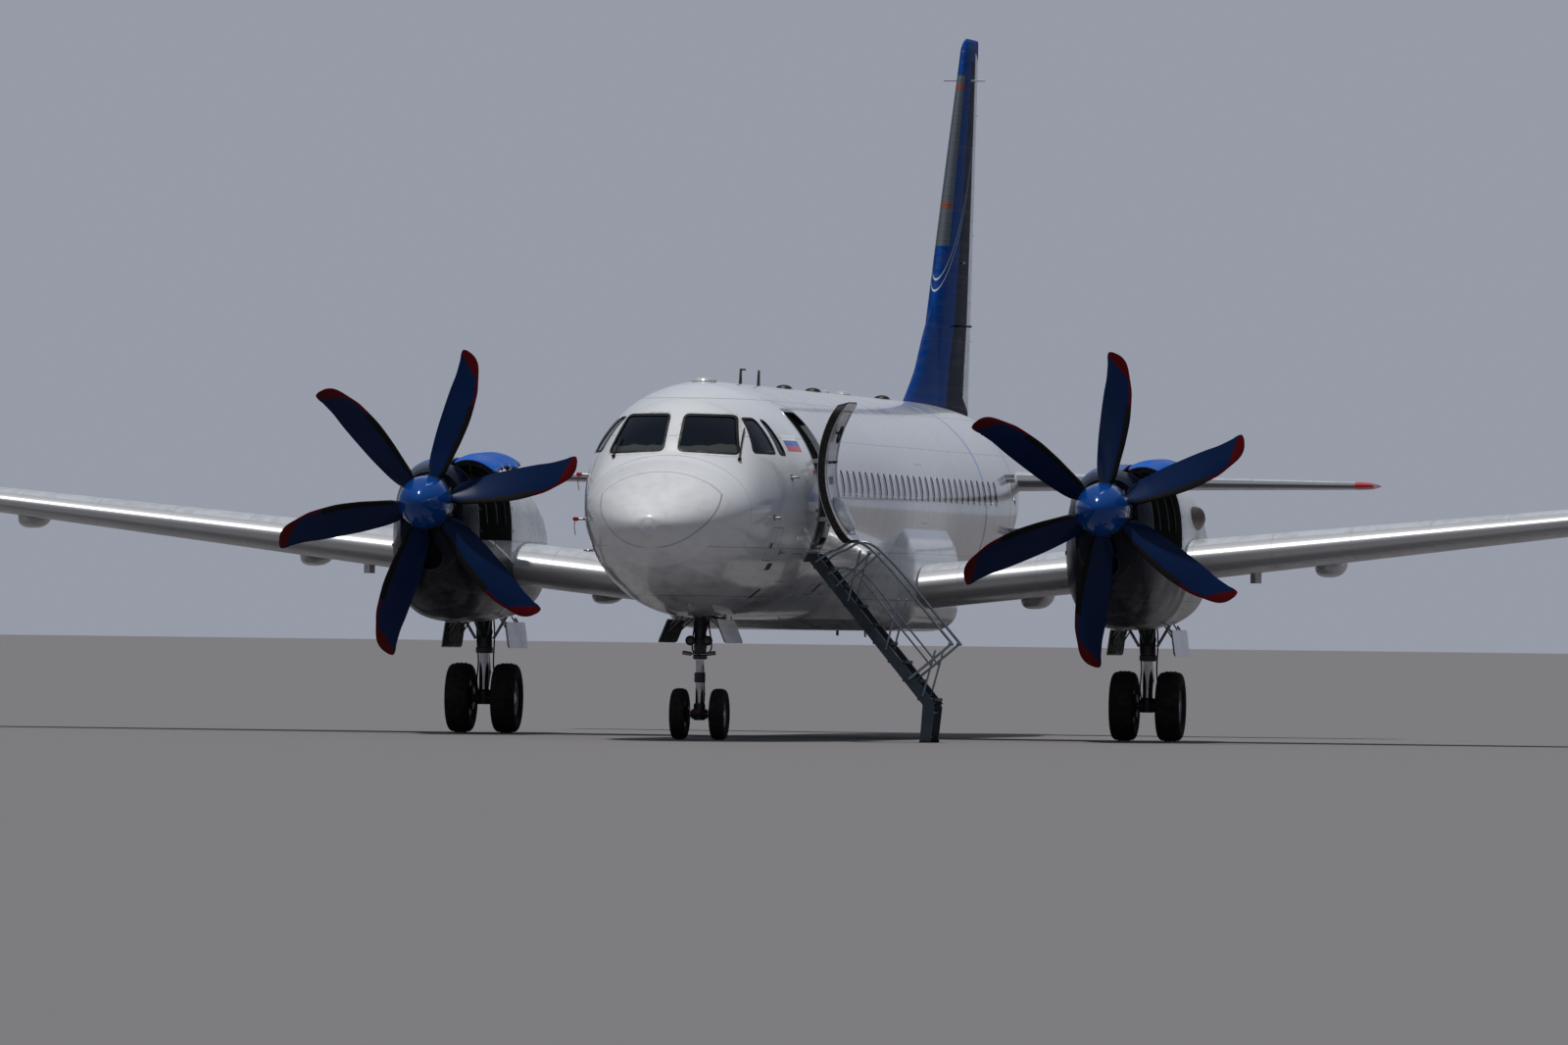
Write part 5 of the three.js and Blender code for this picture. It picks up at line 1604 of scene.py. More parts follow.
class Control:
    """A control surface aft of a hinge line, with a round nose, and the pocket it moves in."""

    def __init__(self, foil, inner, outer, gap):
        self.foil, self.gap = foil, gap
        self.inner, self.outer = np.asarray(inner, float), np.asarray(outer, float)
        run = self.outer - self.inner
        self.along = run / np.linalg.norm(run)
        self.aft = np.array([-self.along[1], self.along[0]])
        if self.aft[1] < 0:
            self.aft = -self.aft

    def surface(self, place):
        rings = []
        for t in np.linspace(0, 1, SURFACE_STEPS):
            hinge = self.inner + (self.outer - self.inner) * t
            reach = 500.0
            for _ in range(8):
                trail = self.foil.trailing(hinge[0] + self.aft[0] * reach)
                reach = (trail - float(hinge[1])) / float(self.aft[1])
            steps = np.linspace(0, 1, 14)
            points = hinge + self.aft * (steps * reach)[:, None]
            half = self.foil.half(points[:, 0], points[:, 1])
            nose = half[0] - 1
            arc = np.linspace(-np.pi / 2, np.pi / 2, 13)[1:-1]
            ring = [place(p[0], p[1], h) for p, h in zip(points[::-1], half[::-1])]
            for a in arc[::-1]:
                front = hinge - self.aft * nose * math.cos(a)
                ring.append(place(front[0], front[1], nose * math.sin(a)))
            ring += [place(p[0], p[1], -h) for p, h in zip(points, half)]
            rings.append(ring)
        return loft(rings)

    def pocket(self, plane, flip=False):
        half_in = float(self.foil.half(*self.inner))
        half_out = float(self.foil.half(*self.outer))
        corners = [
            self.inner - self.along * self.gap - self.aft * (half_in + NOSE_GAP),
            self.outer + self.along * self.gap - self.aft * (half_out + NOSE_GAP),
            self.outer + self.along * self.gap + self.aft * POCKET_AFT,
            self.inner - self.along * self.gap + self.aft * POCKET_AFT,
        ]
        outline = [(c[1], c[0]) if flip else tuple(c) for c in corners]
        return prism(plane, outline, -POCKET_HALF, POCKET_HALF)


WING = Foil(
    [
        [1200, 11200, 3420, 0.16],
        [4250, 11200, 3420, 0.155],
        [14850, 11950, 1530, 0.12],
        [15000, 12010, 1430, 0.09],
        [15085, 12150, 1220, 0.03],
    ],
    14850,
)
WING_RISE = math.atan(0.11)
WING_ROOT_Z = 1726
WING_JOINT_X = 1550
RAISE = Matrix.Translation((0, 0, WING_ROOT_Z)) @ Matrix.Rotation(-WING_RISE, 4, "Y")
# The wing a little thicker, to cut what stands against it
WING_CLEAR = WING.body(level, grow=1.0).moved(RAISE)
AILERON = {"from": 10330, "to": 14300, "share": 0.74, "gap": 15}
FLAPS = (("flap_inboard", 1640, 3380), ("flap_outboard", 5080, 10230))
FLAP_SHARE, FLAP_GAP = 0.7, 14


def wing_plan(x, y, z):
    """Span and share of the chord, and 1 on the upper side, for raised wing points."""
    lower = np.array(RAISE.inverted())
    flat = lower[:3, :3] @ np.stack([np.abs(x), y, z]) + lower[:3, 3:4]
    return flat[0] * MM, WING.share(flat[0], flat[1]), (flat[2] > 0).astype(float)


def flap_body(start, end):
    rings = []
    for span in np.linspace(start + FLAP_GAP, end - FLAP_GAP, 30):
        front = WING.hinge(span, FLAP_SHARE)[1] + FLAP_GAP
        y = np.linspace(front, WING.trailing(span), 18)
        half = WING.half(span, y)
        rim = 16
        over = [(span, b, h) for b, h in zip(y[::-1], half[::-1])]
        over[-1] = (span, front + rim, half[0])
        nose = [(span, front + rim * 0.3, half[0] - rim * 0.3), (span, front, half[0] - rim)]
        below = [(a, b, -h) for a, b, h in nose[::-1]]
        under = [(a, b, -h) for a, b, h in over[::-1]]
        rings.append(over + nose + below + under)
    return loft(rings)


def canoe(span):
    """The port fairing over a flap track, cut to the wing's underside."""
    middle = WING_ROOT_Z + span * math.tan(WING_RISE)
    start, end = WING.hinge(span, 0.52)[1], WING.hinge(span, 1.06)[1]
    angles = around(24)
    round_x, round_z = (np.sign(v) * np.abs(v) ** 0.7 for v in (np.cos(angles), np.sin(angles)))
    rings = []
    for t in np.linspace(0, 1, 22):
        y = start + (end - start) * t
        swell = math.sin(math.pi * t**0.8) ** 0.6 + 0.02
        centre = middle - float(WING.half(span, min(y, WING.trailing(span) - 5))) - 45 - 30 * t
        rings.append(
            np.stack([span + 185 * swell * round_x, np.full(24, y), centre + 165 * swell * round_z], -1)
        )
    return lower_bodies(cut(loft(rings), WING_CLEAR), middle)


def wick(foot, reach, drop=0):
    """A static wick that trails aft of a point inside a trailing edge."""
    x, y, z = foot
    return rod((x, y, z), (x, y + reach, z - drop), 4.5, 6, end_radius=2)


def add_wings():
    ends = [WING.hinge(AILERON[key], AILERON["share"]) for key in ("from", "to")]
    aileron = Control(WING, *ends, AILERON["gap"])
    pockets = [aileron.pocket("xy")]
    behind = np.array([0, 3000])
    for _, start, end in FLAPS:
        a, b = WING.hinge(start, FLAP_SHARE), WING.hinge(end, FLAP_SHARE)
        pockets.append(prism("xy", [a, b, b + behind, a + behind], -900, 900))
    raised = cut(WING.body(level), *pockets).moved(RAISE)
    panel = common(raised, block((WING_JOINT_X + GAP, -9000, -2000), (16000, 9000, 6000)))
    pad = turned([(62, 1996), (70, 1985), (70, 2145)], 32, "z").shifted(5600, station(12700))
    tip = RAISE @ Vector((15040, station(12330), 0))
    lamp = turned([(8, -150), (34, -110), (46, -20), (44, 60), (26, 130)], 24).shifted(*tip)

    canoes = [canoe(span) for span in (2720, 6430, 10020)]

    def trailing_wick(span, inside, reach):
        return wick(RAISE @ Vector((span, WING.trailing(span) - inside, 0)), reach, 4)

    for side, sign in SIDES:
        wing = piece(
            "wing_" + side + "_skin", "airframe", "wing_skin",
            "wing", "white", "steel", "dark", "lamp", "red_lamp" if sign > 0 else "green_lamp",
        )
        wing.add(panel.sided(sign), 0)
        wing.add(pad.sided(sign), 2)
        for fairing in canoes:
            wing.add(fairing.sided(sign), 1)
        wing.add(lamp.sided(sign), 5)
        # Landing lamp windows in the leading edge
        for span in (11500, 13000):
            foot = RAISE @ Vector((span, WING.hinge(span, 0.02)[1], 0))
            wing.add(rod((foot.x, foot.y - 4, foot.z), (foot.x, foot.y + 30, foot.z), 30, 20).sided(sign), 4)
        for span in (14450, 14700, 14900):
            wing.add(trailing_wick(span, 20, 210).sided(sign), 3)
        wing.done("wing_" + side, plan=wing_plan, sharp=30)
        for name, start, end in FLAPS:
            flap = piece(f"{name}_{side}_skin", "airframe", "white_paint", "control")
            flap.add(flap_body(start, end).moved(RAISE).sided(sign))
            flap.done(f"{name}_{side}", plan=wing_plan)
        surface = piece(f"aileron_{side}_skin", side + "_aileron", "white_paint", "control", "dark")
        surface.add(aileron.surface(level).moved(RAISE).sided(sign), 0)
        for span in (11200, 12600, 14000):
            surface.add(trailing_wick(span, 15, 190).sided(sign), 1)
        surface.done("aileron_" + side, plan=wing_plan)


# Belly fairing: station, half width, lowest line
BELLY = np.array(
    [
        [10200, 1150, 1480],
        [10700, 1420, 1400],
        [11150, WING_JOINT_X, 1345],
        [14700, WING_JOINT_X, 1345],
        [15300, 1440, 1400],
        [16000, 1150, 1480],
    ],
    float,
)


def add_belly():
    half_line, low_line = curves(BELLY)
    rings = []
    for at in np.linspace(BELLY[0, 0], BELLY[-1, 0], 60):
        half, low = float(half_line(at)), float(low_line(at))
        side = [(0, low - 8), (half * 0.45, low - 5), (half * 0.8, low), (half * 0.94, low + 80)]
        side += [(half, low + 250), (half, 1950), (half, 2210), (half * 0.97, 2420), (half * 0.88, 2680)]
        curve = smooth_path(side, 6)
        curve[:, 0] = np.minimum(curve[:, 0], half)
        other = curve[1:][::-1] * np.array([-1, 1])
        ring = np.concatenate([curve, other])
        rings.append(np.stack([ring[:, 0], np.full(len(ring), station(at)), ring[:, 1]], -1))
    body = largest(cut(loft(rings), hull(9000, 17000, -GAP)))
    fairing = piece("belly_fairing_skin", "airframe", "white_paint", "fuselage", "dark")
    fairing.add(body, 0)
    fairing.add(block((-9, station(14900), 1275), (9, station(15020), 1350), 6), 1)
    fairing.done("belly_fairing")


FIN = Foil(
    [
        [3950, 21900, 4280, 0.06],
        [4830, 22350, 3930, 0.07],
        [5400, 22760, 3595, 0.085],
        [9060, 25430, 1350, 0.10],
        [9150, 25560, 1220, 0.07],
        [9190, 25700, 1040, 0.03],
    ],
    9060,
)
RUDDER = {"low": 4420, "high": 9020, "low_hinge": 25330, "high_hinge": 26200, "gap": 15}
# Fillet ahead of the fin: station, top, half width
DORSAL = np.array(
    [
        [20100, 4200, 40],
        [20900, 4480, 85],
        [21700, 4830, 112],
        [22300, 5250, 125],
        [22900, 5620, 130],
    ],
    float,
)


def fin_plan(x, y, z):
    return z * MM, FIN.share(z, y), (x > 0).astype(float)


def add_fin():
    top_line, half_line = curves(DORSAL)
    foot = 4050
    rings = []
    for at in np.linspace(DORSAL[0, 0], DORSAL[-1, 0], 26):
        top, half = float(top_line(at)), float(half_line(at))
        t = np.linspace(0, 1, 14)
        x = half * np.sqrt(1 - t**4) * (0.8 + 0.2 * (1 - t) ** 2)
        z = foot + (top - foot) * t
        port = np.stack([x, np.full(14, station(at)), z], -1)
        rings.append(np.concatenate([port, port[:-1][::-1] * np.array([-1, 1, 1])]))
    rudder = Control(
        FIN,
        (RUDDER["low"], station(RUDDER["low_hinge"])),
        (RUDDER["high"], station(RUDDER["high_hinge"])),
        RUDDER["gap"],
    )
    tall = combined("UNION", FIN.body(upright), loft(rings))
    body = largest(cut(tall, rudder.pocket("yz", flip=True), hull(REAR_START, LENGTH, -GAP)))
    fin = piece("fin_skin", "airframe", "blue_paint", "fin", "dark", "aerial")
    fin.add(body, 0)
    # Cross aerial near the top, rods on the trailing side, beacon on the cap
    fin.add(rod((-275, station(25560), 8630), (275, station(25560), 8630), 10, 10), 2)
    fin.add(rod((0, station(25330), 8630), (0, station(25560), 8630), 14, 10), 2)
    for z, reach, look in ((5365, 260, 1), (6210, 110, 2)):
        y = FIN.hinge(z, 0.42)[1]
        fin.add(rod((60, y, z), (60 + reach, y + 40, z - 8), 14, 10), look)
    fin.add(rod((0, station(26350), 9160), (0, station(26560), 9150), 5, 6, end_radius=2), 1)
    fin.done("fin", plan=fin_plan, sharp=30)
    tail = piece("rudder_skin", "rudder", "white_paint", "rudder", "dark", "metal")
    tail.add(rudder.surface(upright), 0)
    for z in (5200, 6600, 8200):
        tail.add(wick((0, FIN.trailing(z) - 15, z), 205), 1)
    tail.done("rudder", plan=fin_plan)


TAILPLANE = Foil(
    [
        [300, 23520, 2530, 0.11],
        [5400, 24960, 1130, 0.09],
        [5520, 25050, 1020, 0.08],
        [5560, 25130, 900, 0.05],
    ],
    5400,
)
TAILPLANE_Z = 3330
ELEVATOR = {"from": 1000, "to": 5250, "share": 0.68, "gap": 15}


def tailplane_plan(x, y, z):
    span = np.abs(x)
    return span * MM, TAILPLANE.share(span, y), (z > TAILPLANE_Z).astype(float)


def add_tailplanes():
    ends = [TAILPLANE.hinge(ELEVATOR[key], ELEVATOR["share"]) for key in ("from", "to")]
    elevator = Control(TAILPLANE, *ends, ELEVATOR["gap"])
    plane = cut(TAILPLANE.body(level), elevator.pocket("xy")).shifted(z=TAILPLANE_Z)
    panel = largest(cut(plane, hull(REAR_START, LENGTH, -GAP)))
    for side, sign in SIDES:
        plane_piece = piece(f"tailplane_{side}_skin", "airframe", "wing_skin", "tailplane", "dark")
        plane_piece.add(panel.sided(sign), 0)
        plane_piece.done("tailplane_" + side, plan=tailplane_plan, sharp=30)
        surface = piece(f"elevator_{side}_skin", side + "_elevator", "white_paint", "control", "dark")
        surface.add(elevator.surface(level).shifted(z=TAILPLANE_Z).sided(sign), 0)
        for span in (2600, 3900, 5000):
            foot = (span, TAILPLANE.trailing(span) - 15, TAILPLANE_Z)
            surface.add(wick(foot, 195).sided(sign), 1)
        surface.done("elevator_" + side, plan=tailplane_plan)


# Nacelles: station, half width, top, bottom
NACELLE = np.array(
    [
        [9180, 390, 3230, 1980],
        [9350, 470, 3290, 1700],
        [9700, 570, 3360, 1500],
        [10300, 640, 3420, 1410],
        [11200, 690, 3430, 1385],
        [12600, 700, 3330, 1400],
        [13900, 640, 3060, 1480],
        [15000, 430, 2760, 1780],
        [15800, 150, 2520, 2200],
    ],
    float,
)
NACELLE_LINES = curves(NACELLE)
NACELLE_SIDES = 96
ROUNDNESS = 2.7
COWL = {
    "from": 9560, "to": 11050, "low": 2400, "door_low": 2940, "wall": 30,
    "hinge_x": 130, "hinge_z": 3440, "open": 36,
}
GEAR_BAY = {"half": 330, "from": 12350, "to": 13950, "top": 1780}
INTAKE = {"to": 9480, "z": 2180, "radius": 150}
EXHAUST = {
    "path": ((480, 11700, 2760), (560, 12000, 2770), (640, 12330, 2780), (672, 12480, 2780)),
    "radius": 118, "bore": 104,
}


def nacelle_section(at):
    half, top, bottom = (line(at) for line in NACELLE_LINES)
    return half, (top + bottom) / 2, (top - bottom) / 2


def nacelle_points(at, angle, inset):
    """Points of the port nacelle at stations and angles, 0 at the top and growing to port."""
    half, middle, rise = nacelle_section(at)
    power = 2 / ROUNDNESS
    sine, cosine = np.sin(angle), np.cos(angle)
    x = NACELLE_X + (half - inset) * np.sign(sine) * np.abs(sine) ** power
    z = middle + (rise - inset) * np.sign(cosine) * np.abs(cosine) ** power
    return np.stack([x, station(at) + 0 * angle, z], -1)


def nacelle_form(inset=0.0, lip=False):
    angle = around(NACELLE_SIDES)[None, :]
    ats = np.concatenate([np.linspace(9180, 9800, 16), np.linspace(9900, 15800, 42)])
    rings = list(nacelle_points(ats[:, None], angle, inset))
    if lip:
        # The front rim is rounded over
        for back, drawn_in in ((0, 9), (-7, 26), (-9, 44)):
            ring = nacelle_points(np.array([[9180.0]]), angle, drawn_in)[0]
            rings.insert(0, ring + np.array([0, back, 0]))
    return loft(rings)


def nacelle_share(points, shift):
    """How far out a point lies in a nacelle: 1 on the skin, less inside."""
    x, y, z = np.asarray(points).T
    half, middle, rise = nacelle_section(y + LENGTH / 2)
    a = np.abs(x - shift - NACELLE_X) / half
    b = np.abs(z - middle) / rise
    return (a**ROUNDNESS + b**ROUNDNESS) ** (1 / ROUNDNESS)


def nacelle_normals(shift):
    """The same for a nacelle, except on its rounded front rim."""

    def share(points):
        return nacelle_share(points, shift)

    def on_nacelle(points):
        normals, known = share_normals(share, points)
        half = nacelle_section(points[:, 1] + LENGTH / 2)[0]
        near = (np.abs(share(points) - 1) * half < 6) & (points[:, 1] > station(9185))
        return normals, known & near

    return on_nacelle


def nacelle_tools():
    x = NACELLE_X
    bay = common(
        nacelle_form(COWL["wall"]),
        block((x - 900, station(COWL["from"]), COWL["low"]), (x + 900, station(COWL["to"]), 3800)),
    )
    door = block(
        (x + COWL["hinge_x"], station(COWL["from"]), COWL["low"]), (x + 1200, station(COWL["to"]), 3800)
    )
    mouth = turned(
        [(INTAKE["radius"] + 22, 9168), (INTAKE["radius"], 9205), (INTAKE["radius"] - 14, INTAKE["to"])], 48
    )
    mouth = mouth.shifted(x, -LENGTH / 2, INTAKE["z"])
    gear = block(
        (x - GEAR_BAY["half"], station(GEAR_BAY["from"]), 1200),
        (x + GEAR_BAY["half"], station(GEAR_BAY["to"]), GEAR_BAY["top"]),
    )
    return [bay, door, mouth, gear]


def add_nacelles():
    tools = nacelle_tools()
    for side, sign in SIDES:
        shift = 0 if sign > 0 else -2 * NACELLE_X
        body = nacelle_form(lip=True).shifted(shift)
        body = largest(cut(body, WING_CLEAR.sided(sign), *[tool.shifted(shift) for tool in tools]))

        def inside(x, y, z):
            half = nacelle_section(y + LENGTH / 2)[0]
            return (1 - nacelle_share(np.stack([x, y, z], -1), shift)) * half > 8

        body = body.painted_where(lambda x, y, z: inside(x, y, z) & (y > station(9300)), 1)
        body = body.painted_where(lambda x, y, z: inside(x, y, z) & (z < 2400) & (y < station(9500)), 2)
        shell = piece(
            f"nacelle_{side}_shell", "airframe", "white_paint",
            "nacelle_" + side, "primer", "dark", "navy", "hot_metal", "gear",
        )
        shell.add(body)
        centre = NACELLE_X + shift
        # Intake lip ring in navy: its blue darkened as painted shade, like the front ring
        shell.add(ring((centre, station(9176), INTAKE["z"]), 158, 15, "y", 49, 10), 3)
        # Frames of the bay opening, seen while the cowl is up
        for at in (COWL["from"] + 14, 10060, 10560, COWL["to"] - 14):
            angle = np.linspace(0.35, 1.45, 16)
            rail = nacelle_points(np.full(16, float(at)), angle, 76) + np.array([shift, 0, 0])
            shell.add(tube(rail, 13, 8), 5)
        # Exhaust stub, out of the upper outer side
        path = [(centre + sign * x, station(at), z) for x, at, z in EXHAUST["path"]]
        end = [*path[-2:], np.add(path[-1], (sign * 12, 60, 0))]
        pipe, bore = (
            tube(smooth_path(way, steps), EXHAUST[size], 28, flat=1.25)
            for way, steps, size in ((path, 5, "radius"), (end, 4, "bore"))
        )
        shell.add(cut(pipe, bore), 4)
        # Drain pipes, probe and latches
        for x, at in ((-120, 11900), (80, 12100), (150, 12160)):
            shell.add(rod((centre + x, station(at), 1430), (centre + x, station(at) + 40, 1330), 12, 10), 5)
        for at in np.linspace(9700, 10900, 5):
            foot = nacelle_points(np.array([float(at)]), np.array([-1.62]), -2)[0] + np.array([shift, 0, 0])
            shell.add(block(foot - np.array([8, 34, 18]), foot + np.array([9, 34, 18]), 5), 5)
        shell.done("nacelle_" + side, normals=nacelle_normals(shift))
        add_engine(side, shift)
        add_cowl_door(side, shift)


def add_engine(side, shift):
    x, z = NACELLE_X, HUB_Z
    engine = piece(
        f"engine_{side}_core", "airframe", "engine_metal", "engine", "metal", "dark_metal", "hose", "steel",
        "hot_metal", "red",
    )
    profile = [
        (150, 9625), (215, 9632), (232, 9660), (232, 9700), (262, 9704), (262, 9724), (248, 9728),
        (285, 9880), (298, 9900), (298, 9926), (232, 9934), (214, 10080), (214, 10180), (246, 10184),
        (246, 10204), (222, 10208), (222, 10330), (268, 10350), (286, 10372), (286, 10404), (300, 10408),
        (300, 10430), (276, 10436), (276, 10640), (292, 10644), (292, 10668), (246, 10676), (226, 10860),
        (240, 10864), (240, 10890), (190, 10900), (180, 10985),
    ]
    engine.add(turned(profile, 56).shifted(x, -LENGTH / 2, z), 0)
    for at, radius in ((9714, 255), (9913, 288), (10194, 238), (10419, 292), (10656, 284)):
        for a in around(20):
            centre = np.array([x + radius * math.sin(a), station(at), z + radius * math.cos(a)])
            engine.add(rod(centre - np.array([0, 18, 0]), centre + np.array([0, 18, 0]), 8, 6), 4)
    # Accessory gearbox, oil tank, starter and fuel unit under the core
    engine.add(block((x - 250, station(9760), 2425), (x + 250, station(10180), 2600), 45, segments=3), 0)
    engine.add(block((x - 290, station(10300), 2420), (x + 120, station(10850), 2590), 60, segments=4), 2)
    for x0, at, radius, reach in ((150, 10190, 70, 260), (-110, 10190, 85, 200), (210, 9690, 60, 90)):
        can = turned([(radius * 0.8, 0), (radius, 14), (radius, reach - 14), (radius * 0.7, reach)], 28)
        engine.add(can.shifted(x + x0, station(at), 2505), 1)
    for a in (0.5, 1.15, 1.75):
        for at in (10300, 10520):
            foot = np.array([x + 270 * math.sin(a), station(at), z + 270 * math.cos(a)])
            head = foot + np.array([52 * math.sin(a), 10, 52 * math.cos(a)])
            engine.add(rod(foot, head, 20, 10), 4)
    # Pipes: radius, look, and a route of angle, station and distance from the axis
    pipes = (
        (11, 4, [(0.5, 9930, 300), (0.7, 10100, 270), (0.75, 10300, 320), (0.55, 10650, 312)]),
        (
            17, 3,
            [(1.0, 9760, 290), (1.1, 9960, 322), (1.2, 10200, 262), (1.25, 10480, 322), (1.3, 10700, 300)],
        ),
        (8, 1, [(1.45, 9740, 285), (1.5, 10000, 318), (1.55, 10300, 305), (1.9, 10420, 330)]),
        (14, 5, [(1.7, 9900, 322), (1.8, 10120, 275), (1.75, 10380, 318), (1.6, 10800, 268)]),
        (9, 3, [(2.0, 9800, 300), (2.1, 10050, 330), (2.0, 10350, 320), (2.2, 10600, 330)]),
        (12, 4, [(-0.4, 9930, 300), (-0.6, 10150, 262), (-0.5, 10450, 316)]),
        (16, 1, [(-1.1, 9760, 290), (-1.2, 10050, 322), (-1.1, 10480, 318), (-1.2, 10700, 300)]),
    )
    for radius, look, route in pipes:
        path = [(x + r * math.sin(a), station(at), z + r * math.cos(a)) for a, at, r in route]
        engine.add(tube(smooth_path(path, 8), radius, 10), look)
    # Mount struts
    for side_x in (1, -1):
        for near, up, far, low, radius in ((60, 285, 300, 2780, 22), (240, 180, 316, 2500, 20)):
            foot = (x + side_x * near, station(9900), z + up)
            engine.add(rod(foot, (x + side_x * far, station(10960), low), radius), 1)
    engine.add(block((x + 180, station(10420), 2600), (x + 318, station(10640), 2700), 14), 6)
    engine.shapes = [shape.shifted(shift) for shape in engine.shapes]
    engine.done("engine_" + side)


def add_cowl_door(side, shift):
    door = piece(
        f"cowl_door_{side}_panel", side + "_cowl_door", "blue_paint", "cowl", "dark", "dark_metal", "steel"
    )
    clear, steps = 8, 40
    ats = np.linspace(COWL["from"] + clear, COWL["to"] - clear, steps)
    shares = np.linspace(0, 1, steps)

    def lower_edge(at):
        t = (at - ats[0]) / (ats[-1] - ats[0])
        return COWL["door_low"] + clear + 62 * math.sin(1.5 * math.pi * t) ** 2 * (0.5 + 0.5 * t)

    def row(at, inset):
        half, middle, rise = (float(v) for v in nacelle_section(at))
        start = math.asin(((COWL["hinge_x"] + clear) / half) ** (ROUNDNESS / 2))
        low = (lower_edge(at) - middle) / rise
        end = math.acos(math.copysign(abs(low) ** (ROUNDNESS / 2), low))
        angle = start + (end - start) * shares
        return nacelle_points(np.full(steps, float(at)), angle, inset)

    def layer(outer, inner, rows=ats, columns=slice(None)):
        return slab([row(at, outer)[columns] for at in rows], [row(at, inner)[columns] for at in rows])

    parts = [layer(0, 7).painted(0), layer(7, 20).painted(1)]
    for at in np.linspace(ats[0] + 30, ats[-1] - 30, 7):
        parts.append(layer(20, 58, (at - 11, at + 11)).painted(2))
        parts.append(layer(54, 60, (at - 26, at + 26)).painted(2))
    for i in (1, 12, 25, 37):
        parts.append(layer(20, 50, ats, slice(i, i + 2)).painted(2))
    for at in np.linspace(ats[0] + 90, ats[-1] - 90, 5):
        foot = row(at, 2)[-1]
        parts.append(block(foot - np.array([26, 30, 30]), foot + np.array([4, 30, 34]), 7).painted(3))
        parts.append(rod(foot + np.array([-12, 0, 30]), foot + np.array([-12, 0, -34]), 9, 10).painted(3))
    # Hold-open stay folded on the inner side
    middle_row = row((ats[0] + ats[-1]) / 2, 76)
    parts.append(tube(middle_row[4:30:5], 11, 10).painted(3))
    hinge = Vector((NACELLE_X + COWL["hinge_x"] + 20, 0, COWL["hinge_z"]))
    opened = about(hinge, -math.radians(COWL["open"]), "Y")
    door.add(joined(*parts).moved(opened).shifted(shift))
    door.done("cowl_door_" + side)


# Blades: radius, trailing edge, leading edge, thickness, slant in degrees
BLADE = np.array(
    [
        [230, -95, 95, 130, 38],
        [600, -150, 165, 70, 31],
        [850, -155, 210, 50, 26],
        [1160, -145, 240, 36, 21],
        [1420, -130, 232, 28, 18],
        [1640, -110, 185, 22, 16],
        [1790, -112, 138, 17, 15],
        [1865, -122, 82, 14, 14],
        [1905, -120, 22, 12, 14],
        [1930, -104, -52, 9, 14],
    ],
    float,
)
BLADE_LINES = curves(BLADE)
BLADES = 6
HUB = {"radius": 330, "front": -170, "back": 250}
SPINNER_LENGTH = 590
PROP_ANGLES = {"port": 4.2, "starboard": 15.7}


def blade_shape():
    stretches = ((230, 700, 14), (740, 1800, 34), (1815, 1930, 10))
    radii = np.concatenate([np.linspace(*stretch) for stretch in stretches])
    shares = (1 - np.cos(np.pi * np.arange(17) / 16)) / 2
    rings = []
    for radius in radii:
        trail, lead, thick, pitch = (float(line(radius)) for line in BLADE_LINES)
        # The root is round and turns into a foil further out
        root = max(0.0, min(1.0, (620 - radius) / 300))
        circle = np.sqrt(np.clip(1 - (2 * shares - 1) ** 2, 0, 1))
        foil = 2 * foil_half(1 - shares) * (1 - root) + circle * root
        cuff = 1 - 0.32 * root * max(0.0, min(1.0, (420 - radius) / 120))
        across = (trail + (lead - trail) * shares) * cuff
        slant = across * math.tan(math.radians(pitch))
        half = foil * (thick + 26 * root) / 2
        front, back = (np.stack([across, way * half - slant, np.full(17, radius)], -1) for way in (-1, 1))
        rings.append(np.concatenate([front, back[1:-1][::-1]]))
    return loft(rings)


def add_propellers():
    one = blade_shape()
    collar = ring((0, 0, 318), 112, 13, "z", 33, 8)
    hub_profile = [
        (300, HUB["front"] + 4), (HUB["radius"] - 4, HUB["front"] + 8), (HUB["radius"], -140),
        (HUB["radius"], 190), (322, 214), (322, 236), (306, HUB["back"] - 2), (180, HUB["back"]),
    ]
    hub = turned(hub_profile, 72)
    steps = np.linspace(0, 0.9985, 34)
    foot, tip = HUB["radius"] - 4, HUB["front"] - GAP
    cone = turned([(foot * (1 - t**2) ** 0.62, tip - SPINNER_LENGTH * t) for t in steps[::-1]], 72)
    for side, sign in SIDES:
        centre = Matrix.Translation((sign * NACELLE_X, station(PROP_STATION), HUB_Z))
        turn = math.radians(PROP_ANGLES[side])
        place = centre @ Matrix.Rotation(turn, 4, "Y")
        body = side + "_propeller"
        propeller = piece(f"propeller_{side}_blades", body, "blade_paint", "blade", "navy", "dark")
        for angle in around(BLADES):
            spoke = place @ Matrix.Rotation(angle, 4, "Y")
            propeller.add(one.moved(spoke), 0)
            propeller.add(collar.moved(spoke), 2)
        propeller.add(hub.moved(place), 1)

        def plan(x, y, z):
            across, up = x - sign * NACELLE_X, z - HUB_Z
            radius = np.hypot(across, up)
            heading = np.arctan2(across, up) - turn
            sector = 2 * np.pi / BLADES
            off = heading - np.round(heading / sector) * sector
            height = radius * np.cos(off)
            trail, lead = (line(height) for line in BLADE_LINES[:2])
            share = (radius * np.sin(off) - trail) / np.maximum(lead - trail, 1)
            return height * MM, np.where(radius > HUB["radius"] + 4, share, 0.5), (y < 0) * 1.0

        propeller.done("propeller_" + side, plan=plan, sharp=40)
        spinner = piece(f"spinner_{side}_cone", body, "blue_paint", "spinner")
        spinner.add(cone.moved(place))
        spinner.done("spinner_" + side)


MAIN_WHEEL = {"radius": 440, "width": 305, "rim": 225, "spread": 290}
NOSE_WHEEL = {"radius": 310, "width": 180, "rim": 155, "spread": 240}
SPOKES = 9


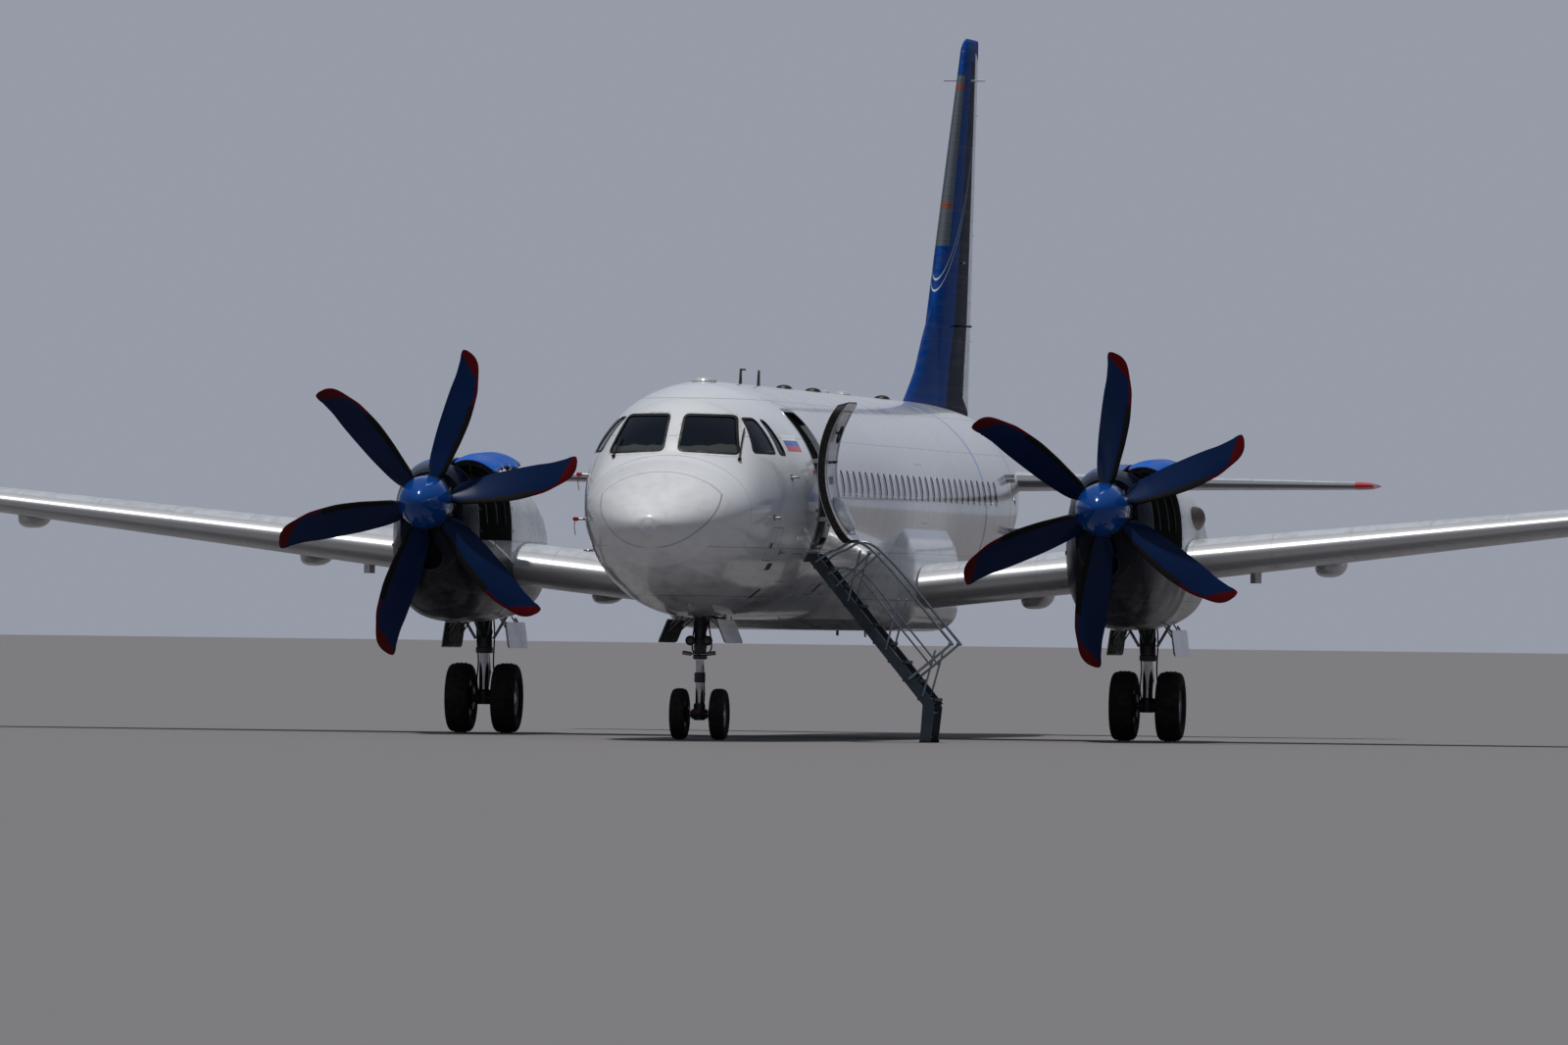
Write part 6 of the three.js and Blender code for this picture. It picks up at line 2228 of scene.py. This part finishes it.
def tyre_shape(spec):
    """A tyre about X: rounded sidewalls, a flat tread with grooves, a bead at the rim."""
    half, tall = spec["width"] / 2, spec["radius"] - spec["rim"]
    outer = []
    for a in np.linspace(-math.pi * 0.5, math.pi * 0.5, 31):
        x = half * math.copysign(abs(math.sin(a)) ** 0.75, a)
        r = spec["radius"] - tall * 0.52 * (1 - abs(math.cos(a)) ** 0.62)
        for groove in (-0.55, -0.2, 0.2, 0.55):
            if abs(x / half - groove) < 0.045 and abs(x / half) < 0.7:
                r -= 8
        outer.append((r, x))
    bead = [
        (spec["rim"] + tall * 0.30, half * 0.96),
        (spec["rim"] + tall * 0.12, half * 0.84),
        (spec["rim"], half * 0.74),
    ]
    profile = [(r, -x) for r, x in bead[::-1]] + outer + bead
    return turned(profile, 72, "x", 0, wrap=True)


def wheel_shape(spec):
    """Rim, spokes and bolts about X: metal 0, dark 1, steel 2."""
    rim, half = spec["rim"], spec["width"] * 0.36
    profile = [
        (24, -half + 6), (rim * 0.34, -half + 2), (rim * 0.40, -half + 22), (rim * 0.74, -half + 34),
        (rim * 0.86, -half + 14), (rim - 2, -half), (rim - 1, half), (rim * 0.86, half - 14),
        (rim * 0.74, half - 34), (rim * 0.40, half - 22), (rim * 0.34, half - 2), (24, half - 6),
    ]
    parts = [turned(profile, 56, "x", 0)]
    for a in around(SPOKES):
        y, z = rim * 0.60 * math.cos(a), rim * 0.60 * math.sin(a)
        for side in (-1, 1):
            parts.append(rod((side * (half - 36), y, z), (side * (half - 26), y, z), rim * 0.12, 18, 1))
            b = a + math.pi / SPOKES
            y2, z2 = rim * 0.79 * math.cos(b), rim * 0.79 * math.sin(b)
            parts.append(rod((side * (half - 34), y2, z2), (side * (half - 12), y2, z2), 9, 6, 2))
    return joined(*parts)


def gear_wheels(name, body, spec, x, at, nodes):
    place = (x, station(at), spec["radius"])
    wheels = piece(name + "_hubs", body, "wheel_metal", "wheel", "dark", "steel")
    tyres = piece(name + "_tyres", body, "tyre_rubber", "rubber")
    for side in (-1, 1):
        wheels.add(wheel_shape(spec).shifted(*place).shifted(side * spec["spread"]))
        tyres.add(tyre_shape(spec).shifted(*place).shifted(side * spec["spread"]))
    reach = spec["spread"] + spec["width"] * 0.36
    axle = 34 if spec is NOSE_WHEEL else 46
    wheels.add(rod((x - reach, place[1], place[2]), (x + reach, place[1], place[2]), axle, 24), 2)
    # Brake packs on the inner sides
    thick, drum = 56, spec["rim"] * 0.66
    profile = [(axle, 0), (spec["rim"] * 0.62, 2), (drum, 14), (drum, thick - 12), (axle, thick)]
    brake = turned(profile, 40, "x", 1)
    inner_face = spec["spread"] - spec["width"] * 0.36 - 58
    for start in (-inner_face - thick, inner_face):
        wheels.add(brake.shifted(*place).shifted(start))

    def plan(px, py, pz):
        r = np.hypot(py - place[1], pz - place[2]) / spec["radius"]
        return px * MM, r, np.arctan2(pz - place[2], py - place[1]) / (2 * np.pi)

    tyres.done(*nodes[1:], plan=plan, sharp=50)
    wheels.done(nodes[0])


def link(points, thick, x):
    """A flat forged link of (station, height) points, centred on x."""
    outline = rounded([(station(at), z) for at, z in points], 14, 4)
    return prism("yz", outline, x - thick / 2, x + thick / 2)


def add_nose_gear():
    at, y = NOSE_GEAR_STATION, station(NOSE_GEAR_STATION)
    upper = piece(
        "nose_gear_upper_leg", "airframe", "gear_paint", "gear", "steel", "metal", "headlamp", "hose", "dark"
    )
    profile = [
        (64, 964), (84, 970), (86, 1010), (74, 1016), (74, 1100), (80, 1104), (80, 1130), (72, 1134),
        (72, 1600), (92, 1606), (92, 1770), (76, 1776), (76, 1899),
    ]
    upper.add(turned(profile, 36, "z").shifted(0, y), 0)
    upper.add(rod((0, y, 1150), (0, y + 520, 1868), 32, 16), 0)
    for way in (-1, 1):
        upper.add(rod((26 * way, y + 60, 1210), (150 * way, y + 420, 1860), 15, 12), 1)
    upper.add(block((-230, y - 46, 1645), (230, y + 46, 1735), 16), 0)
    lamp = [(26, 34), (46, 20), (58, -14), (60, -46), (54, -52)]
    lens = [(4, -54), (32, -53), (53, -48), (53, -38)]
    hose = ((60, 78, 1000), (118, 120, 1120), (84, 96, 1420), (90, 60, 1700))
    for way in (-1, 1):
        for profile, look in ((lamp, 5), (lens, 3)):
            upper.add(turned(profile, 32).shifted(way * 104, y - 66, 1190), look)
        upper.add(block((min(0, way * 100), y - 84, 1176), (max(0, way * 100), y - 62, 1204), 6), 0)
        # Steering jacks across the front of the collar
        upper.add(rod((way * 92, y - 92, 1030), (way * 200, y - 70, 1045), 24, 16), 2)
        upper.add(rod((way * 20, y - 96, 1028), (way * 92, y - 92, 1030), 12, 12), 1)
        upper.add(tube(smooth_path([(way * off, y + aft, z) for off, aft, z in hose], 8), 9, 8), 4)
    upper.done("nose_gear_leg")
    lower = piece("nose_gear_lower_leg", "nose_steering", "gear_paint", "gear", "steel", "hose", "red")
    piston = [(49, 250), (49, 700), (49, 958)]
    fork = [(60, 236), (70, 244), (70, 420), (58, 440)]
    collar = [(58, 690), (66, 698), (66, 800), (58, 808)]
    for profile, look in ((piston, 1), (fork, 0), (collar, 0)):
        lower.add(turned(profile, 36, "z").shifted(0, y), look)
    lower.add(rod((-98, y, 310), (98, y, 310), 58, 28), 0)
    # Torque links, as places aft of the leg's centre and heights
    below = [(44, 415), (60, 478), (196, 560), (214, 530), (196, 500)]
    above = [(40, 735), (58, 790), (214, 590), (214, 548), (190, 530)]
    for x in (-24, 24):
        for points in (below, above):
            lower.add(link([(at + aft, z) for aft, z in points], 16, x), 0)
    lower.add(rod((-38, y + 200, 548), (38, y + 200, 548), 17, 14), 1)
    lower.add(block((-42, y + 30, 730), (42, y + 76, 798), 10), 0)
    lower.add(block((-45, y - 150, 300), (45, y - 40, 360), 8), 0)
    lower.add(ring((0, y - 118, 330), 42, 9, "z", 25, 8), 3)
    hose = [(30, y - 40, 330), (66, y - 60, 470), (62, y - 58, 700), (50, y - 54, 900)]
    lower.add(tube(smooth_path(hose, 8), 7, 8), 2)
    lower.done("nose_steering_leg")
    gear_wheels(
        "nose_gear", "nose_wheel_pair", NOSE_WHEEL, 0, at,
        ("nose_wheels", "nose_tyre_port", "nose_tyre_starboard"),
    )


def add_main_gear(side, sign):
    x, at, y = sign * NACELLE_X, MAIN_GEAR_STATION, station(MAIN_GEAR_STATION)
    leg = piece(f"main_gear_{side}_strut", "airframe", "gear_paint", "gear", "steel", "hose", "metal", "dark")
    profile = [
        (92, 1000), (108, 1008), (108, 1070), (95, 1078), (95, 1240), (102, 1246), (102, 1290), (94, 1296),
        (94, 1520), (118, 1530), (118, 1700), (98, 1706), (98, 1779),
    ]
    leg.add(turned(profile, 40, "z").shifted(x, y), 0)
    piston, fork = [(62, 400), (62, 700), (62, 1010)], [(76, 360), (90, 370), (90, 520), (70, 545)]
    for profile, look in ((piston, 1), (fork, 0)):
        leg.add(turned(profile, 36, "z").shifted(x, y), look)
    leg.add(rod((x - 108, y, 440), (x + 108, y, 440), 76, 32), 0)
    leg.add(rod((x, y, 1150), (x, y - 620, 1738), 38, 18), 0)
    for way in (-1, 1):
        leg.add(rod((x + way * 30, y - 40, 1180), (x + way * 200, y - 300, 1750), 20, 12), 1)
    leg.add(block((x - 300, y - 46, 1565), (x + 300, y + 46, 1655), 18), 0)
    below = [(60, 470), (70, 530), (236, 770), (262, 745), (246, 715)]
    above = [(60, 1085), (84, 1120), (266, 790), (262, 750), (226, 742)]
    for offset in (-30, 30):
        for points in (below, above):
            leg.add(link([(at + aft, z) for aft, z in points], 20, x + offset), 0)
    leg.add(rod((x - 48, y + 244, 760), (x + 48, y + 244, 760), 22, 16), 1)
    hose = ((70, 60, 480), (110, 110, 650), (96, 120, 900), (112, 80, 1260), (90, 60, 1560))
    for way in (-1, 1):
        leg.add(tube(smooth_path([(x + way * off, y + aft, z) for off, aft, z in hose], 8), 9, 8), 2)
        leg.add(rod((x + way * 112, y, 1180), (x + way * 300, y - 20, 1500), 18, 12), 3)
    leg.done("main_gear_leg_" + side)
    gear_wheels(
        "main_gear_" + side, side + "_wheel_pair", MAIN_WHEEL, x, at,
        ("main_wheels_" + side, "main_tyre_outer_" + side, "main_tyre_inner_" + side),
    )


def bay_door(x, start, end, high, depth, splay):
    """A hanging bay door: painted outside 0, primed inside 1, arms 2."""
    outline = rounded(rectangle(station(start), station(end), -depth, 0), 60)
    shell = prism("yz", outline, 3, 14, 0)
    lining = prism("yz", grown(outline, -12), -8, 3, 1)
    parts = [shell, lining]
    for at in np.linspace(start + 90, end - 90, 7):
        parts.append(block((-14, station(at) - 12, -depth + 30), (-8, station(at) + 12, -26), 2).painted(1))
    for z in (-depth + 42, -depth * 0.5, -36):
        parts.append(block((-13, station(start) + 40, z - 9), (-8, station(end) - 40, z + 9), 2).painted(1))
    for at in (start + 220, end - 220):
        parts.append(rod((-10, station(at), -60), (-70, station(at), 60), 14, 10).painted(2))
        parts.append(rod((-10, station(at) + 60, -150), (-120, station(at) + 60, 90), 9, 10).painted(2))
    turn = Matrix.Translation((x, 0, high)) @ Matrix.Rotation(math.radians(-splay), 4, "Y")
    return joined(*parts).moved(turn)


def add_bay_doors():
    nose = bay_door(290, 3360, 4680, 1440, 300, 22)
    main = bay_door(GEAR_BAY["half"] + 45, 12450, 13850, 1392, 330, 8)
    for side, sign in SIDES:
        door = piece(f"nose_bay_door_{side}", "airframe", "white_paint", "white", "primer", "metal")
        door.add(nose.sided(sign))
        door.done("nose_gear_door_" + side)
        for edge, way in (("outer", 1), ("inner", -1)):
            name = f"main_bay_door_{edge}_{side}"
            door = piece(name, "airframe", "white_paint", "white", "primer", "metal")
            door.add(main.sided(sign * way).shifted(sign * NACELLE_X))
            door.done(f"main_gear_door_{edge}_{side}")


def top_at(at):
    return float(section(at)[1])


def bottom_at(at):
    return float(section(at)[2])


def add_crown():
    """Aerials and a beacon along the top of the fuselage."""
    crown = piece("crown_aerials", "airframe", "white_paint", "aerial", "dark", "steel")
    puck = turned([(150, -6), (150, 8), (128, 34), (70, 44), (4, 46)], 36, "z")
    crown.add(puck.shifted(0, station(4060), top_at(4060) - 2), 0)
    for at, tall, bent in ((6850, 200, True), (8270, 205, False)):
        y, low = station(at), top_at(at) - 8
        high = low + tall
        outline = [(y - 60, low), (y + 60, low), (y + 40, high), (y + 4, high)]
        crown.add(prism("yz", rounded(outline, 14), -11, 11), 1)
        if bent:
            crown.add(block((-8, y, high - 22), (60, y + 42, high - 2), 5), 1)
    dome = turned([(105, -8), (104, 8), (84, 34), (44, 50), (4, 54)], 32, "z")
    foot = turned([(118, -9), (117, 3), (104, 8)], 32, "z")
    for at, look in ((10300, 1), (12650, 1), (15100, 0), (18500, 1)):
        place = (0, station(at), top_at(at) - 2)
        crown.add(dome.shifted(*place), look)
        crown.add(foot.shifted(*place), 2)
    beacon = turned([(46, -6), (45, 12), (34, 32), (14, 42), (3, 44)], 24, "z")
    crown.add(beacon.shifted(0, station(13700), top_at(13700)), 0)
    crown.done()


# Probes on the nose: side, station, height, and whether a red cover is on
PROBES = (
    (-1, 2320, 3150, True), (-1, 2320, 2620, True), (1, 2320, 2660, False),
    (1, 2900, 2250, False), (-1, 2900, 2250, False), (1, 3050, 3150, False),
)
# Vents in the lower skin: station, height, half width, half height
VENTS = ((2750, 2080, 90, 36), (3150, 1760, 60, 50), (6650, 1850, 90, 50), (2450, 2330, 30, 30))


def add_nose_fittings():
    """Probes, some with a red cover and its ribbon, small marks and vents."""
    probes = piece("nose_probes", "airframe", "gear_paint", "steel", "red", "dark", "metal")
    for side, at, z, covered in PROBES:
        foot = np.array([float(skin_x(at, z)) - 6, station(at), z])
        knee = foot + np.array([96, -10, 0])

        def off_knee(x, y, up=0):
            return knee + np.array([x, y, up])

        parts = [rod(foot, knee, 13, 12, 3), rod(off_knee(0, 14), off_knee(0, -190), 11, 12, 0, 7)]
        if covered:
            parts.append(rod(off_knee(0, -40), off_knee(0, -215), 24, 14, 1))
            ribbon = [off_knee(0, -170, -10), off_knee(8, -176, -90), off_knee(-6, -170, -190)]
            parts.append(tube(smooth_path(ribbon, 5), 15, 8, 1, flat=0.25))
        probes.add(joined(*parts).sided(side))
        plate = rounded(rectangle(at - 45, at + 45, z - 38, z + 38), 20)
        probes.add(skin_panel(on_side, plate, -2, 3, 4, 3).sided(side))
    # Small red and pale marks ahead of the entrance
    for z in (3205, 2740):
        for i, look in enumerate((1, 3, 1)):
            mark = rectangle(4010 + 38 * i, 4044 + 38 * i, z, z + 44)
            probes.add(skin_panel(on_side, rounded(mark, 4, 3), -1.5, 2, 3, look))
    for at, z, width, height in VENTS:
        vent = rounded(rectangle(at - width, at + width, z - height, z + height), 16)
        probes.add(skin_panel(on_side, vent, -1.0, 3, 4, 2))
        probes.add(skin_band(on_side, vent, 0, 8, -2.5, 3, 3))
    probes.done()


def add_keel_fittings():
    """Aerials and drain masts under the fuselage, and the tail cone's outlet."""
    keel = piece("keel_fittings", "airframe", "gear_paint", "dark", "aerial", "metal")
    for at, tall in ((17300, 190), (18300, 120)):
        y, root = station(at), bottom_at(at)
        outline = [(y - 90, root + 10), (y + 90, root + 10), (y + 70, root - tall), (y, root - tall)]
        keel.add(prism("yz", rounded(outline, 16), -9, 9), 1)
    for at in (5600, 9400, 19100):
        y, root = station(at), bottom_at(at)
        keel.add(rod((120, y, root + 20), (128, y + 50, root - 70), 9, 10), 2)
    keel.add(rod((0, station(LENGTH) - 30, 3565), (0, station(LENGTH) + 2, 3565), 62, 24), 2)
    keel.done()


# Studio: a large pale floor, even sky light and one soft sun as in the photograph
FLOOR_REACH = 6000
SUN = {"energy": 1.95, "angle": 3, "color": (1.0, 0.965, 0.91), "towards": (-0.09, -0.16, 0.98)}
# Sky colours by the upward part of the direction
HORIZON, MIDDLE_SKY, TOP_SKY = (0.287, 0.305, 0.356, 1), (0.33, 0.37, 0.45, 1), (0.72, 0.80, 0.94, 1)
# The haze glows behind the aircraft and is dimmer on the other sides
GLOW = {"From Min": 0.78, "From Max": 0.95, "To Min": 0.33, "To Max": 1.0}


def add_floor():
    look = Look("floor", (0.25, 0.242, 0.25), rough=0.8, specular=0.2)
    look.tint(look.scaled(look.noise(0.02, 4.0), 0.12), (0.20, 0.195, 0.20))
    look.tint(look.scaled(look.noise(1.5, 5.0), 0.08), (0.17, 0.165, 0.17))
    look.made()
    mesh = bpy.data.meshes.new("floor")
    corners = [(x, y, 0) for x, y in rectangle(-FLOOR_REACH, FLOOR_REACH, -FLOOR_REACH, FLOOR_REACH)]
    mesh.from_pydata(corners, [], [(0, 1, 2, 3)])
    mesh.materials.append(look.material)
    floor = bpy.data.objects.new("floor", mesh)
    bpy.context.scene.collection.objects.link(floor)


def add_sun():
    sun = bpy.data.lights.new("sun", "SUN")
    sun.energy = SUN["energy"]
    sun.angle = math.radians(SUN["angle"])
    sun.color = SUN["color"]
    lamp = bpy.data.objects.new("sun", sun)
    lamp.rotation_euler = Vector(SUN["towards"]).to_track_quat("Z", "Y").to_euler()
    bpy.context.scene.collection.objects.link(lamp)


def add_haze():
    world = bpy.data.worlds.new("haze")
    bpy.context.scene.world = world
    world.use_nodes = True
    tree = world.node_tree
    color, strength = tree.nodes["Background"].inputs[:2]
    split = tree.nodes.new("ShaderNodeSeparateXYZ")
    tree.links.new(tree.nodes.new("ShaderNodeTexCoord").outputs["Generated"], split.inputs[0])
    ramp = tree.nodes.new("ShaderNodeValToRGB")
    tree.links.new(split.outputs["Z"], ramp.inputs[0])
    stops = ramp.color_ramp.elements
    stops[0].color, stops[1].color = HORIZON, TOP_SKY
    for place, tone in ((0.06, HORIZON), (0.35, MIDDLE_SKY)):
        stops.new(place).color = tone
    tree.links.new(ramp.outputs[0], color)
    glow = tree.nodes.new("ShaderNodeMapRange")
    for socket, value in GLOW.items():
        glow.inputs[socket].default_value = value
    tree.links.new(split.outputs["Y"], glow.inputs["Value"])
    tree.links.new(glow.outputs[0], strength)


# A long lens from far away and low down. It looks past the main gear, turned and tilted by a little.
CAMERA = {
    "lens": 400, "sensor": 36, "near": 1.0, "far": 20000, "spot": (32.97, -215.8, 1.2),
    "pan": 0.108, "tilt": 0.389, "roll": 0.7,
}


def add_camera():
    camera = bpy.data.cameras.new("camera")
    camera.lens = CAMERA["lens"]
    camera.sensor_width = CAMERA["sensor"]
    camera.clip_start = CAMERA["near"]
    camera.clip_end = CAMERA["far"]
    thing = bpy.data.objects.new("camera", camera)
    bpy.context.scene.collection.objects.link(thing)
    spot = Vector(CAMERA["spot"])
    heading = Vector((0, station(MAIN_GEAR_STATION) * MM, spot.z)) - spot
    pan, tilt, roll = (math.radians(CAMERA[key]) for key in ("pan", "tilt", "roll"))
    turn = (
        Matrix.Rotation(math.atan2(heading.y, heading.x) - math.pi / 2 + pan, 4, "Z")
        @ Matrix.Rotation(math.pi / 2 + tilt, 4, "X")
        @ Matrix.Rotation(roll, 4, "Z")
    )
    thing.matrix_world = Matrix.Translation(spot) @ turn
    bpy.context.scene.camera = thing


bpy.context.scene.view_settings.view_transform = "Standard"
bpy.context.scene.view_settings.look = "Medium High Contrast"
LOOKS["nacelle_port"] = nacelle_look("nacelle_port_paint", NACELLE_X)
LOOKS["nacelle_starboard"] = nacelle_look("nacelle_starboard_paint", -NACELLE_X)
add_floor()
add_sun()
add_haze()
add_camera()
add_cockpit()
add_flight_deck()
add_entry_section()
add_centre_fuselage()
add_rear_fuselage()
add_front_door()
add_airstair()
add_belly()
add_wings()
add_fin()
add_tailplanes()
add_nacelles()
add_propellers()
add_nose_gear()
for side_name, side_sign in SIDES:
    add_main_gear(side_name, side_sign)
add_bay_doors()
add_crown()
add_nose_fittings()
add_keel_fittings()
